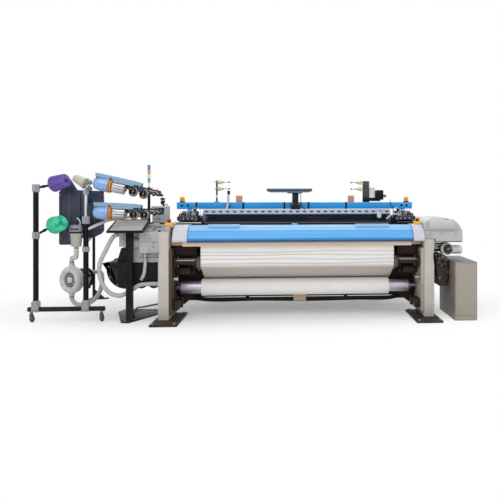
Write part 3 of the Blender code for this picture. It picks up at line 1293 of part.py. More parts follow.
def build_rear_leg():
    """Rear leg of the creel with its foot and the rail back to it from the right post."""
    x = REAR_POST_X
    y = REAR_POST_Y
    leg = rod("creel_rear_leg", (x, y, 0.0), (x, y, REAR_POST_TOP), REAR_POST_RADIUS, 12)
    foot = [(x - 0.05, y - 0.04), (x + 0.16, y + 0.02), (x + 0.16, y + 0.06), (x - 0.05, y + 0.06)]
    join(leg, extrusion("rear_foot", foot, "Z", 0.0, 0.012))
    gusset = [(x, 0.006), (x + 0.14, 0.006), (x, 0.13)]
    join(leg, extrusion("rear_gusset", gusset, "Y", y - 0.004, y + 0.004))
    start = Vector((RIGHT_POST_X, CREEL_Y, REAR_POST_TOP - 0.03))
    end = Vector((x, y, REAR_POST_TOP - 0.03))
    way = (end - start).normalized()
    join(leg, rod("creel_rail", start + way * (POST_RADIUS + GAP), end, 0.014, 12))
    return paint(leg, (32, 32, 36), 0.45, 0.1)


def build_creel_panel():
    """Folded slate panel behind the cones, held by two spacers on the right post."""
    x = RIGHT_POST_X
    left = x - PANEL_LEFT_REACH
    right = x + PANEL_RIGHT_REACH
    step = x - PANEL_STEP_REACH
    outline = [(left, PANEL_TOP - 0.009), (left + 0.1045, PANEL_PEAK), (step + 0.01, PANEL_TOP + 0.01)]
    outline += [(right, PANEL_TOP), (right, PANEL_SHOULDER), (right - 0.0214, PANEL_SHOULDER - 0.027)]
    outline += [(x + 0.029, PANEL_STEP + 0.004), (step, PANEL_STEP)]
    outline += [(step, PANEL_BOTTOM + PANEL_CORNER), (step - 0.014, PANEL_BOTTOM)]
    outline += [(left + 0.0125, PANEL_BOTTOM), (left, PANEL_BOTTOM + PANEL_CORNER)]
    y = (PANEL_FRONT, PANEL_FRONT + PANEL_THICKNESS)
    panel = extrusion("creel_panel", outline, "Y", *y)
    fold = ((step + 0.011, step + 0.046), (y[0] - 0.022, y[0] + 0.01))
    join(panel, box("panel_fold", *fold, (PANEL_SHOULDER - 0.027, PANEL_TOP - 0.004)))
    case = ((step + 0.051, right - 0.0214), (y[1] - 0.01, y[1] + 0.09))
    join(panel, box("panel_case", *case, (PANEL_SHOULDER - 0.007, PANEL_TOP - 0.039), 0.01))
    seats = (("lower", 0.02, POST_RADIUS, PANEL_SHOULDER - 0.002, 0.04),
             ("upper", 0.014, SLIM_POST_RADIUS, PANEL_TOP - 0.109, 0.03))
    for word, half, post_radius, z, tall in seats:
        depth = (CREEL_Y + post_radius + GAP, y[0] + 0.01)
        join(panel, box(word + "_spacer", (x - half, x + half), depth, (z, z + tall)))
    return paint(panel, (58, 62, 78), 0.5)


def build_bin():
    """Waste bin: lid, black band and tapered body, on a short arm from the right post."""
    r = BIN_TOP_RADIUS
    band = BIN_HEIGHT - BIN_LID_HEIGHT
    profile = [(0, 0), (0, BIN_BOTTOM_RADIUS - 0.006), (0.006, BIN_BOTTOM_RADIUS)]
    profile += [(band - 0.012, r - 0.004), (band - 0.012, r), (band, r)]
    profile += [(band + 0.006, r - 0.003), (BIN_HEIGHT - 0.012, r), (BIN_HEIGHT, r - 0.006), (BIN_HEIGHT, 0)]
    waste = turned("waste_bin", profile, 16, (BIN_X, BIN_Y, BIN_TOP - BIN_HEIGHT))
    near_post = RIGHT_POST_X - POST_RADIUS - GAP
    z = BIN_TOP - BIN_LID_HEIGHT - 0.02
    arm = ((BIN_X + BIN_TOP_RADIUS - 0.02, near_post), (BIN_Y - 0.012, BIN_Y + 0.012))
    join(waste, box("bin_arm", *arm, (z - 0.012, z + 0.012)))
    return paint(waste, (175, 170, 165), 0.5)


def blower_way():
    turn = radians(BLOWER_TURN)
    return Vector((sin(turn), cos(turn), 0.0))


def blower_place(along, above=0.0):
    base = Vector((BLOWER_X, BLOWER_Y, BLOWER_Z))
    return base + blower_way() * along + Vector((0.0, 0.0, above))


def build_blower():
    """Side-channel blower: a round ring with a vaned inlet, its motor and a back plate."""
    way = blower_way()
    r = BLOWER_RADIUS
    deep = BLOWER_DEPTH
    profile = [(0.026, 0), (0.020, 0.026), (0.030, 0.034), (0.030, r - 0.055)]
    profile += [(0.006, r - 0.049), (0, r - 0.039)]
    profile += [(0.004, r - 0.018), (0.022, r - 0.003), (0.05, r), (0.078, r - 0.003)]
    profile += [(deep - 0.004, r - 0.018), (deep, r - 0.04)]
    motor_end = deep + BLOWER_MOTOR_LENGTH
    profile += [(deep, BLOWER_MOTOR_RADIUS), (motor_end, BLOWER_MOTOR_RADIUS)]
    profile += [(motor_end, 0.10), (motor_end + 0.018, 0.10), (motor_end + 0.018, 0)]
    blower = turned("blower", profile, 20, blower_place(0.0), way)
    for i in range(BLOWER_VANES):
        turn = 2 * pi * i / BLOWER_VANES
        side = way.cross(Vector((0, 0, 1)))
        spoke = side * cos(turn) + Vector((0, 0, 1)) * sin(turn)
        centre = blower_place(0.026)
        ends = (centre + spoke * 0.02, centre + spoke * (r - 0.053))
        join(blower, rod("blower_vane_%d" % (i + 1), *ends, 0.005, 5))
    top = blower_place(deep / 2, r)
    join(blower, rod("blower_outlet", top - Vector((0, 0, 0.03)), top + Vector((0, 0, 0.022)), 0.028, 12))
    low = blower_place(deep / 2, -r)
    join(blower, rod("blower_inlet", low + Vector((0, 0, 0.03)), low - Vector((0, 0, 0.02)), 0.028, 12))
    back = CREEL_Y + POST_RADIUS + GAP
    for i, above in enumerate((0.055, -0.055)):
        mount = blower_place(deep + 0.07, above)
        place = ((RIGHT_POST_X - 0.03, RIGHT_POST_X + 0.03), (back, back + 0.03))
        clamp = box("blower_clamp_%d" % (i + 1), *place, (mount.z - 0.016, mount.z + 0.016))
        start = (RIGHT_POST_X, back + 0.016, mount.z)
        bar = rod("blower_bar_%d" % (i + 1), start, mount, 0.012, 8)
        join(blower, clamp, bar)
    return paint(blower, (185, 185, 185), 0.4, 0.3)


def build_castor(side, x):
    """Castor: a fork that swivels under its socket and a wheel that turns in the fork."""
    top = socket_bottom() - SHAFT_PLAY
    radius = CASTOR_WHEEL_RADIUS
    half = CASTOR_WHEEL_WIDTH / 2
    inside = half + 0.0015
    crown = 2 * radius + 0.008
    head = [(0, 0), (0, 0.014), (0.003, 0.020), (top - crown, 0.020), (top - crown, 0)]
    fork = turned(side + "_castor_fork", head, 10, (x, CREEL_Y, top), (0, 0, -1))
    for i, way in enumerate((-1, 1)):
        cheek = [(-0.014, crown + 0.004), (0.016, crown + 0.004), (CASTOR_TRAIL + 0.010, radius + 0.006)]
        cheek += [(CASTOR_TRAIL + 0.010, radius - 0.008), (CASTOR_TRAIL - 0.010, radius - 0.008)]
        outline = [(CREEL_Y + y, z) for y, z in cheek]
        limits = sorted((x + way * inside, x + way * (inside + FORK_WALL)))
        join(fork, extrusion("%s_cheek_%d" % (side, i + 1), outline, "X", *limits))
    reach = inside + FORK_WALL + 0.002
    axle_y = CREEL_Y + CASTOR_TRAIL
    join(fork, rod(side + "_axle", (x - reach, axle_y, radius), (x + reach, axle_y, radius), 0.005, 8))
    paint(fork, (60, 60, 64), 0.4, 0.6)
    bore = 0.005 + SHAFT_PLAY
    profile = [(-half, bore), (-half, radius - 0.004), (0.003 - half, radius), (half - 0.003, radius)]
    profile += [(half, radius - 0.004), (half, bore)]
    wheel = turned(side + "_castor_wheel", profile, 16, (x, axle_y, radius), (1, 0, 0), True)
    paint(wheel, (40, 40, 42), 0.6)


# Hoses and cable

def beside(points):
    """Route points given by their distance out from the left side frame's outer face."""
    return [(-OUTER_FACE - out, y, z) for out, y, z in points]


def build_air_hoses():
    """The loop under the left end and the branch that rises from it."""
    r = HOSE_RADIUS
    y = LOWER_COVER_FRONT - r - 0.004
    route = [(0.4075, HOUSING_FRONT, 0.835), (0.433, HOUSING_FRONT, 0.835)]
    route += [(0.475, y + 0.012, 0.80), (0.53, y, 0.69), (0.59, y, 0.55), (0.583, y, 0.40)]
    route += [(0.505, y, 0.275), (0.40, y, 0.240), (0.30, y, 0.285), (0.21, y, 0.340)]
    route += [(0.115, y, 0.350), (0.045, y, 0.350), (GAP, y, 0.350)]
    paint(hose("air_hose", beside(route), r), (205, 205, 203), 0.5)
    block_low = HOUSING_BOTTOM + 0.095 - GAP
    route = [(0.195, y - 0.002, 0.392), (0.167, y - 0.005, 0.45), (0.155, y - 0.008, 0.54)]
    route += [(0.153, y - 0.008, 0.60), (0.153, y - 0.008, block_low)]
    paint(hose("branch_hose", beside(route), BRANCH_RADIUS), (205, 205, 203), 0.5)


def build_creel_hoses():
    """Hoses from the bin down to the blower, and from the blower round to its motor."""
    r = HOSE_RADIUS
    top = blower_place(BLOWER_DEPTH / 2, BLOWER_RADIUS + 0.022 + GAP)
    bottom = BIN_TOP - BIN_HEIGHT
    route = [(BIN_X, BIN_Y, bottom - GAP), (BIN_X, BIN_Y, bottom - 0.045)]
    route += [(BIN_X - 0.017, 0.16, 0.62), (top.x + 0.01, top.y - 0.02, top.z + 0.06)]
    route += [(top.x, top.y, top.z + 0.025), tuple(top)]
    paint(hose("bin_hose", route, r), (205, 205, 203), 0.5)
    low = blower_place(BLOWER_DEPTH / 2, -BLOWER_RADIUS - 0.02 - GAP)
    route = [tuple(low), (low.x, low.y, low.z - 0.03), (low.x + 0.035, low.y + 0.01, 0.150)]
    route += beside([(0.775, 0.30, 0.135), (0.695, 0.34, 0.175), (0.65, 0.40, 0.26)])
    route += beside([(0.65, 0.47, 0.36), (0.685, 0.54, 0.42)])
    plate_back = BLOWER_DEPTH + BLOWER_MOTOR_LENGTH + 0.018
    for away in (0.085, 0.04, GAP):
        route.append(tuple(blower_place(plate_back + away, 0.045)))
    paint(hose("blower_hose", route, r), (205, 205, 203), 0.5)


def build_terminal_cable():
    """Cable from the terminal's post over its base plate to the left side frame."""
    back = TERMINAL_POST_Y + TERMINAL_POST_DEPTH / 2
    cable = [(TERMINAL_OUT, back + GAP, 0.045), (TERMINAL_OUT, back + 0.03, 0.045)]
    cable += [(0.30, 0.25, 0.030), (0.325, 0.40, 0.0235), (0.355, 0.62, 0.0235)]
    cable += [(0.355, 0.75, 0.0235), (0.335, 0.83, 0.012), (0.265, 0.93, 0.012)]
    cable += [(0.165, 0.985, 0.03), (0.085, 1.00, 0.12), (0.045, 1.01, 0.18)]
    cable += [(0.025, 1.01, 0.20), (GAP, 1.01, 0.20)]
    paint(hose("terminal_cable", beside(cable), CABLE_RADIUS), (25, 25, 25), 0.5)


# Assembly

def lower_to_origin():
    """Move the loom so that the middle of its base is the origin."""
    bpy.context.view_layer.update()
    shapes = bpy.context.evaluated_depsgraph_get()
    low = [1e9] * 3
    high = [-1e9] * 3
    for piece in bpy.data.objects:
        if piece.hide_render or piece.type not in {'MESH', 'CURVE'}:
            continue
        shown = piece.evaluated_get(shapes)
        for vertex in shown.to_mesh().vertices:
            point = piece.matrix_world @ vertex.co
            low = [min(a, b) for a, b in zip(low, point)]
            high = [max(a, b) for a, b in zip(high, point)]
        shown.to_mesh_clear()
    ROOT.location = (-(low[0] + high[0]) / 2, -(low[1] + high[1]) / 2, -low[2])


def main():
    global ROOT
    clear_scene()
    ROOT = bpy.data.objects.new("loom", None)
    bpy.context.collection.objects.link(ROOT)
    build_column("left_front_column", -1, LEFT_COLUMN_TOP)
    build_column("right_front_column", 1, RIGHT_COLUMN_TOP)
    for word, side in (("left", -1), ("right", 1)):
        build_side_frame(word + "_side_frame", side)
    build_cross_beams()
    build_breast_beam()
    build_front_cover()
    build_cap("left_cover_cap", COVER_LEFT, LEFT_CAP_INSET - INNER_FACE)
    build_cap("right_cover_cap", COVER_RIGHT, INNER_FACE - RIGHT_CAP_INSET)
    build_stop_box("left_stop_box", 0.044 - COLUMN_SPACING / 2, 0.07, LEFT_COLUMN_TOP, STOP_STEM)
    build_stop_box("right_stop_box", INNER_FACE - 0.040, 0.16, COVER_TOP + CAP_OVERHANG, 0.0)
    build_cloth_web()
    build_take_up_roller()
    build_cloth_roll()
    build_reed()
    for index in range(HEALD_FRAMES):
        build_heald_frame(index)
    build_top_beam()
    build_lamp_panel()
    build_bobbin_stands()
    build_warp()
    build_left_housing()
    build_lower_cover()
    build_junction_box()
    build_light_tower()
    build_right_housing()
    build_brake()
    build_gear_motor()
    build_cabinet()
    upper = build_feeder("upper_feeder", UPPER_FEEDER, UPPER_TILT)
    lower = build_feeder("lower_feeder", LOWER_FEEDER, LOWER_TILT)
    build_feeder_stand(upper, lower)
    build_terminal()
    creel = build_creel_base()
    add_left_post(creel)
    add_right_post(creel)
    build_rear_leg()
    build_creel_panel()
    build_cone("purple_cone", PURPLE_CONE, (110, 70, 190))
    build_cone("green_cone", GREEN_CONE, (40, 190, 130))
    build_cone("cream_cone", CREAM_CONE, (215, 205, 180))
    build_bin()
    build_blower()
    for side, x in zip(("left", "right"), castor_places()):
        build_castor(side, x)
    build_air_hoses()
    build_creel_hoses()
    build_terminal_cable()
    lower_to_origin()


main()
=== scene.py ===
from functools import partial
from math import cos, pi, radians, sin

import bmesh
import bpy
from bpy.props import FloatProperty, FloatVectorProperty, IntProperty, PointerProperty
from mathutils import Matrix, Vector


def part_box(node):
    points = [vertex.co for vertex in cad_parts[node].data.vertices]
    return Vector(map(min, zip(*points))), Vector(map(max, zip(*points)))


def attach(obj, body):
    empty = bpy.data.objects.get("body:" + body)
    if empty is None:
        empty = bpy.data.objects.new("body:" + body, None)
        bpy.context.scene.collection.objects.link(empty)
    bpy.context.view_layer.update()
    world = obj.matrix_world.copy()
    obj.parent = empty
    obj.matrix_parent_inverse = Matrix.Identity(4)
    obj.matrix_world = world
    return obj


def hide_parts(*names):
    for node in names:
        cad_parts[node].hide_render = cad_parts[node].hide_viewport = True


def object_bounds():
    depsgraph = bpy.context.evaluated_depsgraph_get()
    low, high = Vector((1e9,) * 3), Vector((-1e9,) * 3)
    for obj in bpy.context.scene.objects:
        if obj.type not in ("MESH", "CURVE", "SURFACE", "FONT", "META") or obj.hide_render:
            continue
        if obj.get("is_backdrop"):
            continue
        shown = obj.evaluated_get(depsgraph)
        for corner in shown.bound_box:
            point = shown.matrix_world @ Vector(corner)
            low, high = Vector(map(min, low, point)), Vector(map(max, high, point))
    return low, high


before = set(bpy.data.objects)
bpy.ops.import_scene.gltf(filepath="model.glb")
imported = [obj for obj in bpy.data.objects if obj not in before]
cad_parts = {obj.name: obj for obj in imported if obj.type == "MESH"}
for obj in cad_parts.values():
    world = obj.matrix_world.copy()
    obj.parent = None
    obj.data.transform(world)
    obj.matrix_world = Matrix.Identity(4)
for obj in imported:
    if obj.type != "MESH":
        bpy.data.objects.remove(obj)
CAD_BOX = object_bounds()

bl_info = {
    "name": "Shuttleless loom",
    "version": (1, 0, 0),
    "blender": (4, 5, 0),
    "location": "View3D > Sidebar > Loom",
    "description": "Dresses the frame of a shuttleless loom: covers, rollers, healds, yarn supply",
    "category": "Object",
}

# The loom is drawn with X = 0 midway between its front columns and Y = 0 at their front faces,
# in metres. SHIFT moves those places to the frame's own.
PLATE_REACH = 0.19
LEFT_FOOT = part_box("left_front_column")
RIGHT_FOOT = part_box("right_front_column")
SHIFT = Vector((
    (LEFT_FOOT[0].x + RIGHT_FOOT[1].x) / 2,
    LEFT_FOOT[0].y + PLATE_REACH,
    0.0))

RIGHT = (1.0, 0.0, 0.0)
BACK = (0.0, 1.0, 0.0)
UP = (0.0, 0.0, 1.0)
LEFT = (-1.0, 0.0, 0.0)
FRONT = (0.0, -1.0, 0.0)
SIDES = (-1, 1)
GAP = 0.0003  # between pieces that touch


def about(middle, half):
    """Limits at equal distances from a middle."""
    return middle - half, middle + half


def limits(side, low, high):
    """Limits in X on one side of the loom, given as on the right."""
    return sorted((side * low, side * high))


def loom_box(node):
    """Lowest and highest corner of a node, in the loom's own coordinates."""
    low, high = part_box(node)
    return low - SHIFT, high - SHIFT


def screen(red, green, blue):
    """A colour as it shows on a screen, 0 to 255, as the shader needs it."""
    return tuple(((value / 255) ** 2.2) for value in (red, green, blue))


# Sizes and colours that a user would change

def length(name, description, default, low=0.0, high=1.0):
    return FloatProperty(
        name=name, description=description, default=default, min=low, max=high,
        precision=4, subtype='DISTANCE', unit='LENGTH')


def colour(name, description, *shown):
    return FloatVectorProperty(
        name=name, description=description, default=screen(*shown), min=0.0, max=1.0,
        size=3, subtype='COLOR')


class LoomSizes(bpy.types.PropertyGroup):
    bolt: length("Bolt size", "Across the head of a common bolt", 0.017, 0.005, 0.05)
    pleat: length("Pleat depth", "How far each fold of the cloth stands out", 0.012, 0.0, 0.02)
    weave: length("Weave pitch", "Distance between the cloth's drawn threads", 0.0022, 0.0005, 0.02)
    heald_pitch: length("Heald pitch", "Distance between heald wires", 0.0048, 0.003, 0.05)
    slot_pitch: length(
        "Slot pitch", "Distance between slots in a heald frame's bar", 0.0734, 0.03, 0.2)
    hose_rib: length("Hose rib", "Distance between two ribs of a hose", 0.0095, 0.004, 0.05)
    wire: length("Cable thickness", "Radius of the thin cables", 0.0035, 0.001, 0.01)
    feeder_fingers: IntProperty(
        name="Drum fingers", description="Fingers round a feeder's winding drum", default=12,
        min=6, max=24)
    cabinet_vents: IntProperty(
        name="Cabinet vents", description="Rows of vents in the cabinet's side", default=9,
        min=0, max=20)


class LoomColours(bpy.types.PropertyGroup):
    cover: colour("Cover", "Main face of the front cover", 100, 178, 242)
    cover_top: colour("Cover top", "Upper strip of the front cover", 146, 200, 244)
    cover_edge: colour("Cover edge", "Lower strip of the front cover", 58, 132, 196)
    beam: colour("Beam", "Top beam", 54, 168, 250)
    casting: colour("Casting", "Columns and side frames", 200, 192, 184)
    housing: colour("Housing", "Drive housings", 192, 194, 195)
    cap: colour("Cap", "End caps of the cover", 208, 208, 218)
    cabinet: colour("Cabinet", "Control cabinet", 165, 157, 147)
    tan: colour("Breast beam", "Strip under the cover", 224, 198, 172)
    cloth: colour("Cloth", "Woven cloth", 246, 245, 242)
    warp: colour("Warp", "Warp threads", 228, 222, 210)
    purple: colour("Purple yarn", "Upper left cone", 94, 56, 166)
    green: colour("Green yarn", "Lower left cone", 24, 214, 160)
    cream: colour("Cream yarn", "Right cone", 222, 212, 190)
    feeder: colour("Feeder", "Bodies of the weft feeders", 142, 180, 234)
    orange: colour("Orange", "Winding rings and lamps", 240, 142, 40)
    slate: colour("Slate", "Creel panel and lamp panel", 46, 56, 76)
    black: colour("Black", "Posts, stands and brackets", 17, 17, 20)
    hose: colour("Hose", "Air hoses", 205, 205, 204)
    dark: colour("Dark iron", "Motor, rollers and low beams", 56, 45, 40)


def sizes():
    return bpy.context.scene.loom_sizes


def colours():
    return bpy.context.scene.loom_colours


# Materials

class Reading:
    """A number, vector or colour on its way through a material; sums on it add nodes."""

    def __init__(self, look, socket):
        self.look = look
        self.socket = socket

    def maths(self, operation, *others):
        """A Math node on this number and the others."""
        values = dict(enumerate((self, *others)))
        return self.look.node("ShaderNodeMath", {"operation": operation}, values)

    def __add__(self, other):
        return self.maths("ADD", other)

    __radd__ = __add__

    def __sub__(self, other):
        return self.maths("SUBTRACT", other)

    def __rsub__(self, other):
        return self.maths("MULTIPLY", -1.0) + other

    def __mul__(self, other):
        return self.maths("MULTIPLY", other)

    __rmul__ = __mul__

    def wave(self, pitch):
        """Swings between 0 and 1 once in each pitch."""
        return (self * (2 * pi / pitch)).maths("SINE") * 0.5 + 0.5

    def above(self, edge, soft=0.001):
        """1 above the edge and 0 below it, with a soft step between."""
        return self.look.node(
            "ShaderNodeMapRange", {"interpolation_type": 'SMOOTHSTEP'},
            {"Value": self, "From Min": edge - soft, "From Max": edge + soft})

    def between(self, low, high, soft=0.001):
        return self.above(low, soft) * (1 - self.above(high, soft))


class Look:
    """A material under way, with the loom's coordinates and the patterns it needs."""

    def __init__(self, name):
        self.material = bpy.data.materials.new(name)
        self.material.use_nodes = True
        self.tree = self.material.node_tree
        self.shader = self.tree.nodes["Principled BSDF"]
        point = self.node("ShaderNodeTexCoord", {}, {}, "Object")
        self.place = self.node(
            "ShaderNodeMapping", {}, {"Vector": point, "Location": tuple(-SHIFT)})
        split = self.node("ShaderNodeSeparateXYZ", {}, {"Vector": self.place})
        self.x, self.y, self.z = (
            Reading(self, split.socket.node.outputs[i]) for i in range(3))

    def node(self, kind, settings, values, output=0):
        """One node: its settings first, then the values or links of its sockets."""
        made = self.tree.nodes.new(kind)
        for name, value in settings.items():
            setattr(made, name, value)
        for key, value in values.items():
            if isinstance(value, Reading):
                self.tree.links.new(value.socket, made.inputs[key])
            else:
                made.inputs[key].default_value = value
        return Reading(self, made.outputs[output])

    def noise(self, scale, detail=3.0, stretch=(1.0, 1.0, 1.0), point=None):
        point = point or self.place
        if stretch != (1.0, 1.0, 1.0):
            point = self.node("ShaderNodeMapping", {}, {"Vector": point, "Scale": stretch})
        return self.node(
            "ShaderNodeTexNoise", {}, {"Vector": point, "Scale": scale, "Detail": detail})

    def mix(self, share, first, second):
        """Colour mix; a plain colour is three numbers."""
        pair = [value if isinstance(value, Reading) else (*value, 1.0) for value in (first, second)]
        return self.node(
            "ShaderNodeMix", {"data_type": 'RGBA'}, {0: share, 6: pair[0], 7: pair[1]}, 2)

    def along(self, way, base=(0.0, 0.0, 0.0)):
        """Distance along a direction from a point."""
        offset = self.node(
            "ShaderNodeVectorMath", {"operation": 'SUBTRACT'}, {0: self.place, 1: tuple(base)})
        return self.node(
            "ShaderNodeVectorMath", {"operation": 'DOT_PRODUCT'}, {0: offset, 1: tuple(way)}, 1)

    def finish(self, base, roughness, metallic=0.0, height=None, depth=0.0004, strength=0.6):
        """Join the result to the shader; height gives the bump."""
        for name, value in (("Base Color", base), ("Roughness", roughness), ("Metallic", metallic)):
            socket = self.shader.inputs[name]
            if isinstance(value, Reading):
                self.tree.links.new(value.socket, socket)
            else:
                socket.default_value = (*value, 1.0) if name == "Base Color" else value
        if height is not None:
            bump = self.node(
                "ShaderNodeBump", {}, {"Height": height, "Distance": depth, "Strength": strength})
            self.tree.links.new(bump.socket, self.shader.inputs["Normal"])
        return self.material


def darker(tone, share):
    return tuple(value * share for value in tone)


def paler(tone, share):
    return tuple(value + (1 - value) * share for value in tone)


MADE = {}


def finish_of(name, make):
    """Make a finish once and hand out the same material after that."""
    if name not in MADE:
        MADE[name] = make(Look(name))
    return MADE[name]


def worn(look, tone, share=0.12, scale=2.2):
    """A tone with large faint patches, small specks and dust near the floor."""
    patches = look.noise(scale, 4.0)
    base = look.mix(patches.above(0.52, 0.22) * share, tone, darker(tone, 0.72))
    specks = look.noise(70.0, 2.0).above(0.69, 0.03)
    base = look.mix(specks * 0.22, base, paler(tone, 0.35))
    dust = (1 - look.z.above(0.10, 0.14)) * look.noise(9.0).above(0.45, 0.15)
    return look.mix(dust * 0.14, base, screen(150, 140, 128)), patches


def painted(name, tone, roughness=0.42, metallic=0.0):
    """Sprayed machine paint with a fine skin."""
    def make(look):
        base, patches = worn(look, tone)
        skin = look.noise(420.0, 1.0)
        return look.finish(base, patches * 0.16 + (roughness - 0.08), metallic, skin, 0.00025)
    return finish_of(name, make)


def cast(name, tone):
    """Painted casting: coarser skin, with the blows and grain of the mould."""
    def make(look):
        base, patches = worn(look, tone, 0.2, 3.5)
        skin = look.noise(150.0, 3.0) * 0.6 + look.noise(28.0, 2.0) * 0.7
        return look.finish(base, patches * 0.2 + 0.45, 0.0, skin, 0.0009)
    return finish_of(name, make)


def moulded(name, tone, roughness=0.38):
    """Moulded plastic with a fine even grain."""
    def make(look):
        patches = look.noise(6.0, 2.0)
        base = look.mix(patches * 0.25, tone, darker(tone, 0.8))
        grain = look.noise(900.0, 1.0)
        return look.finish(base, patches * 0.1 + roughness, 0.0, grain, 0.00012)
    return finish_of(name, make)


def metal(name, tone, roughness=0.3, way=RIGHT):
    """Bare machined metal with fine lines that run across a direction."""
    def make(look):
        stretch = tuple(60.0 if part else 1.5 for part in way)
        lines = look.noise(14.0, 4.0, stretch)
        base = look.mix(lines * 0.5, tone, darker(tone, 0.62))
        stain = look.noise(7.0, 3.0).above(0.62, 0.08)
        base = look.mix(stain * 0.25, base, screen(105, 92, 78))
        return look.finish(base, lines * 0.2 + roughness, 0.9, lines, 0.0001)
    return finish_of(name, make)


def rubber(name, tone):
    def make(look):
        patches = look.noise(30.0, 3.0)
        base = look.mix(patches * 0.4, tone, paler(tone, 0.08))
        return look.finish(base, patches * 0.15 + 0.62, 0.0, look.noise(500.0, 2.0), 0.0002)
    return finish_of(name, make)


def dull(material, shine=0.18):
    """Weaken the mirror light of a dark finish, which otherwise greys it."""
    shader = material.node_tree.nodes["Principled BSDF"]
    shader.inputs["Specular IOR Level"].default_value = shine
    return material


def wound(name, tone, way, base, side, up, pitch=0.0042):
    """Yarn wound crosswise about an axis, as on a cone."""
    def make(look):
        run = look.along(way, base)
        turn = look.node(
            "ShaderNodeMath", {"operation": 'ARCTAN2'},
            {0: look.along(side, base), 1: look.along(up, base)})
        over = (run * (2 * pi / pitch) + turn * 3.0).maths("SINE")
        under = (run * (2 * pi / pitch) - turn * 3.0).maths("SINE")
        threads = over.maths("MAXIMUM", under) * 0.5 + 0.5
        shade = look.mix(threads, darker(tone, 0.62), paler(tone, 0.10))
        shade = look.mix(look.noise(40.0, 2.0) * 0.35, shade, darker(tone, 0.7))
        return look.finish(shade, 0.85, 0.0, threads, 0.0007)
    return finish_of(name, make)


def woven(name, tone):
    """Plain weave on the cloth's own lengthwise and crosswise measures."""
    def make(look):
        flat = look.node("ShaderNodeUVMap", {"uv_map": "cloth"}, {})
        split = look.node("ShaderNodeSeparateXYZ", {}, {"Vector": flat})
        across = Reading(look, split.socket.node.outputs[0])
        down = Reading(look, split.socket.node.outputs[1])
        pitch = sizes().weave
        warp_way = across.wave(pitch)
        weft_way = down.wave(pitch)
        threads = warp_way.maths("MAXIMUM", weft_way)
        stripes = look.noise(1.0, 3.0, (160.0, 2.0, 1.0), flat)
        shade = look.mix(threads, darker(tone, 0.86), tone)
        shade = look.mix(stripes.above(0.5, 0.3) * 0.16, shade, darker(tone, 0.74))
        return look.finish(shade, 0.88, 0.0, threads, 0.0003)
    return finish_of(name, make)


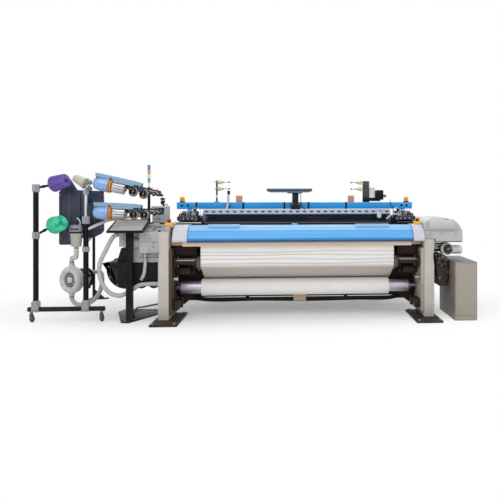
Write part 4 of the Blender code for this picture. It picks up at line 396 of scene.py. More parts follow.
# How each plain finish is made: its maker, its tone (as it shows on a screen, or the name of a
# colour above) and what else the maker takes.
FINISHES = {
    "zinc": (metal, (150, 148, 144)), "black plastic": (moulded, "black"),
    "stand black": (painted, "black", 0.42), "seam": (moulded, (96, 98, 100), 0.6),
    "dark iron": (cast, "dark"), "housing grey": (painted, "housing", 0.38),
    "clamp grey": (cast, (158, 164, 176)), "foot plate iron": (cast, (52, 41, 35)),
    "grey casting": (cast, "casting"), "black cable": (rubber, "black"),
    "tan paint": (painted, "tan", 0.5), "pale rod": (metal, (190, 186, 180)),
    "dark blue trim": (moulded, (52, 96, 142)), "stop box yellow": (moulded, (242, 186, 44), 0.35),
    "stop button red": (moulded, (190, 34, 26), 0.25),
    "polished strip": (metal, (196, 190, 184), 0.22, UP),
    "lavender grey cap": (moulded, "cap", 0.34),
    "lavender tube": (metal, (206, 200, 214), 0.36, UP),
    "steel shaft": (metal, (150, 148, 146), 0.3, UP), "roller cover": (rubber, (84, 74, 68)),
    "dark teal": (painted, (30, 46, 60), 0.45), "race board": (painted, (130, 40, 40), 0.4),
    "shed strip": (painted, (150, 92, 104), 0.4),
    "heald rail": (painted, (204, 208, 222), 0.4, 0.15), "rail slot": (painted, (84, 88, 106), 0.6),
    "dark blue rail": (painted, (40, 52, 92), 0.4, 0.3),
    "rail end guard": (moulded, (196, 150, 120)), "heald wire": (painted, (34, 50, 62), 0.45),
    "dark navy": (painted, (34, 44, 66), 0.38, 0.2), "white lead": (moulded, (222, 222, 224)),
    "pale grey hose": (moulded, "hose", 0.42), "white enamel": (painted, (228, 228, 226), 0.3),
    "blue beam": (painted, "beam", 0.36), "signal orange": (moulded, (255, 150, 26), 0.18),
    "tan box": (moulded, (216, 152, 112), 0.4), "lamp panel slate": (painted, (78, 96, 118), 0.42),
    "dark trim": (moulded, (26, 30, 38)), "lamp glass": (moulded, (236, 238, 240), 0.15),
    "lamp bracket": (painted, (38, 42, 50), 0.45),
    "cream yarn cone": (moulded, (232, 218, 186), 0.8), "white plastic": (moulded, (236, 236, 232)),
    "graphite board": (painted, (58, 56, 60), 0.45), "grey knob": (moulded, (132, 128, 126)),
    "flange aluminium": (cast, (176, 178, 182)), "steel roller": (metal, (188, 190, 194), 0.24, UP),
    "grey rail": (painted, (168, 170, 172), 0.45), "drop wire rail": (metal, (182, 184, 188), 0.3),
    "drop wire": (metal, (158, 160, 166), 0.3), "cap steel": (metal, (172, 174, 178), 0.3),
    "box grey": (painted, (186, 189, 196), 0.42), "signal green": (moulded, (60, 170, 90), 0.3),
    "bright pole": (metal, (214, 216, 218), 0.25, RIGHT),
    "tower cap": (moulded, (90, 94, 98), 0.35), "disc black": (moulded, (24, 24, 26), 0.25),
    "grip steel": (metal, (190, 190, 192), 0.25), "motor brown": (cast, (58, 44, 39)),
    "feeder blue": (painted, "feeder", 0.3, 0.1),
    "feeder roof": (painted, (132, 166, 188), 0.32, 0.1),
    "drum silver": (metal, (196, 198, 202), 0.22), "feeder bar slate": (painted, (62, 74, 92), 0.4),
    "brake ring grey": (moulded, (112, 114, 120), 0.3),
    "eyelet orange": (moulded, (244, 158, 46), 0.25),
    "winding ring orange": (moulded, "orange", 0.28), "floor plate black": (painted, (9, 9, 11)),
    "cable black": (rubber, (24, 24, 25)), "cone disc": (moulded, (196, 190, 184), 0.4),
    "tie grey": (painted, (206, 204, 200), 0.4), "slate": (painted, "slate", 0.5),
    "castor steel": (metal, (92, 92, 94), 0.4), "castor tread": (rubber, (30, 30, 32)),
    "castor hub": (moulded, (120, 122, 126), 0.4), "bin grey": (cast, (178, 173, 168)),
    "lid grey": (moulded, (138, 140, 150), 0.35), "white guide": (moulded, (232, 232, 230), 0.3),
    "blower grey": (cast, (214, 214, 214)), "fan dark": (moulded, (66, 68, 72), 0.45),
    "terminal lid": (moulded, (70, 74, 82), 0.4), "hose grey": (moulded, "hose", 0.45),
}
# Dark finishes whose mirror light is weakened, and others with their own amount of it.
DULL = ("black plastic", "stand black", "dark iron", "foot plate iron", "black cable", "dark teal",
        "heald wire", "lamp bracket", "feeder bar slate", "fan dark")
SHINES = {"blue beam": 0.3, "floor plate black": 0.08}


def finish(name):
    """The material of a name in the table, made when it is first asked for."""
    if name in MADE:
        return MADE[name]
    make, tone, *rest = FINISHES[name]
    tone = getattr(colours(), tone) if isinstance(tone, str) else screen(*tone)
    material = make(name, tone, *rest)
    if name in DULL:
        dull(material)
    elif name in SHINES:
        dull(material, SHINES[name])
    return material


# Shapes

class Shape:
    """A mesh under way, built from closed shapes with a finish each, in loom coordinates."""

    def __init__(self, first):
        self.mesh = bmesh.new()
        self.materials = []
        self.use(first)

    def use(self, material):
        """Shapes added after this take another finish, given by name or as a material."""
        if isinstance(material, str):
            material = finish(material)
        if material not in self.materials:
            self.materials.append(material)
        self.index = self.materials.index(material)
        return self

    def take(self, part):
        """Add a part, with its doubled points merged and its faces turned outwards."""
        bmesh.ops.remove_doubles(part, verts=part.verts[:], dist=0.00001)
        bmesh.ops.recalc_face_normals(part, faces=part.faces[:])
        for face in part.faces:
            face.material_index = self.index
        carrier = bpy.data.meshes.new("part")
        part.to_mesh(carrier)
        part.free()
        self.mesh.from_mesh(carrier)
        bpy.data.meshes.remove(carrier)
        return self

    def box(self, x, y, z, edge=0.003, segments=2):
        """A block between limits with rounded edges."""
        part = bmesh.new()
        bmesh.ops.create_cube(part, size=1.0)
        size = (x[1] - x[0], y[1] - y[0], z[1] - z[0])
        bmesh.ops.scale(part, vec=size, verts=part.verts[:])
        middle = [(low + high) / 2 for low, high in (x, y, z)]
        bmesh.ops.translate(part, vec=middle, verts=part.verts[:])
        return self.soften(part, edge, segments)

    def slab(self, middle, size, turn, edge=0.003, segments=2):
        """A block of a given size about a point, turned by a rotation."""
        part = bmesh.new()
        bmesh.ops.create_cube(part, size=1.0)
        bmesh.ops.scale(part, vec=size, verts=part.verts[:])
        bmesh.ops.rotate(part, cent=(0, 0, 0), matrix=turn, verts=part.verts[:])
        bmesh.ops.translate(part, vec=middle, verts=part.verts[:])
        return self.soften(part, edge, segments)

    def soften(self, part, edge, segments=2):
        """Round a part's sharp edges and add it."""
        if edge:
            sharp = [line for line in part.edges if line.calc_face_angle(0.0) > radians(35)]
            bmesh.ops.bevel(
                part, geom=sharp, offset=edge, segments=segments, profile=0.5,
                affect='EDGES', material=-1)
        return self.take(part)

    def prism(self, outline, axis, low, high, edge=0.003, segments=2):
        """An outline drawn out along X (points y, z), Y (x, z) or Z (x, y)."""
        part = bmesh.new()
        order = {"X": (2, 0, 1), "Y": (0, 2, 1), "Z": (0, 1, 2)}[axis]
        corners = []
        for first, second in outline:
            values = (first, second, low)
            corners.append(part.verts.new([values[i] for i in order]))
        face = part.faces.new(corners)
        grown = bmesh.ops.extrude_face_region(part, geom=[face])["geom"]
        moved = [item for item in grown if isinstance(item, bmesh.types.BMVert)]
        reach = high - low
        way = {"X": (reach, 0, 0), "Y": (0, reach, 0), "Z": (0, 0, reach)}[axis]
        bmesh.ops.translate(part, vec=way, verts=moved)
        return self.soften(part, edge, segments)

    def lathe(self, profile, at, way=UP, sides=32):
        """Spin (along, radius) pairs about an axis through a point."""
        part = bmesh.new()
        line = [part.verts.new((radius, 0.0, along)) for along, radius in profile]
        edges = [part.edges.new(pair) for pair in zip(line, line[1:])]
        bmesh.ops.spin(
            part, geom=line + edges, axis=UP, cent=(0, 0, 0), angle=2 * pi, steps=sides,
            use_merge=True)
        turn = Vector(way).to_track_quat('Z', 'Y').to_matrix()
        bmesh.ops.rotate(part, cent=(0, 0, 0), matrix=turn, verts=part.verts[:])
        bmesh.ops.translate(part, vec=at, verts=part.verts[:])
        return self.take(part)

    def rod(self, start, end, radius, sides=20, edge=0.0012):
        """A round bar with chamfered ends."""
        way = Vector(end) - Vector(start)
        run = way.length
        edge = min(edge, run / 4, radius / 3)
        profile = [(0, 0), (0, radius - edge), (edge, radius), (run - edge, radius),
                   (run, radius - edge), (run, 0)]
        return self.lathe(profile, start, way, sides)

    def bar(self, x, at, *size):
        """A rod along X between limits."""
        return self.rod((x[0], *at), (x[1], *at), *size)

    def post(self, at, z, *size):
        """An upright rod between limits."""
        return self.rod((*at, z[0]), (*at, z[1]), *size)

    def bolts(self, places, way, size=None):
        """A hexagon head on a washer at each place, facing the way given."""
        size = size or sizes().bolt
        for place in places:
            foot = Vector(place) - Vector(way).normalized() * 0.0005
            self.rod(foot, foot + Vector(way).normalized() * 0.12 * size, 0.68 * size, 16)
            self.rod(foot, foot + Vector(way).normalized() * 0.55 * size, 0.5 * size, 6)
        return self

    def path(self, route, radius, sides=4, rib=0.0, smooth=True):
        """A round cable or hose along a route, with ribs where rib is their pitch."""
        curve = bpy.data.curves.new("route", 'CURVE')
        curve.dimensions = '3D'
        curve.bevel_depth = radius
        curve.bevel_resolution = sides
        curve.use_fill_caps = True
        points = smooth_route(route, rib / 4 if rib else 2.0 * radius) if smooth else route
        line = curve.splines.new('POLY')
        line.points.add(len(points) - 1)
        for i, (place, point) in enumerate(zip(points, line.points)):
            point.co = (*place, 1.0)
            if rib:
                point.radius = (1.0, 1.0, 0.90, 0.90)[i % 4]
        holder = bpy.data.objects.new("route", curve)
        drawn = bpy.data.meshes.new_from_object(holder)
        part = bmesh.new()
        part.from_mesh(drawn)
        bpy.data.objects.remove(holder)
        bpy.data.curves.remove(curve)
        bpy.data.meshes.remove(drawn)
        return self.take(part)

    def piece(self, name, slot, *nodes, body="loom"):
        """Turn the shape into an object that rides on a body and stands for some nodes."""
        mesh = bpy.data.meshes.new(name)
        bmesh.ops.translate(self.mesh, vec=SHIFT, verts=self.mesh.verts[:])
        self.mesh.to_mesh(mesh)
        self.mesh.free()
        for material in self.materials:
            mesh.materials.append(material)
        mesh.shade_smooth()
        mesh.set_sharp_from_angle(angle=radians(32))
        made = bpy.data.objects.new(name, mesh)
        bpy.context.scene.collection.objects.link(made)
        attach(made, body)
        if nodes:
            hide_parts(*nodes)
        return made


def smooth_route(route, step):
    """Points along a smooth curve through the route, about one step apart."""
    points = [Vector(point) for point in route]
    padded = [2 * points[0] - points[1]] + points + [2 * points[-1] - points[-2]]
    out = []
    for i in range(1, len(padded) - 2):
        before, start, end, after = padded[i - 1:i + 3]
        count = max(1, round((end - start).length / step))
        for k in range(count):
            t = k / count
            out.append(0.5 * (
                2 * start + (end - before) * t
                + (2 * before - 5 * start + 4 * end - after) * t * t
                + (3 * start - before - 3 * end + after) * t ** 3))
    out.append(points[-1])
    return out


def arc(middle, radius, start, end, steps):
    """Points on a circle, angles in degrees."""
    turns = [radians(start + (end - start) * i / steps) for i in range(steps + 1)]
    return [(middle[0] + radius * cos(t), middle[1] + radius * sin(t)) for t in turns]


def plug(low, high, radius):
    """Outline of a plain disc for the lathe."""
    return [(low, 0), (low, radius), (high, radius), (high, 0)]


def washer(low, high, inner, outer):
    """Outline of a plain ring for the lathe."""
    return [(low, inner), (low, outer), (high, outer), (high, inner), (low, inner)]


def dress(node, material):
    """Give a carried-over node its finish."""
    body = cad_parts[node]
    body.data.materials.clear()
    body.data.materials.append(finish(material) if isinstance(material, str) else material)


class LoomStep:
    """What the operators of this panel share."""

    bl_options = {'REGISTER', 'UNDO'}

    @classmethod
    def poll(cls, context):
        return context.scene is not None


# Stage

SEEN_RAYS = ("Is Camera Ray", "Is Glossy Ray", "Is Transmission Ray")


def studio_floor(context):
    bpy.ops.mesh.primitive_plane_add(size=60)
    ground = context.object
    ground.name = "studio_floor"
    look = Look("studio floor")
    near = look.node("ShaderNodeMapping", {}, {
        "Vector": look.place, "Location": (0.21, -0.9, 0), "Scale": (0.5, 1, 1)})
    far = look.node("ShaderNodeVectorMath", {"operation": 'LENGTH'}, {0: near}, 1)
    shown = look.node("ShaderNodeLightPath", {}, {}, SEEN_RAYS[0])
    for ray in SEEN_RAYS[1:]:
        shown = shown.maths("MAXIMUM", look.node("ShaderNodeLightPath", {}, {}, ray))
    glow = look.node("ShaderNodeEmission", {}, {"Color": (1, 1, 1, 1), "Strength": 1})
    clear = (far.above(1.25, 0.5) * 0.72 + 0.28) * shown
    look.finish((0.93, 0.93, 0.93), 0.85)
    base = Reading(look, look.shader.outputs[0])
    blended = look.node("ShaderNodeMixShader", {}, {0: clear, 1: base, 2: glow})
    out = look.tree.nodes["Material Output"]
    look.tree.links.new(blended.socket, out.inputs["Surface"])
    ground.data.materials.append(look.material)
    ground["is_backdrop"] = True


def studio_lamps(context):
    scene = context.scene
    scene.view_settings.view_transform = 'Standard'
    scene.world = bpy.data.worlds.new("studio")
    scene.world.use_nodes = True
    tree = scene.world.node_tree
    path = tree.nodes.new("ShaderNodeLightPath")
    seen = path.outputs[SEEN_RAYS[0]]
    for ray in SEEN_RAYS[1:]:
        either = tree.nodes.new("ShaderNodeMath")
        either.operation = 'MAXIMUM'
        tree.links.new(seen, either.inputs[0])
        tree.links.new(path.outputs[ray], either.inputs[1])
        seen = either.outputs[0]
    strength = tree.nodes.new("ShaderNodeMapRange")
    strength.inputs["To Min"].default_value = 0.5
    strength.inputs["To Max"].default_value = 1
    tree.links.new(seen, strength.inputs["Value"])
    background = tree.nodes["Background"]
    background.inputs["Color"].default_value = (1, 1, 1, 1)
    tree.links.new(strength.outputs[0], background.inputs["Strength"])
    places = (
        ("key", (-2.6, -4.6, 4.6), 3.4, 110), ("fill", (4.2, -3.6, 3.2), 3.4, 52),
        ("top", (0, 0.9, 5.2), 4.5, 84), ("rear", (0.5, 6.5, 3.6), 4, 90))
    for name, place, size, power in places:
        lamp = bpy.data.lights.new(name, 'AREA')
        lamp.size = size
        lamp.energy = power
        holder = bpy.data.objects.new(name, lamp)
        holder.location = Vector(place) + SHIFT
        aim = Vector((0, 0.8, 0.6)) + SHIFT - holder.location
        holder.rotation_euler = aim.to_track_quat('-Z', 'Y').to_euler()
        scene.collection.objects.link(holder)


def studio_camera(context):
    eye = bpy.data.cameras.new("camera")
    eye.sensor_width = 36
    eye.lens = 46.08
    eye.shift_x = -0.176
    eye.shift_y = -0.114
    holder = bpy.data.objects.new("camera", eye)
    holder.location = Vector((-0.082, -6.2, 1.24)) + SHIFT
    holder.rotation_euler = (pi / 2, 0, radians(-4.3))
    context.scene.collection.objects.link(holder)
    context.scene.camera = holder


class LOOM_OT_stage(LoomStep, bpy.types.Operator):
    """Pale floor, soft lamps and the camera at the photograph's angle"""

    bl_idname = "loom.stage"
    bl_label = "Stage"

    def execute(self, context):
        studio_floor(context)
        studio_lamps(context)
        studio_camera(context)
        return {'FINISHED'}


# Frame

COLUMN_X = 1.285
COLUMN_HALF = 0.05
COLUMN_DEPTH = 0.13
INNER = 1.235
OUTER = 1.335
WALL = 1.2345  # inner faces of the side frames, less a hair
LID_TOP = 0.9303  # what stands on the left housing starts here
FRAME_TOP = 0.9003  # what lies over the side frames starts here
LID_EDGE = 1.2393  # and reaches inwards to here


def column(side, word, casting):
    top = loom_box(word + "_front_column")[1].z
    half = COLUMN_HALF
    rise = ((0.012, 0.94), (0.36, 1), (0.68, 1), (0.74, 0.86), (0.78, 0.8), (0.83, 0.86), (0.9, 1),
            (1, 1))
    outline = [(side * (COLUMN_X - half), 0.012), (side * (COLUMN_X + half * 0.94), 0.012)]
    outline += [(side * (COLUMN_X + half * wide), share * top) for share, wide in rise[1:]]
    outline.append((side * (COLUMN_X - half), top))
    shape = Shape(casting)
    shape.prism(outline, "Y", 0, COLUMN_DEPTH, 0.009, 3)
    rim = (side * COLUMN_X - 0.036, side * COLUMN_X + 0.036)
    shape.box(rim, (-0.0015, 0.01), (0.34 * top, 0.66 * top), 0.0035)
    shape.use("foot plate iron")
    plate = limits(side, COLUMN_X - 0.16, COLUMN_X + 0.095)
    shape.box(plate, (-0.19, 0.45), (0, 0.02), 0.0035)
    shape.box((side * COLUMN_X - 0.062, side * COLUMN_X + 0.062), (-0.012, 0.142), (0.018, 0.028),
              0.004)
    shape.use("zinc").bolts([(side * (COLUMN_X - 0.13), y, 0.02) for y in (-0.15, 0.4)], UP, 0.026)
    shape.bolts([(side * (COLUMN_X + 0.07), y, 0.02) for y in (-0.15, 0.4)], UP, 0.026)
    shape.piece(word + "_column", "cast_grey", word + "_front_column")


def side_frame(side, word):
    def make(look):
        base, patches = worn(look, screen(178, 180, 182), 0.2, 3.5)
        reach = look.x * side
        guide = look.y.between(0.5, 0.706) * look.z.above(0.615) * (1 - reach.above(INNER))
        post = (1 - reach.above(1.19)) * look.y.above(0.78) * look.z.above(0.79)
        base = look.mix(guide, base, screen(44, 52, 62))
        # Painted shade: the inner faces in front of the sley are mixed towards dark brown, standing
        # in for the shade between the columns and the cloth.
        inner_face_shade = (1 - reach.above(INNER + 0.002)) * (1 - look.y.above(0.5))
        base = look.mix(inner_face_shade * 0.8, base, screen(92, 82, 74))
        base = look.mix(post, base, colours().beam)
        skin = look.noise(150, 3) * 0.6 + look.noise(28, 2) * 0.7
        return look.finish(base, patches * 0.2 + 0.42, 0, skin, 0.0009)
    dress(word + "_side_frame", finish_of(word + " side casting", make))
    shape = Shape("grey casting")
    out = side * OUTER
    for y, z, radius in ((1.35, 0.5, 0.085), (1.5, 0.95, 0.062)):
        bearing = [(-0.004, 0), (-0.004, radius), (0.012, radius - 0.003), (0.016, radius * 0.62),
                   (0.03, radius * 0.58), (0.034, 0)]
        shape.lathe(bearing, (out, y, z), (side, 0, 0), 36)
    rib = limits(side, OUTER - 0.002, OUTER + 0.01)
    shape.box(rib, (0.5, 1.34), (0.165, 0.2), 0.004)
    shape.box(rib, (0.62, 1.36), (0.8, 0.835), 0.004)
    shape.box(rib, (0.86, 0.92), (0.19, 0.82), 0.004)
    shape.use("zinc")
    for y, z, radius in ((1.35, 0.5, 0.068), (1.5, 0.95, 0.046)):
        spots = [(out + side * 0.012, y + radius * cos(turn), z + radius * sin(turn))
                 for turn in (pi / 4 + i * pi / 2 for i in range(4))]
        shape.bolts(spots, (side, 0, 0), 0.014)
    shape.bolts([(out, y, 0.86) for y in (0.8, 0.9)], (side, 0, 0))
    shape.bolts([(out, y, 0.24) for y in (0.54, 0.9)], (side, 0, 0))
    shape.piece(word + "_frame_fittings", "cast_grey")


def low_fittings(dark):
    shape = Shape("black cable")
    for y, sag, radius in ((0.462, 0.058, 0.01), (0.47, 0.04, 0.008), (0.485, 0.07, 0.007)):
        route = [(-1.22, y, 0.215), (-0.95, y, 0.2 - sag), (-0.4, y, 0.185 - sag * 0.8),
                 (0.1, y, 0.19 - sag), (0.62, y, 0.182 - sag * 0.8), (0.98, y, 0.2 - sag),
                 (1.22, y, 0.22)]
        shape.path(route, radius, 3)
    shape.piece("low_cables", "cable_black")
    shape = Shape("tan paint")
    shape.box((-0.045, 0.085), (0.44, 0.452), (0.125, 0.205), 0.004)
    shape.use(dark).bar((-WALL, WALL), (0.475, 0.15), 0.014)
    for x in (-1.02, -0.52, 0.5, 1.02):
        shape.box(about(x, 0.018), (0.49, 0.502), (0.13, 0.245))
    shape.use("pale rod")
    for side in SIDES:
        shape.bar((side, side * 1.233), (0.09, 0.585), 0.005)
        shape.bar((side * 1.16, side * 1.233), (0.1, 0.405), 0.02)
    shape.piece("low_fittings", "dark_metal")


class LOOM_OT_frame(LoomStep, bpy.types.Operator):
    """Columns on their foot plates, side frames and cross beams"""

    bl_idname = "loom.frame"
    bl_label = "Frame"

    def execute(self, context):
        casting = "grey casting"
        for side, word in ((-1, "left"), (1, "right")):
            column(side, word, casting)
            side_frame(side, word)
        dark = "dark iron"
        dress("lower_cross_beam", dark)
        dress("rear_cross_beam", casting)
        low_fittings(dark)
        return {'FINISHED'}


# Cover, breast beam and stop boxes

BREAST_TOP = 0.769
COVER_TOP = 0.92
COVER_FRONT = -0.025
COVER_BACK = 0.32
SEAM_Z = COVER_TOP - 0.046


def cover_section(spread):
    """The front cover's section in Y and Z, grown outwards."""
    low = BREAST_TOP + GAP
    front = COVER_FRONT - spread
    top = COVER_TOP + spread
    section = [(COVER_BACK, low), (front + 0.016, low), (front + 0.004, low + 0.004),
               (front, low + 0.014), (front + 0.004, low + 0.035), (front + 0.0555, top - 0.0455),
               (front + 0.061, top - 0.0445), (front + 0.0615, top - 0.041),
               (front + 0.063, top - 0.037)]
    section += arc((front + 0.145, top - 0.055), 0.055, 152, 90, 10)
    section += [(COVER_BACK - 0.03, top), (COVER_BACK - 0.008, top - 0.008)]
    section.append((COVER_BACK, top - 0.03))
    return section


def cover_shell():
    low, high = loom_box("front_cover")

    def make(look):
        tones = colours()
        patches = look.noise(1.6, 3)
        base = look.mix(look.z.above(0.8055), tones.cover_edge, tones.cover)
        base = look.mix(look.z.above(SEAM_Z + 0.001), base, tones.cover_top)
        base = look.mix(1 - look.z.above(0.786), base, screen(34, 84, 132))
        seam = look.z.between(SEAM_Z - 0.0015, SEAM_Z + 0.0015)
        base = look.mix(seam * 0.8, base, screen(30, 92, 150))
        base = look.mix(patches.above(0.55, 0.2) * 0.08, base, screen(60, 130, 200))
        skin = look.noise(380, 1)
        return look.finish(base, patches * 0.12 + 0.26, 0, skin, 0.0002)
    face = dull(finish_of("blue cover", make), 0.3)
    shape = Shape(face)
    shape.prism(cover_section(0), "X", low.x, high.x, 0.0012)
    for near, far in ((-0.874, -0.572), (0.564, 0.896)):
        grip = [(0.072, COVER_TOP - 0.012), (0.078, COVER_TOP + 0.004), (0.09, COVER_TOP + 0.0135),
                (0.15, COVER_TOP + 0.0135), (0.166, COVER_TOP + 0.004), (0.172, COVER_TOP - 0.012)]
        shape.prism(grip, "X", near, far)
        shape.use("dark blue trim")
        shape.box((near + 0.02, far - 0.02), (0.082, 0.0905),
                  (COVER_TOP + 0.001, COVER_TOP + 0.009), 0.0015)
        shape.use(face)
    shape.box((-0.065, -0.005), (0.14, 0.18), (COVER_TOP - 0.005, COVER_TOP + 0.0175), 0.004)
    shape.use("dark blue trim")
    for x in (low.x + 0.0002, high.x - 0.0052):
        shape.prism(cover_section(0.0012), "X", x, x + 0.005, 0, 1)
    for x in (-0.72, 0, 0.73):
        shape.box(about(x, 0.05), (COVER_BACK - 0.002, COVER_BACK + 0.008),
                  (COVER_TOP - 0.075, COVER_TOP - 0.035), 0.002)
    shape.piece("front_cover_shell", "cover_blue", "front_cover")


def stop_box(word):
    low, high = loom_box(word + "_stop_box")
    x = (low.x + high.x) / 2
    y = (low.y + high.y) / 2
    top = high.z - 0.035
    shape = Shape("stop box yellow")
    shape.box(about(x, 0.038), about(y, 0.038), (top - 0.03, top), 0.005, 3)
    shape.use("stop button red")
    button = [(0.008, 0), (0.008, 0.0135), (0.012, 0.014), (0.015, 0.02), (0.022, 0.0222),
              (0.028, 0.0205), (0.0325, 0.0155), (0.0348, 0.008), (0.035, 0)]
    shape.lathe(button, (x, y, top))
    shape.use("black plastic")
    shape.lathe([(-0.002, 0), (-0.002, 0.019), (0.004, 0.019), (0.006, 0.0145), (0.012, 0.0145),
                 (0.012, 0)], (x, y, top), UP, 28)
    if word == "left":
        shape.use("grey casting").box((x - 0.03, x + 0.006), about(y, 0.02), (low.z, top - 0.028))
        shape.bolts([(x - 0.012, y - 0.02, low.z + 0.03)], FRONT, 0.01)
    shape.piece(word + "_stop_switch", "stop_yellow", word + "_stop_box")


def breast_beam():
    low, high = loom_box("breast_beam")
    shape = Shape("tan paint")
    shape.box((-1.11, 1.11), (low.y, 0.145), (low.z, high.z), 0.006, 3)
    shape.box((low.x, high.x), (0.14, high.y), (low.z, high.z), 0.004)
    shape.use("polished strip")
    shape.box((-0.98, 0.98), (low.y - 0.0015, low.y + 0.01), (low.z + 0.008, low.z + 0.018), 0.001)
    shape.piece("breast_beam_strip", "tan_paint", "breast_beam")


class LOOM_OT_cover(LoomStep, bpy.types.Operator):
    """Front cover with its strips and handles, end caps, breast beam and stop boxes"""

    bl_idname = "loom.cover"
    bl_label = "Front cover"

    def execute(self, context):
        cover_shell()
        for word in ("left", "right"):
            low, high = loom_box(word + "_cover_cap")
            shape = Shape("lavender grey cap")
            shape.prism(cover_section(0.006), "X", low.x, high.x, 0.004)
            shape.use("zinc")
            middle = (low.x + high.x) / 2
            shape.bolts([(middle, 0.16, COVER_TOP + 0.006), (middle, 0.28, COVER_TOP + 0.006)], UP,
                        0.012)
            shape.piece(word + "_cap", "cap_grey", word + "_cover_cap")
            stop_box(word)
        breast_beam()
        return {'FINISHED'}


# Cloth

ROLLER = (0.1099, 0.56)
ROLL = (0.3, 0.297)
WEB_HALF = 0.94
WEB_TOP = 0.7267
PLEAT_HEIGHTS = (0.684, 0.65, 0.611, 0.572)


def web_route():
    """Middle line of the cloth from the breast beam to the top of the cloth roll."""
    reach = 0.0624
    turn = 244.4
    clear = 0.0925
    route = [(ROLLER[0] - reach, WEB_TOP - i * (WEB_TOP - ROLLER[1]) / 40) for i in range(40)]
    route += arc(ROLLER, reach, 180, turn, 14)
    foot = (ROLL[0] + clear * cos(radians(turn + 180)), ROLL[1] + clear * sin(radians(turn + 180)))
    last = route[-1]
    route += [(last[0] + (foot[0] - last[0]) * i / 24, last[1] + (foot[1] - last[1]) * i / 24)
              for i in range(1, 25)]
    return route


def cloth_along(name, route, half, columns, finish, slot, fold=None):
    """A sheet that follows a route in Y and Z, straight across the loom, with its flat size."""
    rows = len(route) - 1
    sheet = bmesh.new()
    bmesh.ops.create_grid(sheet, x_segments=columns, y_segments=rows, size=0.5)
    flat = sheet.loops.layers.uv.new("cloth")
    runs = [0]
    for before, after in zip(route, route[1:]):
        runs.append(runs[-1] + (Vector(after) - Vector(before)).length)
    places = {}
    for point in sheet.verts:
        row = round((0.5 - point.co.y) * rows)
        y, z = route[row]
        x = point.co.x * 2 * half
        places[point.index] = (x, runs[row])
        point.co = Vector((x, y - (fold(x, z) if fold else 0), z))
    for face in sheet.faces:
        for loop in face.loops:
            loop[flat].uv = places[loop.vert.index]
    bmesh.ops.recalc_face_normals(sheet, faces=sheet.faces[:])
    area = sum(face.calc_area() for face in sheet.faces)
    shape = Shape(finish)
    shape.mesh.free()
    shape.mesh = sheet
    made = shape.piece(name, slot)
    made.data.set_sharp_from_angle(angle=pi)
    wall = made.modifiers.new("thickness", 'SOLIDIFY')
    wall.thickness = 0.0012
    wall.offset = 0
    area / (2 * half)
    return made


def cloth_web():
    def fold(x, z):
        """How far the cloth stands forward at a place on its drop."""
        if z < 0.555:
            return 0
        out = 0
        for i, height in enumerate(PLEAT_HEIGHTS):
            line = height + 0.004 * sin(2.1 * x + 1.7 * i) + 0.003 * sin(5.3 * x + i)
            gap = z - line
            out += max(0, 1 - abs(gap) / 0.0125) ** 0.7 * (1 if gap > 0 else 0.75)
        ripple = 0.0008 * sin(9 * x + 3 * z) + 0.0006 * sin(23 * x - 7 * z)
        return sizes().pleat * out + abs(ripple)
    cloth = woven("white cloth", colours().cloth)
    web = cloth_along("woven_cloth", web_route(), WEB_HALF, 96, pleated(), "cloth_white", fold)
    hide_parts("cloth_web")
    fell = [(0.4966, 0.887), (0.475, 0.875), (0.455, 0.862), (0.4, 0.8195), (0.34, 0.773),
            (0.326, 0.762), (0.312, 0.748), (0.306, 0.735), (0.303, 0.727), (0.297, 0.7235),
            (0.28, 0.7235)]
    fell += [(0.28 - 0.038 * i, 0.7235) for i in range(1, 7)]
    cloth_along("fell_cloth", fell, WEB_HALF, 32, cloth, "cloth_white")


def pleated():
    """The cloth's colour on its drop, with painted shade under each fold and where it slants back.
    """
    def make(look):
        tone = colours().cloth
        shade = 0
        # Painted shadow: a darker band just under each fold line.
        for i, height in enumerate(PLEAT_HEIGHTS):
            swing = (look.x * 2.1 + 1.7 * i).maths("SINE") * 0.004
            swing = swing + (look.x * 5.3 + i).maths("SINE") * 0.003
            drop = look.z - swing
            shade = drop.between(height - 0.0185, height - 0.0115, 0.004) + shade
        base = look.mix(shade * 0.75, tone, screen(176, 174, 172))
        # Painted shade: warm grey where the cloth slants back below the folds and faces down.
        base = look.mix((1 - look.z.above(0.535, 0.025)) * 0.9, base, screen(196, 187, 177))
        soiled = look.noise(3, 4, (1, 1, 3)).above(0.55, 0.2)
        base = look.mix(soiled * 0.06, base, screen(190, 186, 180))
        threads = look.x.wave(sizes().weave) + look.z.wave(sizes().weave)
        return look.finish(base, 0.88, 0, threads, 0.0003)
    return finish_of("pleated cloth", make)


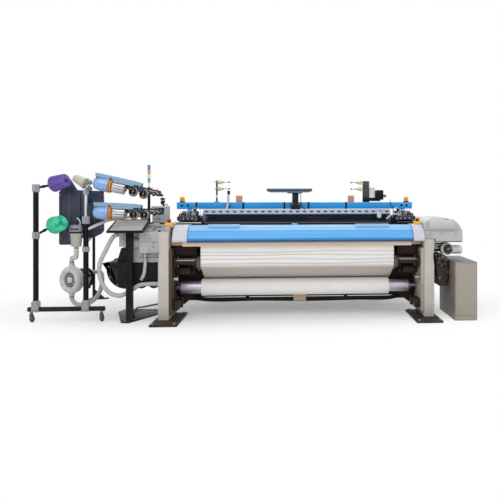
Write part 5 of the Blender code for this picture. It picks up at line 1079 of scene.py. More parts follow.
def cloth_roll():
    low, high = loom_box("cloth_roll")

    def make(look):
        tone = colours().cloth
        rows = look.noise(1, 3, (120, 1, 1))
        edge = look.node("ShaderNodeVectorMath", {"operation": 'LENGTH'},
                         {0: look.node("ShaderNodeCombineXYZ", {},
                                       {0: 0, 1: look.y - ROLL[0], 2: look.z - ROLL[1]})}, 1)
        layers = edge.wave(0.0016)
        end = 1 - look.x.between(low.x + 0.0015, high.x - 0.0015)
        base = look.mix(rows.above(0.5, 0.3) * 0.25, darker(tone, 0.98), darker(tone, 0.84))
        base = look.mix(end * layers, base, darker(tone, 0.55))
        threads = look.x.wave(sizes().weave)
        return look.finish(base, 0.88, 0, threads * 0.4 + layers * end, 0.0004)
    shape = Shape(finish_of("wound cloth", make))
    run = high.x - low.x
    profile = [(0, 0.0632), (0, 0.0825), (0.0015, 0.0842), (0.004, 0.0847)]
    for i in range(1, 24):
        profile.append((0.004 + (run - 0.008) * i / 24, 0.0847 - 0.0009 * abs(sin(1.9 * i))))
    profile += [(run - 0.004, 0.0847), (run - 0.0015, 0.0842), (run, 0.0825), (run, 0.0632),
                (0, 0.0632)]
    shape.lathe(profile, (low.x, *ROLL), RIGHT, 64)
    shape.piece("wound_cloth", "cloth_white", "cloth_roll", body="cloth_beam")
    tube_low, tube_high = loom_box("roll_tube")
    shape = Shape("lavender tube")
    ends = (-1.18, 1.137)
    reach = ends[1] - ends[0]
    bead = [(0, 0), (0, 0.04), (0.004, 0.0425), (0.008, 0.0565), (0.014, 0.0608), (0.02, 0.0623)]
    profile = bead + [(reach - along, radius) for along, radius in reversed(bead)]
    shape.lathe(profile, (ends[0], *ROLL), RIGHT, 56)
    shape.use("steel shaft").bar((tube_low.x, tube_high.x), ROLL, 0.0218, 32)
    for side, end in ((-1, ends[0]), (1, ends[1])):
        shape.bar((end - side * 0.004, end + side * 0.016), ROLL, 0.034, 32)
    shape.piece("cloth_roll_tube", "tube_grey", "roll_tube", body="cloth_beam")


class LOOM_OT_cloth(LoomStep, bpy.types.Operator):
    """Pleated cloth, take-up roller, cloth roll and its tube"""

    bl_idname = "loom.cloth"
    bl_label = "Cloth"

    def execute(self, context):
        cloth_web()
        cloth_roll()
        shape = Shape("roller cover")
        low, high = loom_box("take_up_roller")
        radius = (high.z - low.z) / 2
        middle = ((low.y + high.y) / 2, ROLLER[1])
        shape.lathe([(0, 0), (0, radius - 0.003), (0.003, radius - 0.0005),
                     (1.957, radius - 0.0005), (1.96, radius - 0.003), (1.96, 0)],
                    (-0.98, *middle), RIGHT, 40)
        shape.use("dark iron")
        shape.bar((low.x, high.x), middle, 0.02)
        shape.piece("take_up_drum", "dark_metal", "take_up_roller")
        return {'FINISHED'}


# Reed, sley, heald frames and the drives beside them

def sley():
    low, high = loom_box("sley_with_reed")

    def make(look):
        dents = look.x.wave(0.0028)
        base = look.mix(dents, screen(14, 24, 30), screen(40, 58, 70))
        return look.finish(base, 0.5, 0.1, dents, 0.0006)
    shape = Shape(dull(finish_of("reed dents", make)))
    y = 0.5
    shape.box((-1, 1), about(y, 0.003), (0.83, 0.94), 0)
    shape.use("dark teal")
    for z in (0.82, 0.926):
        shape.box((-1, 1), about(y, 0.009), (z, z + 0.022))
    for x in (-0.996, 0.996):
        shape.box(about(x, 0.004), about(y, 0.008), (0.822, 0.946), 0.002)
    section = [(y - 0.045, low.z), (y + 0.0315, low.z), (y + 0.045, low.z + 0.02),
               (y + 0.0225, 0.824), (y - 0.045, 0.824)]
    shape.prism(section, "X", low.x, high.x)
    shape.use("race board").box((-0.99, 0.99), (y - 0.04, y - 0.012), (0.823, 0.829), 0.0015)
    shape.use("shed strip").box((-0.95, 0.95), (y - 0.044, y - 0.038), (0.9285, 0.9345), 0.001)
    shape.use("zinc")
    for x in (-0.95, 0.95):
        shape.box(about(x, 0.004), (y - 0.044, y - 0.006), (0.926, 0.9375), 0.001)
    shape.bolts([(-0.9 + 0.2 * i, y - 0.045, 0.785) for i in range(10)], FRONT, 0.013)
    shape.piece("reed_and_sley", "reed_steel", "sley_with_reed")


def heald_frame(index):
    name = "heald_frame_%d" % (index + 1)
    low, high = loom_box(name)
    bar = 0.047
    stay = 0.03
    shape = Shape("heald rail")
    for z in (low.z, high.z - bar):
        slotted_bar(shape, low, high, z, bar)
    for x in (low.x, high.x - stay):
        shape.box((x, x + stay), (low.y, high.y), (low.z + bar, high.z - bar), 0.002)
    shape.use("dark blue rail")
    for z in (low.z + bar - 0.001, high.z - bar - 0.012):
        shape.box((low.x + stay, high.x - stay), (low.y + 0.002, high.y - 0.002), (z, z + 0.013),
                  0.0015)
    shape.use("rail end guard")
    for x in (low.x, high.x - 0.012):
        shape.box((x - 0.0002, x + 0.0122), (low.y - 0.0012, high.y + 0.0012),
                  (high.z - 0.12, high.z - 0.075), 0.002)
    shape.piece(name + "_rails", "heald_metal", name)
    wires = Shape("heald wire")
    half = 0.0023 if index == 2 else 0.0011
    y = (low.y + high.y) / 2
    x = low.x + stay + 0.008 + index * sizes().heald_pitch / 3
    eye = 0.888 + (0.01 if index == 1 else -0.006)
    bottom = low.z + bar + 0.008
    top = high.z - bar - 0.01
    wires.box((x - half, x + half), about(y, 0.0014), (bottom, eye - 0.006), 0)
    wires.box((x - half, x + half), about(y, 0.0014), (eye + 0.006, top), 0)
    for step in (-0.0022, 0.0022):
        wires.box(about(x, 0.0008), (y + step - 0.0006, y + step + 0.0006), about(eye, 0.007), 0)
    made = wires.piece(name + "_wires", "heald_metal")
    row = made.modifiers.new("row of healds", 'ARRAY')
    row.use_relative_offset = False
    row.use_constant_offset = True
    row.constant_offset_displace = (sizes().heald_pitch, 0, 0)
    row.count = int((high.x - low.x - 2 * stay - 0.016) / sizes().heald_pitch) + 1


def slotted_bar(shape, low, high, z, tall):
    """A flat bar with a row of rounded slots sunk in its front and back."""
    count = round((high.x - low.x) / sizes().slot_pitch)
    part = bmesh.new()
    bmesh.ops.create_cube(part, size=1)
    bmesh.ops.scale(part, vec=(high.x - low.x, high.y - low.y, tall), verts=part.verts[:])
    middle = ((low.x + high.x) / 2, (low.y + high.y) / 2, z + tall / 2)
    bmesh.ops.translate(part, vec=middle, verts=part.verts[:])
    for i in range(1, count):
        x = low.x + (high.x - low.x) * i / count
        bmesh.ops.bisect_plane(
            part, geom=part.verts[:] + part.edges[:] + part.faces[:], plane_co=(x, 0, 0),
            plane_no=RIGHT)
    cells = [face for face in part.faces if abs(face.normal.y) > 0.9]
    cells = [face for face in cells if low.x + 0.03 < face.calc_center_median().x < high.x - 0.03]
    bmesh.ops.inset_individual(part, faces=cells, thickness=0.0135, depth=0)
    rims = [face for face in cells if face.is_valid]
    spots = [(face.calc_center_median().copy(), face.normal.copy()) for face in rims]
    for face in rims:
        centre = face.calc_center_median()
        for point in face.verts:
            point.co.x = centre.x + (point.co.x - centre.x) * 0.78
    bmesh.ops.inset_individual(part, faces=rims, thickness=0.0008, depth=-0.004)
    shape.use("heald rail").take(part)
    shape.use("rail slot")
    for centre, way in spots:
        way = Vector((0, 1 if way.y > 0 else -1, 0))
        half = 0.0165
        y = sorted((centre.y - way.y * 0.0036, centre.y - way.y * 0.0046))
        shape.box((centre.x - half, centre.x + half), y, about(centre.z, 0.0095), 0)


def frame_drive(side):
    """Dark block beside the heald frames, with levers, springs and a small motor."""
    word = "left" if side < 0 else "right"
    shape = Shape("dark navy")
    span = partial(limits, side)
    shape.box(span(1.01, 1.235), (0.45, 0.565), (0.955, 1), 0.006)
    shape.box(span(1.05, 1.2), (0.535, 0.6), (0.99, 1.045), 0.008)
    shape.box(span(1.11, 1.225), (0.6, 0.7), (1, 1.035), 0.006)
    shape.use("black plastic").bar((side * 1.02, side * 1.19), (0.53, 0.94), 0.03, 28)
    shape.bar((side * 1.13, side * 1.22), (0.5, 1.005), 0.022, 24)
    shape.box(span(1, 1.03), (0.44, 0.52), (0.93, 1.01), 0.004)
    shape.post((side * 1.08, 0.62), (1.03, 1.075), 0.018, 24)
    shape.use("zinc")
    for i in range(4):
        x = 1.035 + 0.045 * i
        shape.rod((side * x, 0.445, 0.975), (side * x, 0.452, 0.975), 0.011)
        shape.post((side * x, 0.46), (1, 1.006 + 0.006 * (i % 2)), 0.008, 16)
    shape.bar((side, side * 1.23), (0.48, 0.935), 0.006)
    shape.box(span(1.065, 1.105), (0.53, 0.537), (1.005, 1.032), 0.002)
    shape.box(span(1.14, 1.17), (0.53, 0.537), (0.998, 1.028), 0.002)
    coil = []
    for i in range(90):
        turn = i * pi / 5
        coil.append((side * (1.03 + 0.0016 * i), 0.62 + 0.012 * cos(turn),
                     1.02 + 0.012 * sin(turn)))
    shape.path(coil, 0.0022, 1, smooth=False)
    shape.bolts([(side * x, 0.45, 0.96) for x in (1.05, 1.2)], FRONT, 0.01)
    shape.use("white lead")
    for reach, top in ((1.03, 1.085), (1.09, 1.065), (1.15, 1.05)):
        shape.path([(side * (reach + 0.05), 0.47, 0.99), (side * (reach + 0.04), 0.455, top - 0.02),
                    (side * reach, 0.46, top), (side * (reach - 0.035), 0.47, top - 0.03),
                    (side * (reach - 0.03), 0.48, 0.985)], 0.003, 2)
    shape.piece(word + "_frame_drive", "dark_metal")


def take_up_gear(side):
    """Inner plates, guards, bearings and gear wheel beside the cloth web. The left inner plates are
    painted dark brown as shade, and a dark plate behind the cloth's edge stands in for the shade
    there.
    """
    word = "left" if side < 0 else "right"
    span = partial(limits, side)
    # Painted shade: the left inner plate is dark brown and the right one light grey, for the shade
    # on the left inner side.
    plate = cast(word + " inner plate", screen(70, 60, 53) if side < 0 else screen(178, 172, 166))
    shape = Shape(plate)
    shape.box(span(1.205, WALL), (0.01, 0.3), (0.34, 0.7), 0.004)
    shape.box(span(1.215, WALL), (0.02, 0.39), (0.07, 0.345), 0.004)
    # Painted shade: the windows of the left plate are dark, those of the right plate light grey.
    tone = screen(52, 44, 40) if side < 0 else screen(140, 142, 142)
    shape.use(cast(word + " plate window", tone))
    for low, high in ((0.37, 0.49), (0.52, 0.67)):
        shape.box(span(1.2042, 1.21), (0.05, 0.14), (low, high), 0)
    shape.use("dark iron").box(span(0.99, 1.205), (0.16, 0.3), (0.635, 0.72), 0.006)
    shape.bar((side * 0.985, side * 1.2), (0.22, 0.64), 0.028, 24)
    shape.box(span(1.06, 1.2), (0.18, 0.3), (0.44, 0.5), 0.005)
    # Dark plate behind the cloth's edge, standing in for the shade inside the frame there.
    guard = [(0.9, 0.72), (1.205, 0.72), (1.205, 0.11), (1.15, 0.11), (1.03, 0.21), (0.9, 0.21)]
    shape.prism([(side * a, b) for a, b in guard], "Y", 0.402, 0.42, 0.004)
    shape.box(span(1.1, 1.205), (0.39, 0.402), (0.22, 0.36), 0.004)
    shape.box(span(1.16, 1.215), (0.1, 0.24), (0.1, 0.19), 0.006)
    shape.bar((side * 1.15, side * 1.215), (0.3, 0.14), 0.045, 28)
    shape.box(span(0.97, 1.04), (0.22, 0.31), (0.5, 0.64), 0.008)
    shape.bar((side * 1.02, side * 1.205), (0.34, 0.45), 0.045, 28)
    wheel = [(-0.01, 0.016), (-0.01, 0.062), (-0.006, 0.066), (0.006, 0.066), (0.01, 0.062),
             (0.01, 0.016)]
    shape.lathe(wheel, (side * 1.19, 0.109, 0.56), RIGHT, 40)
    shape.use("zinc")
    for y, z in ((0.04, 0.66), (0.04, 0.38), (0.27, 0.66), (0.27, 0.38)):
        shape.bolts([(side * 1.205, y, z)], (-side, 0, 0), 0.012)
    shape.bar((side * 0.945, side * 1.205), (0.155, 0.592), 0.0055)
    shape.bolts([(side * x, 0.402, z) for x, z in ((1, 0.68), (1.16, 0.68), (1, 0.46),
                                                   (1.17, 0.17))], FRONT, 0.014)
    shape.rod((side * 1.05, 0.385, 0.6), (side * 1.12, 0.385, 0.44), 0.006, 12)
    shape.rod((side * 1.12, 0.385, 0.44), (side * 1.08, 0.385, 0.4), 0.006, 12)
    shape.piece(word + "_take_up_gear", "dark_metal")


def left_guides():
    """Grey curved tube and small yarn guides at the left of the shed."""
    shape = Shape("pale grey hose")
    shape.path([(-0.742, 0.79, 1.255), (-0.745, 0.79, 1.2), (-0.748, 0.785, 1.12),
                (-0.77, 0.76, 1.06), (-0.82, 0.73, 1.02), (-0.86, 0.7, 0.985)], 0.012, 4)
    shape.use("black plastic").post((-0.742, 0.79), (1.225, 1.265), 0.015, 24)
    shape.box((-0.89, -0.83), (0.7, 0.74), (0.95, 0.985), 0.004)
    shape.box((-0.752, -0.732), (0.785, 0.82), (1.09, 1.115), 0.002)
    shape.use("zinc").bar((-1.24, -0.98), (0.42, 0.932), 0.012)
    shape.piece("selvedge_tube", "hose_grey")


def right_guides():
    """White drive cylinder and grey arched hose at the right of the shed."""
    shape = Shape("white enamel")
    shape.post((0.86, 0.52), (0.985, 1.045), 0.024, 28)
    shape.post((0.86, 0.52), (0.975, 0.99), 0.018, 24)
    shape.use("pale grey hose")
    shape.path([(0.935, 0.5, 0.965), (0.955, 0.5, 0.985), (1, 0.495, 1.012), (1.045, 0.49, 1.018),
                (1.085, 0.48, 1), (1.11, 0.475, 0.965)], 0.009, 4)
    shape.use("black plastic").box((0.83, 0.89), (0.5, 0.57), (0.952, 0.978), 0.004)
    shape.piece("right_cutter", "brake_white")


class LOOM_OT_weaving(LoomStep, bpy.types.Operator):
    """Reed on its sley, heald frames with their wires, and the drives and guides beside them"""

    bl_idname = "loom.weaving"
    bl_label = "Weaving parts"

    def execute(self, context):
        sley()
        for index in range(3):
            heald_frame(index)
        for side in SIDES:
            frame_drive(side)
            take_up_gear(side)
        left_guides()
        right_guides()
        return {'FINISHED'}


# Top beam with what stands on it

BEAM_Y = 0.85
BEAM_LOW = 1.067
BEAM_HIGH = 1.139


def top_beam():
    low, high = loom_box("top_beam")
    shape = Shape("blue beam")
    shape.box((low.x, high.x), about(BEAM_Y, 0.035), (BEAM_LOW, BEAM_HIGH), 0.007, 3)
    shape.use("black plastic")
    for x in (low.x, high.x):
        shape.box(about(x, 0.0004), about(BEAM_Y, 0.027), (BEAM_LOW + 0.008, BEAM_HIGH - 0.008), 0)
    for x in (-1.09, -0.587, -0.142, 0.122, 0.535):
        shape.box(about(x, 0.01), about(BEAM_Y, 0.0368), (BEAM_LOW - 0.0018, BEAM_HIGH + 0.0018),
                  0.002)
    for x in (-1.245, -1.18, 1.15, 1.207):
        for way in SIDES:
            ring = [(0, 0.0085), (0.0006, 0.0125), (0.0014, 0.0125), (0.0014, 0.0095),
                    (0.0003, 0.009), (0.0003, 0)]
            place = (x, BEAM_Y + way * 0.035, (BEAM_LOW + BEAM_HIGH) / 2)
            shape.lathe(ring, place, (0, way, 0), 24)
    wire = sizes().wire
    shape.path([(1.02, BEAM_Y - 0.04, 1.17), (1.03, BEAM_Y - 0.045, 1.12),
                (1.055, BEAM_Y - 0.042, 1.07), (1.06, BEAM_Y - 0.03, 1),
                (1.05, BEAM_Y - 0.03, 0.93)], wire, 2)
    shape.path([(low.x + 0.02, BEAM_Y + 0.039, 1.12), (-0.9, BEAM_Y + 0.041, 1.085),
                (-0.3, BEAM_Y + 0.041, 1.1), (0.3, BEAM_Y + 0.041, 1.085),
                (0.9, BEAM_Y + 0.041, 1.1), (high.x - 0.02, BEAM_Y + 0.039, 1.12)], wire * 1.2, 2)
    shape.use("signal orange")
    for x in (-1.245, 1.207):
        lamp = [(0.008, 0), (0.008, 0.0255), (0.012, 0.027), (0.046, 0.0255), (0.056, 0.021),
                (0.061, 0.012), (0.062, 0)]
        shape.lathe(lamp, (x, BEAM_Y, BEAM_HIGH), UP, 36)
    shape.use("black plastic")
    for x in (-1.245, 1.207):
        shape.lathe([(-0.001, 0), (-0.001, 0.03), (0.008, 0.03), (0.011, 0.026), (0.011, 0)],
                    (x, BEAM_Y, BEAM_HIGH))
    shape.use("tan box")
    for x in (-0.634, 0.591):
        shape.box(about(x, 0.034), about(BEAM_Y, 0.025), (BEAM_HIGH + 0.006, BEAM_HIGH + 0.074),
                  0.005, 3)
    shape.use("zinc")
    for x in (-0.634, 0.591):
        shape.box(about(x, 0.028), about(BEAM_Y, 0.03), (BEAM_HIGH - 0.001, BEAM_HIGH + 0.007),
                  0.002)
        shape.bolts([(x, BEAM_Y - 0.025, BEAM_HIGH + 0.05)], FRONT, 0.009)
    shape.bolts([(x, BEAM_Y - 0.035, 1.103) for x in (-1.1, -0.88, -0.4, 0.36, 0.8, 1.09)], FRONT,
                0.014)
    shape.piece("beam_with_lamps", "beam_blue", "top_beam")


def lamp_panel():
    low, high = loom_box("lamp_panel")
    shape = Shape("lamp panel slate")
    y = (0.73, 0.93)
    shape.box((low.x, high.x), y, (1.262, 1.289), 0.01, 3)
    shape.use("dark trim")
    shape.box((low.x + 0.006, high.x - 0.006), (y[0] + 0.006, y[1] - 0.006), (1.255, 1.264))
    shape.use("lamp glass")
    for line in (0.78, 0.88):
        shape.bar((low.x + 0.03, high.x - 0.03), (line, 1.2545), 0.009, 24)
    shape.use("lamp bracket").box((-0.11, 0.055), (0.79, 0.87), (1.235, 1.262), 0.004)
    shape.box((-0.057, 0.012), (0.7985, 0.8147), (1.08, 1.24))
    shape.box((-0.075, 0.03), (0.7905, 0.8147), (1.022, 1.139))
    shape.use("zinc")
    shape.bolts([(x, 0.7905, z) for x in (-0.058, 0.013) for z in (1.045, 1.12)], FRONT, 0.013)
    shape.use("black cable")
    shape.path([(0.02, 0.8, 1.25), (0.035, 0.785, 1.2), (0.04, 0.785, 1.13), (0.06, 0.79, 1.08),
                (0.09, 0.8, 1.062)], sizes().wire, 2)
    shape.piece("light_panel", "slate_paint", "lamp_panel")


def small_cone(shape, base, way):
    shape.use("cream yarn cone")
    cone = [(0, 0), (0, 0.022), (0.003, 0.0255)]
    cone += [(0.003 + 0.0055 * i, 0.0255 - 0.0016 * i + 0.0006 * (i % 2)) for i in range(1, 8)]
    cone += [(0.046, 0.013), (0.048, 0.01), (0.048, 0)]
    shape.lathe(cone, base, way, 28)
    shape.use("black plastic")
    shape.lathe([(0.046, 0), (0.046, 0.008), (0.058, 0.006), (0.058, 0)], base, way, 16)


def left_selvedge():
    x = -0.875
    y = BEAM_Y
    foot = BEAM_HIGH + GAP
    shape = Shape("black plastic")
    shape.post((x, y), (foot, 1.378), 0.009)
    shape.use("zinc").box(about(x, 0.025), about(y, 0.02), (foot, foot + 0.01), 0.002)
    shape.bolts([(x - 0.016, y, foot + 0.01), (x + 0.016, y, foot + 0.01)], UP, 0.008)
    for z in (1.358, 1.286):
        shape.use("zinc").bar((x - 0.03, x + 0.14), (y, z), 0.004)
        shape.lathe(plug(-0.012, 0.012, 0.011), (x, y, z), RIGHT, 20)
        small_cone(shape, (x + 0.016, y, z), RIGHT)
        shape.bar((x + 0.128, x + 0.14), (y, z), 0.009)
    shape.use("white plastic")
    shape.lathe([(0, 0), (0, 0.012), (0.03, 0.01), (0.03, 0)], (x - 0.002, y, 1.19), UP, 20)
    shape.piece("left_selvedge_stand", "cream_plastic", "left_bobbin_stand")


def right_selvedge():
    x = 0.758
    y = BEAM_Y
    foot = BEAM_HIGH + GAP
    shape = Shape("graphite board")
    shape.box(about(x, 0.038), about(y, 0.008), (foot, 1.372))
    for z in (1.355, 1.283):
        shape.use("zinc").bar((x - 0.17, x - 0.03), (y, z), 0.004)
        small_cone(shape, (x - 0.05, y, z), LEFT)
        shape.bar((x - 0.17, x - 0.158), (y, z), 0.009)
    shape.use("zinc")
    shape.bolts([(x + dx, y - 0.008, z) for dx in (-0.025, 0.025) for z in (1.17, 1.34)], FRONT,
                0.009)
    shape.use("white plastic")
    spool = [(0, 0), (0, 0.033), (0.003, 0.0345), (0.008, 0.033), (0.01, 0.026)]
    spool += [(0.012 + 0.0055 * i, 0.0262 + 0.0009 * (i % 2)) for i in range(1, 16)]
    spool += [(0.102, 0.026), (0.104, 0.033), (0.109, 0.0345), (0.112, 0.033), (0.112, 0)]
    shape.lathe(spool, (x + 0.068, y, 1.188), UP, 36)
    shape.use("black plastic").box((x + 0.101, x + 0.192), about(y, 0.03), (1.165, 1.272), 0.006, 3)
    shape.box((x - 0.03, x + 0.16), about(y, 0.015), (1.15, 1.19))
    shape.use("grey knob").bar((x + 0.19, x + 0.226), (y, 1.208), 0.016, 28)
    shape.use("zinc").rod((x + 0.095, y - 0.012, 1.24), (x + 0.115, y - 0.034, 1.255), 0.004, 12)
    shape.piece("right_selvedge_stand", "black_paint", "right_bobbin_stand")


class LOOM_OT_top_beam(LoomStep, bpy.types.Operator):
    """Top beam with signal lamps, lamp panel and selvedge bobbin stands"""

    bl_idname = "loom.top_beam"
    bl_label = "Top beam"

    def execute(self, context):
        top_beam()
        lamp_panel()
        left_selvedge()
        right_selvedge()
        return {'FINISHED'}


# Back of the loom

def warp_beam():
    low, high = loom_box("warp_beam")
    at_y = (low.y + high.y) / 2
    at_z = (low.z + high.z) / 2

    def make(look):
        tone = colours().warp
        rows = look.noise(1, 3, (220, 1, 1))
        ends = look.x.wave(0.0052)
        base = look.mix(ends * 0.6, tone, darker(tone, 0.72))
        base = look.mix(rows.above(0.55, 0.25) * 0.35, base, darker(tone, 0.62))
        return look.finish(base, 0.85, 0, ends + rows * 0.4, 0.0007)
    half = 0.97
    shape = Shape(finish_of("wound warp", make))
    yarn = [(0, 0.1), (0, 0.3285)]
    yarn += [(i * half / 20, 0.3285 + 0.0006 * sin(2.3 * i)) for i in range(1, 40)]
    yarn += [(2 * half, 0.3285), (2 * half, 0.1)]
    shape.lathe(yarn, (-half, at_y, at_z), RIGHT, 72)
    shape.use("flange aluminium")
    for side in SIDES:
        flange = [(0, 0.05), (0, 0.398), (0.004, 0.4), (0.014, 0.4), (0.018, 0.396),
                  (0.0195, 0.378), (0.0135, 0.372), (0.0135, 0.16), (0.0199, 0.15), (0.0199, 0.09),
                  (0.034, 0.085), (0.034, 0.05)]
        shape.lathe(flange, (side * half, at_y, at_z), (side, 0, 0), 72)
        for i in range(8):
            turn = pi * i / 4
            start, end = ((side * (half + 0.012), at_y + r * cos(turn), at_z + r * sin(turn))
                          for r in (0.12, 0.376))
            shape.rod(start, end, 0.0072, 8)
    shape.use("steel shaft").bar((low.x, high.x), (at_y, at_z), 0.045, 40)
    shape.use("dark iron")
    for side in SIDES:
        shape.bar((side * 1.045, side * 1.09), (at_y, at_z), 0.115, 48)
    shape.use("zinc")
    for side in SIDES:
        spots = [(side * 1.09, at_y + 0.085 * cos(t), at_z + 0.085 * sin(t))
                 for t in (0.5 + i * pi / 3 for i in range(6))]
        shape.bolts(spots, (side, 0, 0))
    shape.piece("wound_warp_beam", "warp_yarn", "warp_beam")


def backrest():
    low, high = loom_box("backrest_roller")
    y = (low.y + high.y) / 2
    z = (low.z + high.z) / 2
    shape = Shape("steel roller")
    profile = [(0, 0), (0, 0.035), (0.115, 0.035), (0.115, 0.056), (0.119, 0.0598)]
    run = high.x - low.x
    profile += [(run - along, radius) for along, radius in reversed(profile)]
    shape.lathe(profile, (low.x, y, z), RIGHT, 48)
    shape.piece("backrest", "roller_steel", "backrest_roller")
    shape = Shape("grey rail")
    shape.box((-WALL, WALL), (1.6, 1.63), (0.68, 0.74), 0.004)
    shape.bar((-WALL, WALL), (1.18, 0.9), 0.018, 28)
    shape.use("drop wire rail")
    for y in (0.98, 1.03, 1.08):
        shape.box((-1, 1), about(y, 0.006), (0.862, 0.882), 0.0015)
    for side in SIDES:
        shape.box(limits(side, 0.99, 1.234), (0.96, 1.1), (0.85, 0.895))
    shape.piece("warp_stop_rails", "roller_steel")
    wires = Shape("drop wire")
    for y in (0.98, 1.03, 1.08):
        wires.box((-0.9316, -0.9306), about(y, 0.0075), (0.845, 0.925), 0)
    made = wires.piece("warp_stop_wires", "roller_steel")
    row = made.modifiers.new("row of drop wires", 'ARRAY')
    row.use_relative_offset = False
    row.use_constant_offset = True
    row.constant_offset_displace = (0.012, 0, 0)
    row.count = 156


def warp_sheet():
    def make(look):
        tone = colours().warp
        threads = look.x.wave(0.0042)
        rows = look.noise(1, 3, (160, 1, 1))
        base = look.mix(threads, darker(tone, 0.45), tone)
        base = look.mix(rows.above(0.55, 0.25) * 0.3, base, darker(tone, 0.6))
        return look.finish(base, 0.85, 0, threads, 0.0008)
    half = loom_box("warp_sheet")[1].x
    lift = 0.0022
    rise = 16.26
    route = arc((1.35, 0.5), 0.33 + lift, rise, rise + 0.2, 1)[:1]
    route += arc((1.5, 0.95), 0.06 + lift, rise, 97.17, 12)
    last = Vector(route[-1])
    fell = Vector((0.5035, 0.885 + lift))
    route += [tuple(last.lerp(fell, i / 12)) for i in range(1, 13)]
    threads = finish_of("warp threads", make)
    made = cloth_along("warp_threads", route, half, 40, threads, "warp_yarn")
    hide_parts("warp_sheet")


class LOOM_OT_back(LoomStep, bpy.types.Operator):
    """Warp beam with its flanges, backrest roller and warp sheet"""

    bl_idname = "loom.back"
    bl_label = "Warp side"

    def execute(self, context):
        warp_beam()
        backrest()
        warp_sheet()
        return {'FINISHED'}


# Left end

def left_housing():
    right = -OUTER - GAP
    shape = Shape("housing grey")
    left = -1.67
    outline = [(right, 0.56), (right, 0.89)] + arc((left + 0.06, 0.83), 0.06, 90, 180, 8)
    outline += arc((left + 0.02, 0.58), 0.02, 180, 270, 4)
    shape.prism(outline, "Y", 0.2, 0.8, 0.004)
    lid = [(-1.6, 0.87), (right, 0.87), (right, FRAME_TOP), (-LID_EDGE, FRAME_TOP),
           (-LID_EDGE, 0.93), (-1.59, 0.93), (-1.6, 0.92)]
    shape.prism(lid, "Y", 0.28, 0.75)
    shape.box((-1.545, right), (0.145, 0.23), (0.655, 0.862), 0.008, 3)
    shape.box((-1.742, -1.66), (0.178, 0.22), (0.715, 0.865), 0.005)
    drum = [(0, 0), (0, 0.052), (0.003, 0.058), (0.01, 0.06), (0.08, 0.06), (0.087, 0.058),
            (0.09, 0.052), (0.09, 0)]
    shape.lathe(drum, (-1.63, 0.22, 0.75), RIGHT, 44)
    shape.use("seam")
    for z in (0.7655, 0.612):
        shape.box((-1.54, right - 0.002), (0.1442, 0.16), about(z, 0.0014), 0)
    shape.box((-1.6702, right - 0.002), (0.199, 0.8), (0.6105, 0.6135), 0)
    shape.box((-1.5958, -1.5945), (0.2795, 0.29), (0.872, 0.93), 0)
    shape.use("cap steel")
    face = [(-0.003, 0), (-0.003, 0.03), (0.002, 0.034), (0.002, 0.046), (0, 0.049)]
    shape.lathe([(0.0012 + a, r) for a, r in reversed(face)], (-1.6315, 0.22, 0.75), LEFT, 40)
    shape.use("zinc")
    spots = [(-1.437, 0.797), (-1.404, 0.754), (-1.409, 0.716), (-1.446, 0.683)]
    shape.bolts([(x, 0.145, z) for x, z in spots], FRONT, 0.013)
    shape.bolts([(-1.7, 0.178, 0.79)], FRONT, 0.012)
    shape.bolts([(-1.67, y, z) for y in (0.28, 0.72) for z in (0.64, 0.8)], LEFT, 0.014)
    shape.bolts([(x, y, 0.93) for x in (-1.57, -1.3) for y in (0.31, 0.72)], UP, 0.012)
    shape.bolts([(x, 0.8, z) for x in (-1.62, -1.36) for z in (0.6, 0.84)], BACK, 0.014)
    shape.use("black plastic").box((-1.375, -1.29), (0.2815, 0.34), (0.93, 0.942))
    shape.box((-1.36, -1.336), (0.146, 0.2), (0.862, 0.876), 0.002)
    shape.path([(-1.345, 0.2, 0.9), (-1.36, 0.19, 0.91), (-1.41, 0.18, 0.885), (-1.42, 0.2, 0.872)],
               sizes().wire, 2)
    for x in (-1.6, -1.55, -1.5, -1.45, -1.4):
        shape.box(about(x, 0.004), (0.7995, 0.8012), (0.66, 0.78), 0)
    shape.piece("drive_housing_left", "housing_grey", "left_drive_housing")


def lower_cover():
    top = 0.5597
    right = -OUTER - GAP

    def make(look):
        base, patches = worn(look, screen(28, 27, 27), 0.25, 4)
        worn_edge = look.noise(12, 4).above(0.64, 0.06)
        base = look.mix(worn_edge * 0.3, base, screen(96, 90, 84))
        skin = look.noise(200, 2)
        return look.finish(base, patches * 0.2 + 0.4, 0, skin, 0.0005)
    shape = Shape(dull(finish_of("black cover", make)))
    bowl = arc((-1.68, 0.49), 0.19, 158, 300, 26)
    outline = [(-1.862, top)] + bowl + [(-1.53, 0.375), (right, 0.375), (right, top)]
    shape.prism(outline, "Y", 0.205, 0.62, 0.006)
    neck = [(-1.785, top - 0.03), (-1.735, 0.7), (-1.6703, 0.7), (-1.6703, top - 0.03)]
    shape.prism(neck, "Y", 0.225, 0.455, 0.004)
    for x in (-1.55, -1.43):
        lobe = [(0, 0), (0, 0.05), (0.004, 0.058), (0.012, 0.062), (0.263, 0.062), (0.271, 0.058),
                (0.275, 0.05), (0.275, 0)]
        shape.lathe(lobe, (x, 0.265, 0.355), BACK, 36)
    shape.use("dark iron")
    for low, high in ((158, 220), (224, 262)):
        inner = arc((-1.68, 0.49), 0.15, low, high, 10)
        outer = arc((-1.68, 0.49), 0.158, low, high, 10)
        shape.prism(inner + outer[::-1], "Y", 0.2015, 0.21, 0.001)
    shape.use("zinc")
    spots = [(-1.68 + 0.172 * cos(radians(t)), 0.49 + 0.172 * sin(radians(t)))
             for t in (170, 205, 240, 275)]
    shape.bolts([(x, 0.205, z) for x, z in spots], FRONT, 0.012)
    shape.bolts([(x, 0.265, 0.355) for x in (-1.55, -1.43)], FRONT, 0.015)
    shape.piece("black_lower_cover", "black_paint", "lower_cover")


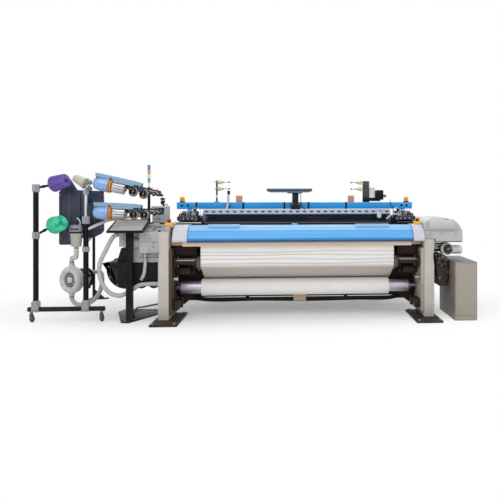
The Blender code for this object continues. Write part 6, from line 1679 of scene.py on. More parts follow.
def junction_box():
    low, high = loom_box("junction_box")
    shape = Shape("box grey")
    x = (low.x, high.x)
    y = (0.564, 0.676)
    shape.box(x, y, (LID_TOP, 1.104), 0.008, 3)
    shape.box((x[0] + 0.004, x[1] - 0.004), (0.56, 0.57), (0.935, 1.099), 0.004)
    shape.use("seam").box((x[0] + 0.001, x[1] - 0.001), (0.5695, 0.5708), (0.932, 1.102), 0)
    shape.use("zinc")
    corners = [(a, b) for a in (x[0] + 0.014, x[1] - 0.014) for b in (0.945, 1.089)]
    shape.bolts([(a, 0.56, b) for a, b in corners], FRONT, 0.007)
    shape.use("black plastic")
    gland = [(0, 0), (0, 0.012), (0.006, 0.012), (0.007, 0.01), (0.014, 0.009), (0.016, 0)]
    shape.lathe(gland, (-1.4, 0.62, 1.1035), UP, 24)
    shape.path([(-1.4, 0.62, 1.112), (-1.4, 0.62, 1.119), (-1.395, 0.63, 1.1195),
                (-1.38, 0.66, 1.119), (-1.37, 0.69, 1.1), (-1.365, 0.7, 1.02), (-1.36, 0.7, 0.96),
                (-1.36, 0.7, 0.932)], sizes().wire * 1.2, 2)
    shape.box((x[0] + 0.03, x[1] - 0.04), (0.5585, 0.562), (1.045, 1.085), 0.002)
    shape.use("signal green").rod((x[0] + 0.045, 0.559, 0.975), (x[0] + 0.045, 0.552, 0.975), 0.007)
    shape.use("stop button red")
    shape.rod((x[0] + 0.075, 0.559, 0.975), (x[0] + 0.075, 0.552, 0.975), 0.007)
    shape.piece("grey_junction_box", "housing_grey", "junction_box")


def light_tower():
    x, y, foot, top = -1.567, 0.7, LID_TOP, 1.536
    shape = Shape("bright pole")
    tall = top - foot
    lamps = tall - 0.18
    ring = 0.042
    shape.lathe([(0, 0), (0, 0.026), (0.006, 0.026), (0.01, 0.022), (0.012, 0.009),
                 (lamps - 0.01, 0.009), (lamps - 0.004, 0.0155), (lamps, 0.0155), (lamps, 0)],
                (x, y, foot))
    tones = (("lamp green", (96, 200, 130)), ("lamp clear", (236, 240, 242)),
             ("lamp amber", (246, 156, 60)), ("lamp blue", (72, 150, 226)))
    for i, (name, tone) in enumerate(tones):
        shape.use(moulded(name, screen(*tone), 0.18))
        base = foot + lamps + i * ring
        lens = [(0.0005, 0), (0.0005, 0.0145), (0.002, 0.016)]
        lens += [(0.002 + 0.0045 * k, 0.016 - 0.0005 * (k % 2)) for k in range(1, 9)]
        lens += [(ring - 0.003, 0.016), (ring - 0.0015, 0.0145), (ring - 0.0015, 0)]
        shape.lathe(lens, (x, y, base))
    shape.use("tower cap")
    cap = [(0, 0), (0, 0.016), (0.006, 0.016), (0.012, 0.011), (0.012, 0)]
    shape.lathe(cap, (x, y, top - 0.012))
    shape.piece("signal_tower", "lamp_plastic", "light_tower")


class LOOM_OT_left_end(LoomStep, bpy.types.Operator):
    """Drive housing, lower cover, junction box and light tower"""

    bl_idname = "loom.left_end"
    bl_label = "Left end"

    def execute(self, context):
        left_housing()
        lower_cover()
        junction_box()
        light_tower()
        return {'FINISHED'}


# Right end

def right_housing():
    left, end = LID_EDGE, 1.63
    low, top = 0.752, 0.99
    near, back = 0.04, 0.7
    shape = Shape("housing grey")
    shoulder = 0.17
    upper = [(left, FRAME_TOP), (OUTER + GAP, FRAME_TOP), (OUTER + GAP, low), (end - 0.01, low),
             (end, low + 0.01)]
    upper += arc((end - shoulder, top - shoulder), shoulder, 0, 90, 18)
    upper += [(left + 0.05, top), (left, top - 0.05)]
    shape.prism(upper, "Y", 0.13, back, 0.004)
    over = 0.7853
    front = [(left, over), (OUTER + 0.02, over), (OUTER + 0.02, low), (end - 0.01, low),
             (end, low + 0.01)]
    front += arc((end - shoulder, top - shoulder), shoulder, 0, 90, 18)
    front += [(left + 0.05, top), (left, top - 0.05)]
    shape.prism(front, "Y", near, 0.132, 0.006, 3)
    barrel = [(0, 0), (0, 0.04), (0.004, 0.05), (0.012, 0.058), (0.259, 0.058), (0.267, 0.05),
              (0.271, 0.04), (0.271, 0)]
    shape.lathe(barrel, (left + 0.035, near, top - 0.065), RIGHT, 48)
    shape.use("seam")
    shape.box((left + 0.002, end - 0.004), (near - 0.0012, near + 0.01), (0.8715, 0.8745), 0)
    shape.box((OUTER + 0.022, end - 0.01), (near - 0.001, near + 0.01), (0.7525, 0.762), 0)
    shape.box((end - 0.0025, end + 0.0004), (near + 0.01, back - 0.01), (0.8035, 0.806), 0)
    shape.use("zinc").bolts([(x, near, 0.835) for x in (1.3, 1.42, 1.56)], FRONT, 0.012)
    shape.bolts([(end, y, 0.785) for y in (0.12, 0.38, 0.64)], RIGHT, 0.014)
    shape.bolts([(x, back, z) for x in (1.38, 1.56) for z in (0.79, 0.92)], BACK, 0.014)
    shape.use("black plastic")
    lug = [(1.449, 0.985), (1.525, 0.975), (1.51, 0.935), (1.462, 0.905), (1.452, 0.93)]
    shape.prism(lug, "Y", near - 0.02, near + 0.004)
    for x in (1.42, 1.46, 1.5, 1.54, 1.58):
        shape.box(about(x, 0.004), (back - 0.001, back + 0.0012), (0.82, 0.9), 0)
    shape.piece("drive_housing_right", "housing_grey", "right_drive_housing")


def brake():
    x, z = 1.489, 0.68
    y = 0.098
    shape = Shape("white enamel")
    body = [(0, 0), (0, 0.05), (0.003, 0.058), (0.009, 0.062), (0.075, 0.062), (0.08, 0.058),
            (0.084, 0.058), (0.089, 0.062), (0.136, 0.062), (0.142, 0.056), (0.142, 0)]
    shape.lathe(body, (x, y, z), BACK, 48)
    side = [(0, 0), (0, 0.045), (0.11, 0.045), (0.113, 0.042), (0.116, 0.042), (0.119, 0.045),
            (0.147, 0.045), (0.155, 0.04), (0.158, 0.037), (0.162, 0.034), (0.162, 0)]
    shape.lathe(side, (x, 0.17, z - 0.01), RIGHT, 40)
    shape.use("cap steel")
    shape.lathe([(0.158, 0), (0.158, 0.02), (0.1625, 0.018), (0.1625, 0)], (x, 0.17, z - 0.01),
                RIGHT, 6)
    shape.use("dark iron").box((OUTER + GAP, x - 0.03), (0.16, 0.23), (z - 0.03, z + 0.055), 0.006)
    shape.use("zinc").box((1.348, 1.402), (0.145, 0.162), (z - 0.005, z + 0.062))
    shape.bar((1.352, 1.43), (0.15, z + 0.04), 0.011)
    shape.bar((1.362, 1.42), (0.15, z + 0.008), 0.008)
    spots = [(x + 0.051 * cos(t), y + 0.002, z + 0.051 * sin(t)) for t in (0.8, 2.4, 3.9, 5.5)]
    shape.bolts(spots, FRONT, 0.007)
    shape.piece("brake_body", "brake_white", "right_brake")
    disc = Shape("disc black")
    front = 0.07
    rim = [(0, 0), (0, 0.013), (0.005, 0.018), (0.005, 0.036), (0.001, 0.04), (0.001, 0.043),
           (0.004, 0.046), (0.019, 0.046), (0.022, 0.043), (0.022, 0.014), (0.0274, 0.014),
           (0.0274, 0)]
    disc.lathe(rim, (x, front, z), BACK, 48)
    disc.use("grip steel")
    disc.rod((x + 0.024, front - 0.012, z + 0.012), (x + 0.024, front + 0.008, z + 0.012), 0.007)
    disc.lathe([(-0.003, 0), (-0.003, 0.008), (0.001, 0.009), (0.001, 0)], (x, front, z), BACK, 6)
    disc.piece("hand_disc_face", "black_paint", "hand_disc", body="brake_disc")


def gear_motor():
    x, z, r = 1.435, 0.56, 0.065
    low = 0.31
    shape = Shape("motor brown")
    outline = arc((x, z), r, -20, 200, 22)
    outline += [(x - 0.045, low + 0.05), (x - 0.03, low), (x + 0.055, low), (x + 0.066, low + 0.09)]
    shape.prism(outline, "Y", 0.11, 0.24, 0.008, 3)
    shape.prism(outline, "Y", 0.2395, 0.4, 0.006)
    shape.lathe([(0, 0), (0, 0.04), (0.004, 0.05), (0.01, 0.055), (0.035, 0.055)], (x, 0.08, z),
                BACK, 40)
    shape.box((OUTER + GAP, x - 0.02), (0.18, 0.34), (0.4, 0.6), 0.004)
    for i in range(8):
        y = 0.265 + 0.016 * i
        fin = arc((x, z), r + 0.0045, 10, 170, 16)
        fin += arc((x, z), r - 0.004, 170, 10, 16)
        shape.prism(fin, "Y", y, y + 0.005, 0)
    for dy in (0.15, 0.2):
        rib = [(x - 0.052, low + 0.06), (x + 0.061, low + 0.06), (x + 0.061, low + 0.068),
               (x - 0.052, low + 0.068)]
        shape.prism([(a, b + (dy - 0.15) * 1.4) for a, b in rib], "Y", 0.1065, 0.12, 0.002)
    shape.use("zinc")
    shape.bolts(((1.439, 0.08, 0.6), (1.497, 0.11, 0.45), (1.415, 0.11, 0.392)), FRONT, 0.014)
    spots = [(x + 0.043 * cos(t), 0.0815, z + 0.043 * sin(t))
             for t in (i * pi / 3 + 0.3 for i in range(6))]
    shape.bolts(spots, FRONT, 0.009)
    shape.use("black plastic")
    shape.lathe([(-0.003, 0), (-0.003, 0.016), (0.002, 0.018), (0.002, 0)], (x, 0.08, z), BACK, 24)
    shape.piece("geared_motor", "dark_metal", "gear_motor")


def cabinet():
    left, right = 1.515, 1.738
    near, back, top = -0.1, 0.55, 0.57

    def make(look):
        base, patches = worn(look, colours().cabinet, 0.14, 2.6)
        lid = look.z.above(top - 0.004)
        # Painted shade: the cabinet's left face is mixed darker, standing in for the shade on that
        # side.
        side = 1 - look.x.above(left + 0.0015)
        base = look.mix(lid, base, screen(112, 116, 120))
        base = look.mix(side * 0.75, base, screen(112, 102, 96))
        scuffs = look.noise(6, 5, (1, 1, 7)).above(0.66, 0.04)
        base = look.mix(scuffs * 0.18, base, screen(110, 100, 90))
        grain = look.noise(330, 2)
        return look.finish(base, patches * 0.15 + 0.4, 0, grain, 0.0004)
    flank = right - 0.0014
    shape = Shape(finish_of("cabinet paint", make))
    shape.box((left, flank), (near + 0.006, back - 0.0014), (0, top), 0.005, 3)
    shape.box((left + 0.008, right - 0.008), (near, near + 0.012), (0.05, top - 0.012), 0.004)
    for dz in (0.385, 0.445):
        shape.box((OUTER + GAP, left + 0.01), (0.43, 0.51), (dz - 0.005, dz + 0.025), 0.004)
    shape.box((OUTER + GAP, left + 0.01), (0.435, 0.505), (0.4, 0.45), 0)
    shape.use("seam")
    shape.box((left + 0.006, right - 0.006), (near + 0.0055, near + 0.009), (0.048, top - 0.01), 0)
    for z in (0.05, top - 0.03):
        shape.box((flank - 0.001, flank + 0.0006), (near + 0.03, back - 0.03), (z, z + 0.003), 0)
    for y in (near + 0.03, back - 0.033):
        shape.box((flank - 0.001, flank + 0.0006), (y, y + 0.003), (0.05, top - 0.03), 0)
    rows = sizes().cabinet_vents
    for i in range(rows):
        z = 0.33 + 0.016 * i
        shape.box((flank - 0.001, flank + 0.0012), (0.1, 0.34), (z, z + 0.0055), 0)
        shape.box((left + 0.06, right - 0.06), (back - 0.002, back - 0.0002), (z, z + 0.0055), 0)
    shape.piece("electrical_cabinet", "cabinet_grey", "control_cabinet")


class LOOM_OT_right_end(LoomStep, bpy.types.Operator):
    """Drive housing with its barrel, brake with hand disc, gear motor and control cabinet"""

    bl_idname = "loom.right_end"
    bl_label = "Right end"

    def execute(self, context):
        right_housing()
        brake()
        gear_motor()
        cabinet()
        return {'FINISHED'}


# Weft feeders on their stand

FEEDER_Y = 0.1


class FeederAxis:
    """Places along and above a feeder's axis, which leans down to the right."""

    def __init__(self, start, tilt):
        self.start = Vector((start[0], FEEDER_Y, start[1]))
        self.way = Vector((cos(radians(tilt)), 0, -sin(radians(tilt))))
        self.up = Vector((sin(radians(tilt)), 0, cos(radians(tilt))))
        self.turn = Matrix.Rotation(radians(tilt), 3, 'Y')

    def at(self, along, above=0, aside=0):
        return self.start + self.way * along + self.up * above + Vector((0, aside, 0))

    def block(self, shape, along, aside, above, edge=0.003, segments=2):
        limits = (along, aside, above)
        size = [high - low for low, high in limits]
        middle = [(low + high) / 2 for low, high in limits]
        shape.slab(self.at(middle[0], middle[2], middle[1]), size, self.turn, edge, segments)


UPPER_AXIS = FeederAxis((-1.81, 1.311), 13)
LOWER_AXIS = FeederAxis((-1.81, 1.05), 3)


def feeder(word, axis):
    shape = Shape("feeder blue")
    block = partial(axis.block, shape)
    body = [(0, 0), (0, 0.03), (0.003, 0.036), (0.01, 0.048), (0.022, 0.058), (0.05, 0.0645),
            (0.085, 0.068), (0.118, 0.0695), (0.12, 0.0665), (0.124, 0.0665), (0.126, 0.07),
            (0.142, 0.07), (0.145, 0.067), (0.145, 0)]
    shape.lathe(body, axis.at(-0.151), axis.way, 48)
    block((-0.135, -0.006), (-0.042, 0.042), (0.02, 0.082), 0.006)
    shape.use("feeder roof")
    block((-0.147, 0.3), (-0.045, 0.045), (0.076, 0.094), 0.006, 3)
    block((0.028, 0.3), (-0.045, 0.045), (0.0595, 0.08), 0.004)
    block((0.028, 0.23), (-0.045, -0.038), (0.044, 0.062))
    block((-0.14, -0.004), (-0.045, 0.045), (0.06, 0.08), 0.004)
    shape.use("feeder blue")
    block((-0.1, 0.245), (-0.03, 0.03), (0.0935, 0.0975), 0.0015)
    shape.use("black plastic")
    for i in range(7):
        block((-0.128 + 0.014 * i, -0.122 + 0.014 * i), (-0.0435, 0.0435), (0.036, 0.068), 0)
    block((-0.152, -0.147), (-0.03, 0.03), (-0.012, 0.03))
    shape.lathe([(-0.006, 0), (-0.006, 0.006), (-0.004, 0.012), (0.004, 0.014), (0.004, 0)],
                axis.at(-0.151), axis.way, 24)
    feeder_drum(shape, axis)
    feeder_bar(shape, axis)
    shape.piece(word + "_weft_feeder", "feeder_blue", word + "_feeder")
    feeder_ring(word, axis)


def feeder_drum(shape, axis):
    shape.use("black plastic").rod(axis.at(-0.02), axis.at(0.05), 0.016, 24)
    shape.rod(axis.at(0.032), axis.at(0.15), 0.044, 40)
    count = sizes().feeder_fingers
    shape.use("drum silver")
    for i in range(count):
        turn = 2 * pi * i / count
        spin = axis.turn @ Matrix.Rotation(turn, 3, 'X')
        out = spin @ Vector((0, 0, 1))
        side = spin @ Vector((0, 1, 0))
        middle = axis.at(0.0905) + out * 0.0505
        shape.slab(middle, (0.121, 0.0225, 0.0105), spin, 0.0035, 3)
        shape.rod(axis.at(0.04) + out * 0.0555 + side * 0.004,
                  axis.at(0.145) + out * 0.0545 + side * 0.004, 0.0016, 8)
    shape.lathe([(0.03, 0), (0.03, 0.05), (0.033, 0.055), (0.037, 0.05), (0.037, 0)], axis.at(0),
                axis.way, 48)
    tip = [(0.147, 0), (0.147, 0.048), (0.151, 0.05), (0.155, 0.044), (0.158, 0.03), (0.163, 0.026),
           (0.168, 0.012), (0.169, 0)]
    shape.lathe(tip, axis.at(0), axis.way, 48)
    shape.use(wound("wound weft %d" % round(1000 * axis.start.z), screen(214, 206, 196),
                    tuple(axis.way), tuple(axis.start), (0, 1, 0), tuple(axis.up), 0.0016))
    coil = [(0.042, 0.044), (0.042, 0.0562), (0.043, 0.0572)]
    coil += [(0.043 + 0.003 * i, 0.0574 - 0.0004 * (i % 2)) for i in range(1, 6)]
    coil += [(0.06, 0.0562), (0.06, 0.044)]
    shape.lathe(coil, axis.at(0), axis.way, 48)


def feeder_bar(shape, axis):
    block = partial(axis.block, shape)
    shape.use("feeder bar slate")
    block((0.177, 0.49), (-0.026, 0.026), (0.004, 0.052), 0.006, 3)
    block((0.177, 0.3), (-0.03, 0.03), (0.03, 0.0855), 0.006)
    shape.use("black plastic")
    block((0.16, 0.18), (-0.024, 0.024), (0.006, 0.062), 0.004)
    for along, wide, low, high in ((0.196, 0.018, -0.014, 0.03), (0.262, 0.014, 0.012, 0.058),
                                   (0.3, 0.02, -0.01, 0.044), (0.366, 0.016, 0, 0.05),
                                   (0.42, 0.02, -0.006, 0.038), (0.462, 0.014, 0.004, 0.046)):
        block((along, along + wide), (-0.036, -0.022), (low, high))
    block((0.3, 0.485), (-0.022, 0.022), (0.0515, 0.0575), 0.002)
    block((0.19, 0.29), (-0.0305, 0.0305), (0.06, 0.064), 0)
    shape.use("drum silver")
    block((0.345, 0.475), (-0.0268, 0.0268), (0.036, 0.042), 0.001)
    shape.bolts([axis.at(0.2, 0.045, -0.03), axis.at(0.28, 0.045, -0.03)], FRONT, 0.008)
    way = Vector((0.35, 0.93, -0.05))
    for along in (0.23, 0.33):
        place = axis.at(along, -0.004, -0.026)
        shape.use("brake ring grey")
        ring = [(0, 0.038), (0, 0.042), (0.002, 0.046), (0.006, 0.0505), (0.012, 0.051),
                (0.018, 0.0505), (0.022, 0.046), (0.024, 0.042), (0.024, 0.038), (0, 0.038)]
        shape.lathe(ring, place, way, 44)
        shape.use("black plastic")
        shape.lathe([(0.005, 0.0078), (0.003, 0.03), (0.006, 0.0385), (0.02, 0.0385),
                     (0.02, 0.0078), (0.005, 0.0078)], place, way, 40)
        shape.use("drum silver")
        for turn in (0.6, 2.7, 4.8):
            spot = axis.at(along, -0.004 + 0.031 * sin(turn), -0.025)
            shape.bolts([spot + Vector((0.031 * cos(turn), 0, 0))], FRONT, 0.01)
        shape.use("eyelet orange")
        shape.lathe(washer(0, 0.02, 0.004, 0.008), place, way, 30)
    shape.use("black plastic").rod(axis.at(0.475, 0.02), axis.at(0.513, 0.02), 0.012, 24)
    shape.use("eyelet orange")
    shape.lathe([(0.506, 0.004), (0.506, 0.0105), (0.51, 0.0118), (0.5145, 0.009), (0.5145, 0.004),
                 (0.506, 0.004)], axis.at(0, 0.02), axis.way, 30)
    for along, above in ((0.395, 0.068), (0.447, 0.0665)):
        base = axis.at(along, above, 0)
        shape.lathe([(-0.004, 0.006), (-0.004, 0.01), (0, 0.0125), (0.004, 0.01), (0.004, 0.006),
                     (-0.004, 0.006)], base, axis.way, 28)
    for along, above in ((0.285, 0.068), (0.374, 0.018), (0.428, 0.02), (0.469, 0.028)):
        shape.rod(axis.at(along, above, -0.033), axis.at(along, above, -0.0385), 0.0075)
    shape.use("drum silver")
    for along in (0.395, 0.447):
        shape.rod(axis.at(along, 0.052), axis.at(along, 0.06), 0.003, 12)
    for along, above in ((0.205, 0.018), (0.309, 0.03), (0.385, 0.038)):
        shape.rod(axis.at(along, above, -0.03), axis.at(along, above, -0.039), 0.0045, 14)


def feeder_ring(word, axis):
    ring = Shape("winding ring orange")
    rim = [(0.004, 0.0166), (0.004, 0.058), (0.0015, 0.062), (0, 0.065), (0, 0.0685),
           (0.0015, 0.07), (0.022, 0.0675), (0.024, 0.066), (0.024, 0.059), (0.0225, 0.0575),
           (0.012, 0.056), (0.012, 0.0166), (0.004, 0.0166)]
    ring.lathe(rim, axis.at(0), axis.way, 56)
    ring.use("black plastic")
    ring.lathe([(0.0105, 0.0665), (0.0105, 0.0702), (0.0135, 0.0698), (0.0135, 0.0665),
                (0.0105, 0.0665)], axis.at(0), axis.way, 56)
    ring.piece(word + "_winding_ring", "ring_orange", word + "_feeder_ring", body=word + "_ring")


def feeder_stand():
    top = loom_box("feeder_stand")[1].z
    x, y, foot = -1.5, 0.385, LID_TOP
    bar_back = 0.1303
    shape = Shape("stand black")
    shape.post((x, y), (foot, top), 0.014, 32)
    shape.box(about(x, 0.04), (y - 0.015, y + 0.04), (foot, foot + 0.01), 0.002)
    for axis in (UPPER_AXIS, LOWER_AXIS):
        along = (x - axis.start.x) / axis.way.x
        z = axis.at(along, 0.03).z
        shape.use("stand black").box(about(x, 0.012), (bar_back, y), about(z, 0.01))
        shape.post((x, y), (z - 0.022, z + 0.022), 0.0205, 28)
        shape.use("zinc").bolts([(x + 0.012, 0.32, z)], RIGHT, 0.009)
        shape.lathe([(0.018, 0), (0.018, 0.006), (0.034, 0.006), (0.036, 0.01), (0.044, 0.01),
                     (0.046, 0)], (x, y, z), (0.3, 1, 0), 20)
    shape.bolts([(x + dx, y + 0.022, foot + 0.01) for dx in (-0.028, 0.028)], UP, 0.01)
    shape.piece("feeder_post", "black_paint", "feeder_stand")
    shape = Shape("black plastic")
    shape.box((-1.43, -1.4), (0.62, 0.66), (1.12, 1.14))
    for z in (1.15, 1.178):
        shape.bar((-1.435, -1.39), (0.64, z), 0.012, 24)
    shape.post((-1.412, 0.64), (1.105, 1.19), 0.005, 16)
    shape.use("eyelet orange")
    for x, z in ((-1.43, 1.15), (-1.395, 1.178)):
        shape.lathe(washer(-0.004, 0.004, 0.005, 0.0125), (x, 0.64, z), RIGHT, 24)
    shape.piece("weft_guide", "black_paint")


class LOOM_OT_feeders(LoomStep, bpy.types.Operator):
    """Two weft feeders with winding rings, slotted drums and ring brakes, and their stand"""

    bl_idname = "loom.feeders"
    bl_label = "Weft feeders"

    def execute(self, context):
        feeder("upper", UPPER_AXIS)
        feeder("lower", LOWER_AXIS)
        feeder_stand()
        return {'FINISHED'}


# Operator terminal

PANEL_TURN = Matrix.Rotation(radians(15.5), 3, 'X')
PANEL_EDGE = Vector((-1.646, 0, 0.88))
PANEL_HALF = 0.17
PANEL_RUN = 0.364
POST_X = -1.629


def on_panel(across, back, above=0):
    """A place across from the panel's middle, back from its front edge and above its face."""
    return PANEL_EDGE + PANEL_TURN @ Vector((across, back, above))


def terminal_panel():
    middle = PANEL_RUN / 2
    rim = 0.018
    shape = Shape("black plastic")
    size = (2 * PANEL_HALF, PANEL_RUN, 0.018)
    shape.slab(on_panel(0, middle, -0.013), size, PANEL_TURN, 0.004, 3)
    shape.slab(on_panel(0, middle, -0.03), (0.2, 0.24, 0.018), PANEL_TURN, 0.005)
    for side in SIDES:
        place = on_panel(side * (PANEL_HALF - rim / 2), middle, -0.007)
        shape.slab(place, (rim, PANEL_RUN, 0.014), PANEL_TURN, 0.003)
        place = on_panel(0, middle + side * (middle - rim / 2), -0.007)
        shape.slab(place, (2 * PANEL_HALF, rim, 0.014), PANEL_TURN, 0.003)

    def make(look):
        smears = look.noise(9, 4, (1, 4, 1)).above(0.5, 0.2)
        base = look.mix(smears * 0.5, screen(186, 186, 182), screen(138, 140, 140))
        grain = look.noise(240, 2)
        base = look.mix(grain.above(0.6, 0.1) * 0.3, base, screen(198, 198, 194))
        return look.finish(base, smears * 0.2 + 0.3, 0, grain, 0.00015)
    shape.use(finish_of("panel face", make))
    face = (2 * (PANEL_HALF - rim) - 0.002, PANEL_RUN - 2 * rim - 0.002, 0.002)
    shape.slab(on_panel(0, middle, -0.0042), face, PANEL_TURN, 0)
    shape.use("zinc")
    for across in (-0.075, 0.075):
        for back in (0.12, 0.26):
            foot = on_panel(across, back, -0.0035)
            shape.rod(foot, on_panel(across, back, -0.001), 0.0045, 16)
    for side in SIDES:
        corner = on_panel(side * (PANEL_HALF - 0.009), 0.009, -0.0005)
        shape.slab(corner, (0.014, 0.014, 0.003), PANEL_TURN, 0.001)
    shape.use("black plastic").rod(on_panel(0.05, 0.22, -0.038), on_panel(0.05, 0.22, -0.06), 0.01)
    shape.path([on_panel(0.05, 0.22, -0.058), on_panel(0.05, 0.22, -0.085),
                on_panel(0.045, 0.205, -0.12), (POST_X + 0.02, 0.1555, 0.76)], 0.0045, 2)
    shape.piece("sloped_terminal", "black_paint", "terminal_panel")


def terminal_stand():
    shape = Shape("stand black")
    rise = 0.2773
    under = 0.8565
    post = [(y, 0.012) for y in (0.105, 0.155)]
    post += [(y, under + y * rise) for y in (0.155, 0.105)]
    shape.prism(post, "X", POST_X - 0.032, POST_X + 0.032, 0.005, 3)
    plate = [(-1.85, 0.567), (-1.689, 0.035), (-1.611, 0.01), (-1.42, 0.425), (-1.472, 0.69),
             (-1.81, 0.736)]
    shape.use("floor plate black").prism(plate, "Z", 0, 0.014)
    shape.box(about(POST_X, 0.048), (0.089, 0.171), (0.0135, 0.02), 0.002)
    for side in SIDES:
        gusset = [(0.155, 0.015), (0.24, 0.015), (0.155, 0.1)]
        near = POST_X + side * 0.026
        shape.prism(gusset, "X", near - 0.003, near + 0.003, 0.001)
    shape.use("zinc")
    shape.bolts([(POST_X + dx, y, 0.02) for dx in (-0.04, 0.04) for y in (0.097, 0.163)], UP, 0.009)
    shape.bolts([(-1.655, 0.06, 0.014), (-1.795, 0.69, 0.014), (-1.49, 0.66, 0.014)], UP, 0.016)
    shape.piece("terminal_post", "black_paint", "terminal_stand")


class LOOM_OT_terminal(LoomStep, bpy.types.Operator):
    """Sloped operator panel on a square post and splayed base plate, with its cable"""

    bl_idname = "loom.terminal"
    bl_label = "Operator terminal"

    def execute(self, context):
        terminal_panel()
        terminal_stand()
        cable = Shape("cable black")
        route = [(POST_X, 0.1553, 0.045), (POST_X, 0.185, 0.045), (-1.635, 0.25, 0.03),
                 (-1.66, 0.4, 0.0235), (-1.69, 0.62, 0.0235), (-1.69, 0.75, 0.0235),
                 (-1.67, 0.83, 0.012), (-1.6, 0.93, 0.012), (-1.5, 0.985, 0.03), (-1.42, 1, 0.12),
                 (-1.38, 1.01, 0.18), (-1.3353, 1.01, 0.2)]
        cable.path(route, 0.008, 3)
        cable.piece("terminal_lead", "cable_black", "terminal_cable")
        return {'FINISHED'}


# Yarn creel

CREEL_Y = 0.12
LEFT_POST = -2.504
RIGHT_POST = -2.038
CASTORS = (("left", -2.5455), ("right", -1.8925))
CONES = {
    "purple": ((-2.345, 0.13, 1.325), (0.86, -0.42, 0.22), 0.16, 0.078, 0.066),
    "green": ((-2.337, 0.135, 0.93), (0.66, -0.72, 0.18), 0.14, 0.084, 0.074),
    "cream": ((-2.055, 0.14, 1.335), (-0.8, 0.2, 0.42), 0.12, 0.052, 0.036),
}
BLOWER_BASE = Vector((-2.241, 0.22, 0.388))
BLOWER_WAY = Vector((sin(radians(28)), cos(radians(28)), 0))


def cone_base(name):
    base, way = CONES[name][:2]
    return Vector(base), Vector(way).normalized()


def clamp(shape, x, z, tall, radius):
    """A split clamp round a post, closed by two screws in front."""
    shape.use("clamp grey")
    half = tall / 2
    shape.post((x, CREEL_Y), (z - half, z + half), radius, 28, 0.003)
    front = CREEL_Y - radius
    shape.box(about(x, 0.011), (front - 0.012, front + 0.01), (z - half * 0.8, z + half * 0.8))
    shape.use("zinc")
    for side in SIDES:
        shape.bolts([(x + 0.011, front - 0.004, z + side * half * 0.45)], RIGHT, 0.008)


def cone_arm(shape, z, name):
    """Rod from the left post to a ball joint behind a cone, and its peg and seat."""
    base, way = cone_base(name)
    joint = base - way * 0.05
    shape.use("black plastic").rod((LEFT_POST, 0.124, z + 0.003), joint, 0.0115)
    shape.rod(joint, base + way * 0.002, 0.009, 16)
    ball = [(0.018 * cos(t), 0.018 * sin(t)) for t in (pi - pi * i / 12 for i in range(13))]
    shape.lathe([(a, max(r, 0)) for a, r in ball], joint, way, 24)
    shape.rod(base - way * 0.024, base - way * 0.0003, 0.02, 28, 0.003)
    middle = Vector((LEFT_POST, 0.124, z + 0.003)).lerp(joint, 0.45)
    along = (joint - middle).normalized()
    shape.rod(middle, middle + along * 0.022, 0.015, 20, 0.003)


def creel_posts():
    shape = Shape("stand black")
    shape.bar((-2.578, -1.86), (CREEL_Y, 0.127), 0.023, 32, 0.003)
    shape.post((LEFT_POST, CREEL_Y), (0.18, 1.32), 0.025, 32, 0.003)
    shape.post((RIGHT_POST, CREEL_Y), (0.18, 0.985), 0.025, 32, 0.003)
    for x in (LEFT_POST, RIGHT_POST):
        shape.use("clamp grey").box(about(x, 0.034), (0.084, 0.156), (0.103, 0.202), 0.008, 3)
        shape.post((x, CREEL_Y), (0.19, 0.212), 0.031, 28, 0.003)
        shape.use("zinc")
        shape.bolts([(x + dx, 0.084, z) for dx in (-0.021, 0.021) for z in (0.122, 0.183)], FRONT,
                    0.012)
    for _, x in CASTORS:
        shape.use("zinc").post((x, CREEL_Y), (0.098, 0.115), 0.017, 24)
    clamp(shape, LEFT_POST, 1.286, 0.075, 0.034)
    clamp(shape, LEFT_POST, 0.835, 0.065, 0.034)
    cone_arm(shape, 1.286, "purple")
    cone_arm(shape, 0.835, "green")
    shape.use("bright pole").post((RIGHT_POST, CREEL_Y), (0.95, 1.27), 0.015, 28)
    clamp(shape, RIGHT_POST, 0.98, 0.072, 0.036)
    clamp(shape, RIGHT_POST, 0.7, 0.05, 0.034)
    clamp(shape, RIGHT_POST, 1.25, 0.05, 0.027)
    base, way = cone_base("cream")
    shape.use("cone disc")
    disc = [(-0.012, 0), (-0.012, 0.05), (-0.009, 0.055), (-0.003, 0.055), (-0.0003, 0.052),
            (-0.0003, 0)]
    shape.lathe(disc, base, way, 36)
    shape.use("zinc").rod((RIGHT_POST, CREEL_Y, 1.25), base - way * 0.01, 0.009, 16)
    for z in (1.285, 1.345):
        shape.rod((RIGHT_POST, CREEL_Y, 1.26), (RIGHT_POST + 0.055, 0.09, z), 0.006, 12)
        way = Vector((0.014, -0.006, 0.008))
        middle = Vector((RIGHT_POST + 0.04, 0.095, z - 0.006))
        plates = [(0, 0), (0.001, 0.018), (0, 0.022), (0.002, 0.024), (0.006, 0.015),
                  (0.011, 0.015), (0.015, 0.024), (0.0165, 0.022), (0.0155, 0.018), (0.0165, 0)]
        shape.lathe(plates, middle, way, 28)
    shape.use("tie grey")
    tie = [(RIGHT_POST, CREEL_Y, 0.885), (-1.85, 0.18, 0.975), (-1.62, 0.385, 1.01)]
    tie.append((-1.5143, 0.385, 1.01))
    shape.path(tie, 0.015, 5, smooth=False)
    shape.use("black plastic")
    for share in (0.3, 0.55, 0.8):
        place = Vector(tie[0]).lerp(Vector(tie[1]), share)
        shape.rod(place, place + Vector((0, 0, 0.045)), 0.006, 12)
        shape.lathe(washer(-0.006, 0.006, 0.006, 0.013), place + Vector((0, 0, 0.052)),
                    (0.9, 0.3, 0.4), 24)
    shape.piece("creel_posts", "black_paint", "creel_frame")


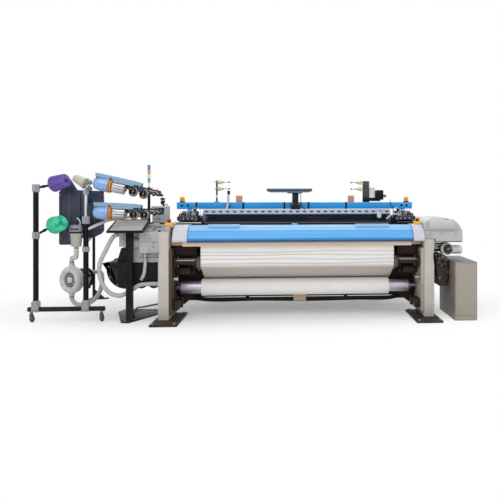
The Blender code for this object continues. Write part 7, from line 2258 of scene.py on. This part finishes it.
def rear_leg():
    x, y = -2.36, 1.45
    shape = Shape("stand black")
    shape.post((x, y), (0, 0.79), 0.016, 28, 0.003)
    foot = [(x - 0.05, y - 0.04), (x + 0.16, y + 0.02), (x + 0.16, y + 0.06), (x - 0.05, y + 0.06)]
    shape.prism(foot, "Z", 0, 0.012, 0.002)
    shape.prism([(x, 0.006), (x + 0.14, 0.006), (x, 0.13)], "Y", y - 0.004, y + 0.004, 0.001)
    way = (Vector((x, y, 0.76)) - Vector((RIGHT_POST, CREEL_Y, 0.76))).normalized()
    start = Vector((RIGHT_POST, CREEL_Y, 0.76)) + way * 0.0253
    shape.rod(start, (x, y, 0.76), 0.014, 24)
    shape.use("clamp grey").post((x, y), (0.735, 0.786), 0.023, 28, 0.003)
    shape.rod(start, start + way * 0.03, 0.019, 24, 0.003)
    shape.use("zinc").bolts([(x - 0.035, y + 0.03, 0.012), (x + 0.14, y + 0.04, 0.012)], UP, 0.012)
    shape.bolts([(x, y - 0.023, 0.76)], FRONT, 0.012)
    shape.piece("rear_leg", "black_paint", "creel_rear_leg")


def creel_panel():
    near, back = 0.24, 0.27
    shape = Shape("slate")
    outline = [(-2.3325, 1.25), (-2.228, 1.377), (-2.161, 1.269), (-1.9086, 1.259),
               (-1.9086, 0.867), (-1.93, 0.84), (-2.009, 0.799), (-2.171, 0.795), (-2.171, 0.745),
               (-2.185, 0.733), (-2.32, 0.733), (-2.3325, 0.745)]
    shape.prism(outline, "Y", near, back)
    shape.box((-2.12, -1.93), (back - 0.01, 0.36), (0.86, 1.22), 0.01, 3)
    for low, high in ((-2.16, -2.125), (-2.322, -2.312)):
        shape.box((low, high), (near - 0.022 if low > -2.2 else near - 0.006, near + 0.01),
                  (0.84, 1.245), 0.004)
    for half, z, tall, front in ((0.02, 0.865, 0.04, 0.1453), (0.014, 1.15, 0.03, 0.1353)):
        shape.box((RIGHT_POST - half, RIGHT_POST + half), (front, near + 0.01), (z, z + tall))
    shape.use(painted("slate edge", paler(colours().slate, 0.16), 0.45))
    shape.box((-2.238, -2.234), (near - 0.0012, near + 0.01), (0.755, 1.24), 0)
    for z in (0.9, 1.18):
        shape.box((-2.1, -1.95), (0.3595, 0.3612), (z, z + 0.004), 0)
    shape.use("zinc")
    places = [(-2.31, 0.8), (-2.31, 1.02), (-2.31, 1.22), (-1.93, 0.9), (-1.93, 1.22)]
    shape.bolts([(x, near - (0.006 if x < -2.3 else 0), z) for x, z in places], FRONT, 0.009)
    shape.bolts([(x, 0.36, z) for x in (-2.1, -1.95) for z in (0.88, 1.2)], BACK, 0.01)
    shape.use("black plastic")
    for i in range(6):
        z = 0.96 + 0.03 * i
        shape.box((-2.08, -1.97), (0.3595, 0.3612), (z, z + 0.008), 0)
    shape.piece("slate_panel", "slate_paint", "creel_panel")


def yarn_package(name, tone):
    """Yarn wound on a tapered tube."""
    base, way = cone_base(name)
    length, wide, narrow = CONES[name][2:]
    side = way.cross(Vector(UP)).normalized()
    up = side.cross(way)
    yarn = wound(name + " yarn", tone, tuple(way), tuple(base), tuple(side), tuple(up), 0.011)
    shape = Shape(yarn)
    count = 14
    swell = [(0.008 + (length - 0.018) * i / count,
              wide + (narrow - wide) * i / count - 0.0016 * (i % 2)) for i in range(count + 1)]
    profile = [(0, 0), (0, wide - 0.012), (0.003, wide - 0.004)] + swell
    profile += [(length - 0.003, narrow - 0.005), (length, narrow - 0.012), (length, 0)]
    shape.lathe(profile, base, way, 48)
    shape.use(moulded(name + " tube", darker(tone, 0.55), 0.5))
    tube = [(length - 0.002, 0), (length - 0.002, 0.022), (length + 0.006, 0.0205),
            (length + 0.008, 0.018), (length + 0.008, 0.015), (length + 0.001, 0.014)]
    tube.append((length + 0.001, 0))
    shape.lathe(tube, base, way)
    shape.piece(name + "_package", name + "_yarn", name + "_cone")


def castor(name, x):
    y, z = 0.142, 0.032
    fork = Shape("castor steel")
    head = [(-0.072, 0), (-0.072, 0.019), (-0.07, 0.02), (-0.01, 0.014), (0, 0.013), (0, 0)]
    fork.lathe([(0.0974 + a, r) for a, r in head], (x, CREEL_Y, 0), UP, 28)
    cheek = [(0.106, 0.076), (0.136, 0.076), (0.152, 0.038), (0.152, 0.024), (0.132, 0.024)]
    for side in SIDES:
        low, high = (x + limit for limit in limits(side, 0.0125, 0.0175))
        fork.prism(cheek, "X", low, high, 0.001)
    fork.bar((x - 0.0195, x + 0.0195), (y, z), 0.005, 16)
    for side in SIDES:
        fork.bolts([(x + side * 0.0175, y, z)], (side, 0, 0), 0.012)
    fork.piece(name + "_castor_steel", "castor_steel", name + "_castor_fork", body=name + "_castor")
    wheel = Shape("castor tread")
    tread = [(-0.011, 0.022), (-0.011, 0.029), (-0.009, 0.0315), (-0.004, 0.032), (0.004, 0.032),
             (0.009, 0.0315), (0.011, 0.029), (0.011, 0.022), (-0.011, 0.022)]
    wheel.lathe(tread, (x, y, z), RIGHT, 40)
    wheel.use("castor hub")
    hub = [(-0.01, 0.0056), (-0.01, 0.01), (-0.006, 0.012), (-0.006, 0.0225), (0.006, 0.0225),
           (0.006, 0.012), (0.01, 0.01), (0.01, 0.0056), (-0.01, 0.0056)]
    wheel.lathe(hub, (x, y, z), RIGHT)
    wheel.piece(name + "_castor_tread", "castor_rubber", name + "_castor_wheel",
                body=name + "_wheel")


class LOOM_OT_creel(LoomStep, bpy.types.Operator):
    """Creel on castors with its posts, clamps, cone arms, slate panel and yarn cones"""

    bl_idname = "loom.creel"
    bl_label = "Yarn creel"

    def execute(self, context):
        creel_posts()
        rear_leg()
        creel_panel()
        for name in CONES:
            yarn_package(name, getattr(colours(), name))
        for name, x in CASTORS:
            castor(name, x)
        return {'FINISHED'}


def waste_bin():
    x, y, low = -2.128, CREEL_Y, 0.725
    shape = Shape("bin grey")
    wall = [(0, 0), (0, 0.042), (0.004, 0.046), (0.128, 0.0555), (0.134, 0.0555), (0.134, 0)]
    shape.lathe(wall, (x, y, low), UP, 44)
    shape.use("black plastic")
    band = [(0.131, 0), (0.131, 0.06), (0.133, 0.0625), (0.142, 0.0625), (0.145, 0.06), (0.145, 0)]
    shape.lathe(band, (x, y, low), UP, 44)
    shape.use("lid grey")
    lid = [(0.144, 0), (0.144, 0.0595), (0.15, 0.0612), (0.188, 0.0602), (0.2, 0.056),
           (0.206, 0.048), (0.21, 0.03), (0.21, 0)]
    shape.lathe(lid, (x, y, low), UP, 44)
    shape.use("black plastic")
    shape.box(about(x, 0.034), (y - 0.0635, y - 0.03), (low + 0.166, low + 0.176), 0.002)
    shape.use("zinc").box((x + 0.04, -2.0633), about(y, 0.012), (0.837, 0.861))
    shape.use("white guide")
    hook = [(x + 0.04, y - 0.02, low + 0.2), (x + 0.042, y - 0.02, low + 0.235),
            (x + 0.03, y - 0.02, low + 0.262), (x + 0.01, y - 0.02, low + 0.276)]
    shape.path(hook, 0.0045, 3)
    shape.piece("waste_pot", "bin_grey", "waste_bin")


def side_blower():
    def place(along, above=0):
        return BLOWER_BASE + BLOWER_WAY * along + Vector((0, 0, above))
    side = BLOWER_WAY.cross(Vector(UP)).normalized()
    shape = Shape("blower grey")
    case = [(0.03, 0.07), (0.018, 0.074), (0.006, 0.082), (0, 0.094), (0.004, 0.115), (0.022, 0.13),
            (0.034, 0.133), (0.049, 0.1325), (0.051, 0.1295), (0.054, 0.1325), (0.078, 0.13),
            (0.096, 0.115), (0.1, 0.093), (0.1, 0.07), (0.03, 0.07)]
    shape.lathe(case, place(0), BLOWER_WAY, 56)
    shape.lathe(plug(0.03, 0.05, 0.078), place(0), BLOWER_WAY, 48)
    shape.lathe([(0.012, 0), (0.013, 0.02), (0.018, 0.03), (0.03, 0.032)], place(0), BLOWER_WAY)
    shape.use("fan dark")
    shape.lathe(washer(0.026, 0.031, 0.033, 0.0745), place(0), BLOWER_WAY, 44)
    shape.use("blower grey")
    for i in range(18):
        spoke = Matrix.Rotation(2 * pi * i / 18, 3, BLOWER_WAY) @ side
        shape.rod(place(0.024) + spoke * 0.031, place(0.024) + spoke * 0.074, 0.0013, 8)
    shape.lathe(washer(0.0215, 0.026, 0.053, 0.0552), place(0), BLOWER_WAY, 40)
    shape.rod(place(0.05, 0.1), place(0.05, 0.155), 0.028, 32, 0.003)
    shape.rod(place(0.05, -0.1), place(0.05, -0.153), 0.028, 32, 0.003)
    shape.rod(place(0.1), place(0.232), 0.07, 44, 0.004)
    shape.use("stand black").rod(place(0.23), place(0.248), 0.1, 44, 0.003)
    shape.use("blower grey")
    upright = Matrix((side.cross(BLOWER_WAY), side, BLOWER_WAY)).transposed()
    for i in range(28):
        spin = Matrix.Rotation(2 * pi * i / 28, 3, BLOWER_WAY)
        shape.slab(place(0.166) + spin @ side * 0.074, (0.003, 0.014, 0.122), spin @ upright, 0)
    shape.use("zinc")
    rim = [place(0.0005) + (Matrix.Rotation(2 * pi * i / 8 + 0.2, 3, BLOWER_WAY) @ side) * 0.093
           for i in range(8)]
    shape.bolts(rim, tuple(-BLOWER_WAY), 0.008)
    shape.use("stand black")
    for above in (-0.055, 0.055):
        mount = place(0.17, above)
        shape.box(about(RIGHT_POST, 0.03), (0.1453, 0.1753), about(mount.z, 0.016), 0.004)
        shape.rod((RIGHT_POST, 0.1613, mount.z), mount, 0.012)
    shape.use("terminal lid")
    lid = place(0.166, 0.082)
    turn = Matrix.Rotation(radians(-28), 3, 'Z')
    shape.slab(lid, (0.062, 0.078, 0.03), turn, 0.006, 3)
    shape.piece("side_blower", "blower_grey", "blower")


class LOOM_OT_blower(LoomStep, bpy.types.Operator):
    """Waste bin and the side-channel blower under it"""

    bl_idname = "loom.blower"
    bl_label = "Waste bin and blower"

    def execute(self, context):
        waste_bin()
        side_blower()
        return {'FINISHED'}


# Hoses

def hose(node, name, route, radius):
    shape = Shape("hose grey")
    shape.path(route, radius, 6, sizes().hose_rib)
    shape.use("zinc")
    points = [Vector(point) for point in route]
    for end, inner in ((points[0], points[1]), (points[-1], points[-2])):
        way = (inner - end).normalized()
        band = end + way * 0.01
        shape.rod(band, band + way * 0.01, radius + 0.0018, 28)
    shape.piece(name, "hose_grey", node)


class LOOM_OT_hoses(LoomStep, bpy.types.Operator):
    """Ribbed air hoses held at both ends, with the clips at those ends"""

    bl_idname = "loom.hoses"
    bl_label = "Air hoses"

    def execute(self, context):
        y = 0.179
        route = [(-1.7425, 0.2, 0.835), (-1.768, 0.2, 0.835), (-1.81, y + 0.012, 0.8),
                 (-1.865, y, 0.69), (-1.925, y, 0.55), (-1.918, y, 0.4), (-1.84, y, 0.275),
                 (-1.735, y, 0.24), (-1.635, y, 0.285), (-1.545, y, 0.34), (-1.45, y, 0.35),
                 (-1.38, y, 0.35), (-1.3353, y, 0.35)]
        hose("air_hose", "main_air_hose", route, 0.022)
        route = [(-1.53, 0.177, 0.392), (-1.502, 0.174, 0.45), (-1.49, 0.171, 0.54),
                 (-1.488, 0.171, 0.6), (-1.488, 0.171, 0.6547)]
        hose("branch_hose", "branch_air_hose", route, 0.018)
        top = BLOWER_BASE + BLOWER_WAY * 0.05 + Vector((0, 0, 0.1553))
        route = [(-2.128, CREEL_Y, 0.7247), (-2.128, CREEL_Y, 0.68), (-2.145, 0.16, 0.62),
                 top + Vector((0.01, -0.02, 0.06)), top + Vector((0, 0, 0.025)), top]
        hose("bin_hose", "suction_hose", route, 0.022)
        low = BLOWER_BASE + BLOWER_WAY * 0.05 - Vector((0, 0, 0.1533))
        route = [low, low - Vector((0, 0, 0.03)), (low.x + 0.035, low.y + 0.01, 0.15),
                 (-2.11, 0.3, 0.135), (-2.03, 0.34, 0.175), (-1.985, 0.4, 0.26),
                 (-1.985, 0.47, 0.36), (-2.02, 0.54, 0.42)]
        for away in (0.085, 0.04, 0.0003):
            route.append(BLOWER_BASE + BLOWER_WAY * (0.248 + away) + Vector((0, 0, 0.045)))
        hose("blower_hose", "return_hose", route, 0.022)
        return {'FINISHED'}


# Panel and registration

STEPS = (
    LOOM_OT_stage, LOOM_OT_frame, LOOM_OT_cover, LOOM_OT_cloth, LOOM_OT_weaving, LOOM_OT_top_beam,
    LOOM_OT_back, LOOM_OT_left_end, LOOM_OT_right_end, LOOM_OT_feeders, LOOM_OT_terminal,
    LOOM_OT_creel, LOOM_OT_blower, LOOM_OT_hoses)


class LOOM_PT_loom(bpy.types.Panel):
    """Sizes, colours and steps of the loom"""

    bl_idname = "LOOM_PT_loom"
    bl_label = "Shuttleless loom"
    bl_space_type = 'VIEW_3D'
    bl_region_type = 'UI'
    bl_category = "Loom"

    def draw(self, context):
        column = self.layout.column(align=True)
        for group, values in ((LoomSizes, sizes()), (LoomColours, colours())):
            for name in group.__annotations__:
                column.prop(values, name)
            column.separator()
        for step in STEPS:
            column.operator(step.bl_idname)


CLASSES = (LoomSizes, LoomColours) + STEPS + (LOOM_PT_loom,)


def register():
    for item in CLASSES:
        bpy.utils.register_class(item)
    bpy.types.Scene.loom_sizes = PointerProperty(type=LoomSizes)
    bpy.types.Scene.loom_colours = PointerProperty(type=LoomColours)


def unregister():
    del bpy.types.Scene.loom_colours
    del bpy.types.Scene.loom_sizes
    for item in reversed(CLASSES):
        bpy.utils.unregister_class(item)


def main():
    register()
    for step in STEPS:
        group, call = step.bl_idname.split(".")
        getattr(getattr(bpy.ops, group), call)()
    boxes = {"cad": CAD_BOX, "visual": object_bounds()}
    plain = {name: [list(corner) for corner in box] for name, box in boxes.items()}


if __name__ == "__main__":
    main()
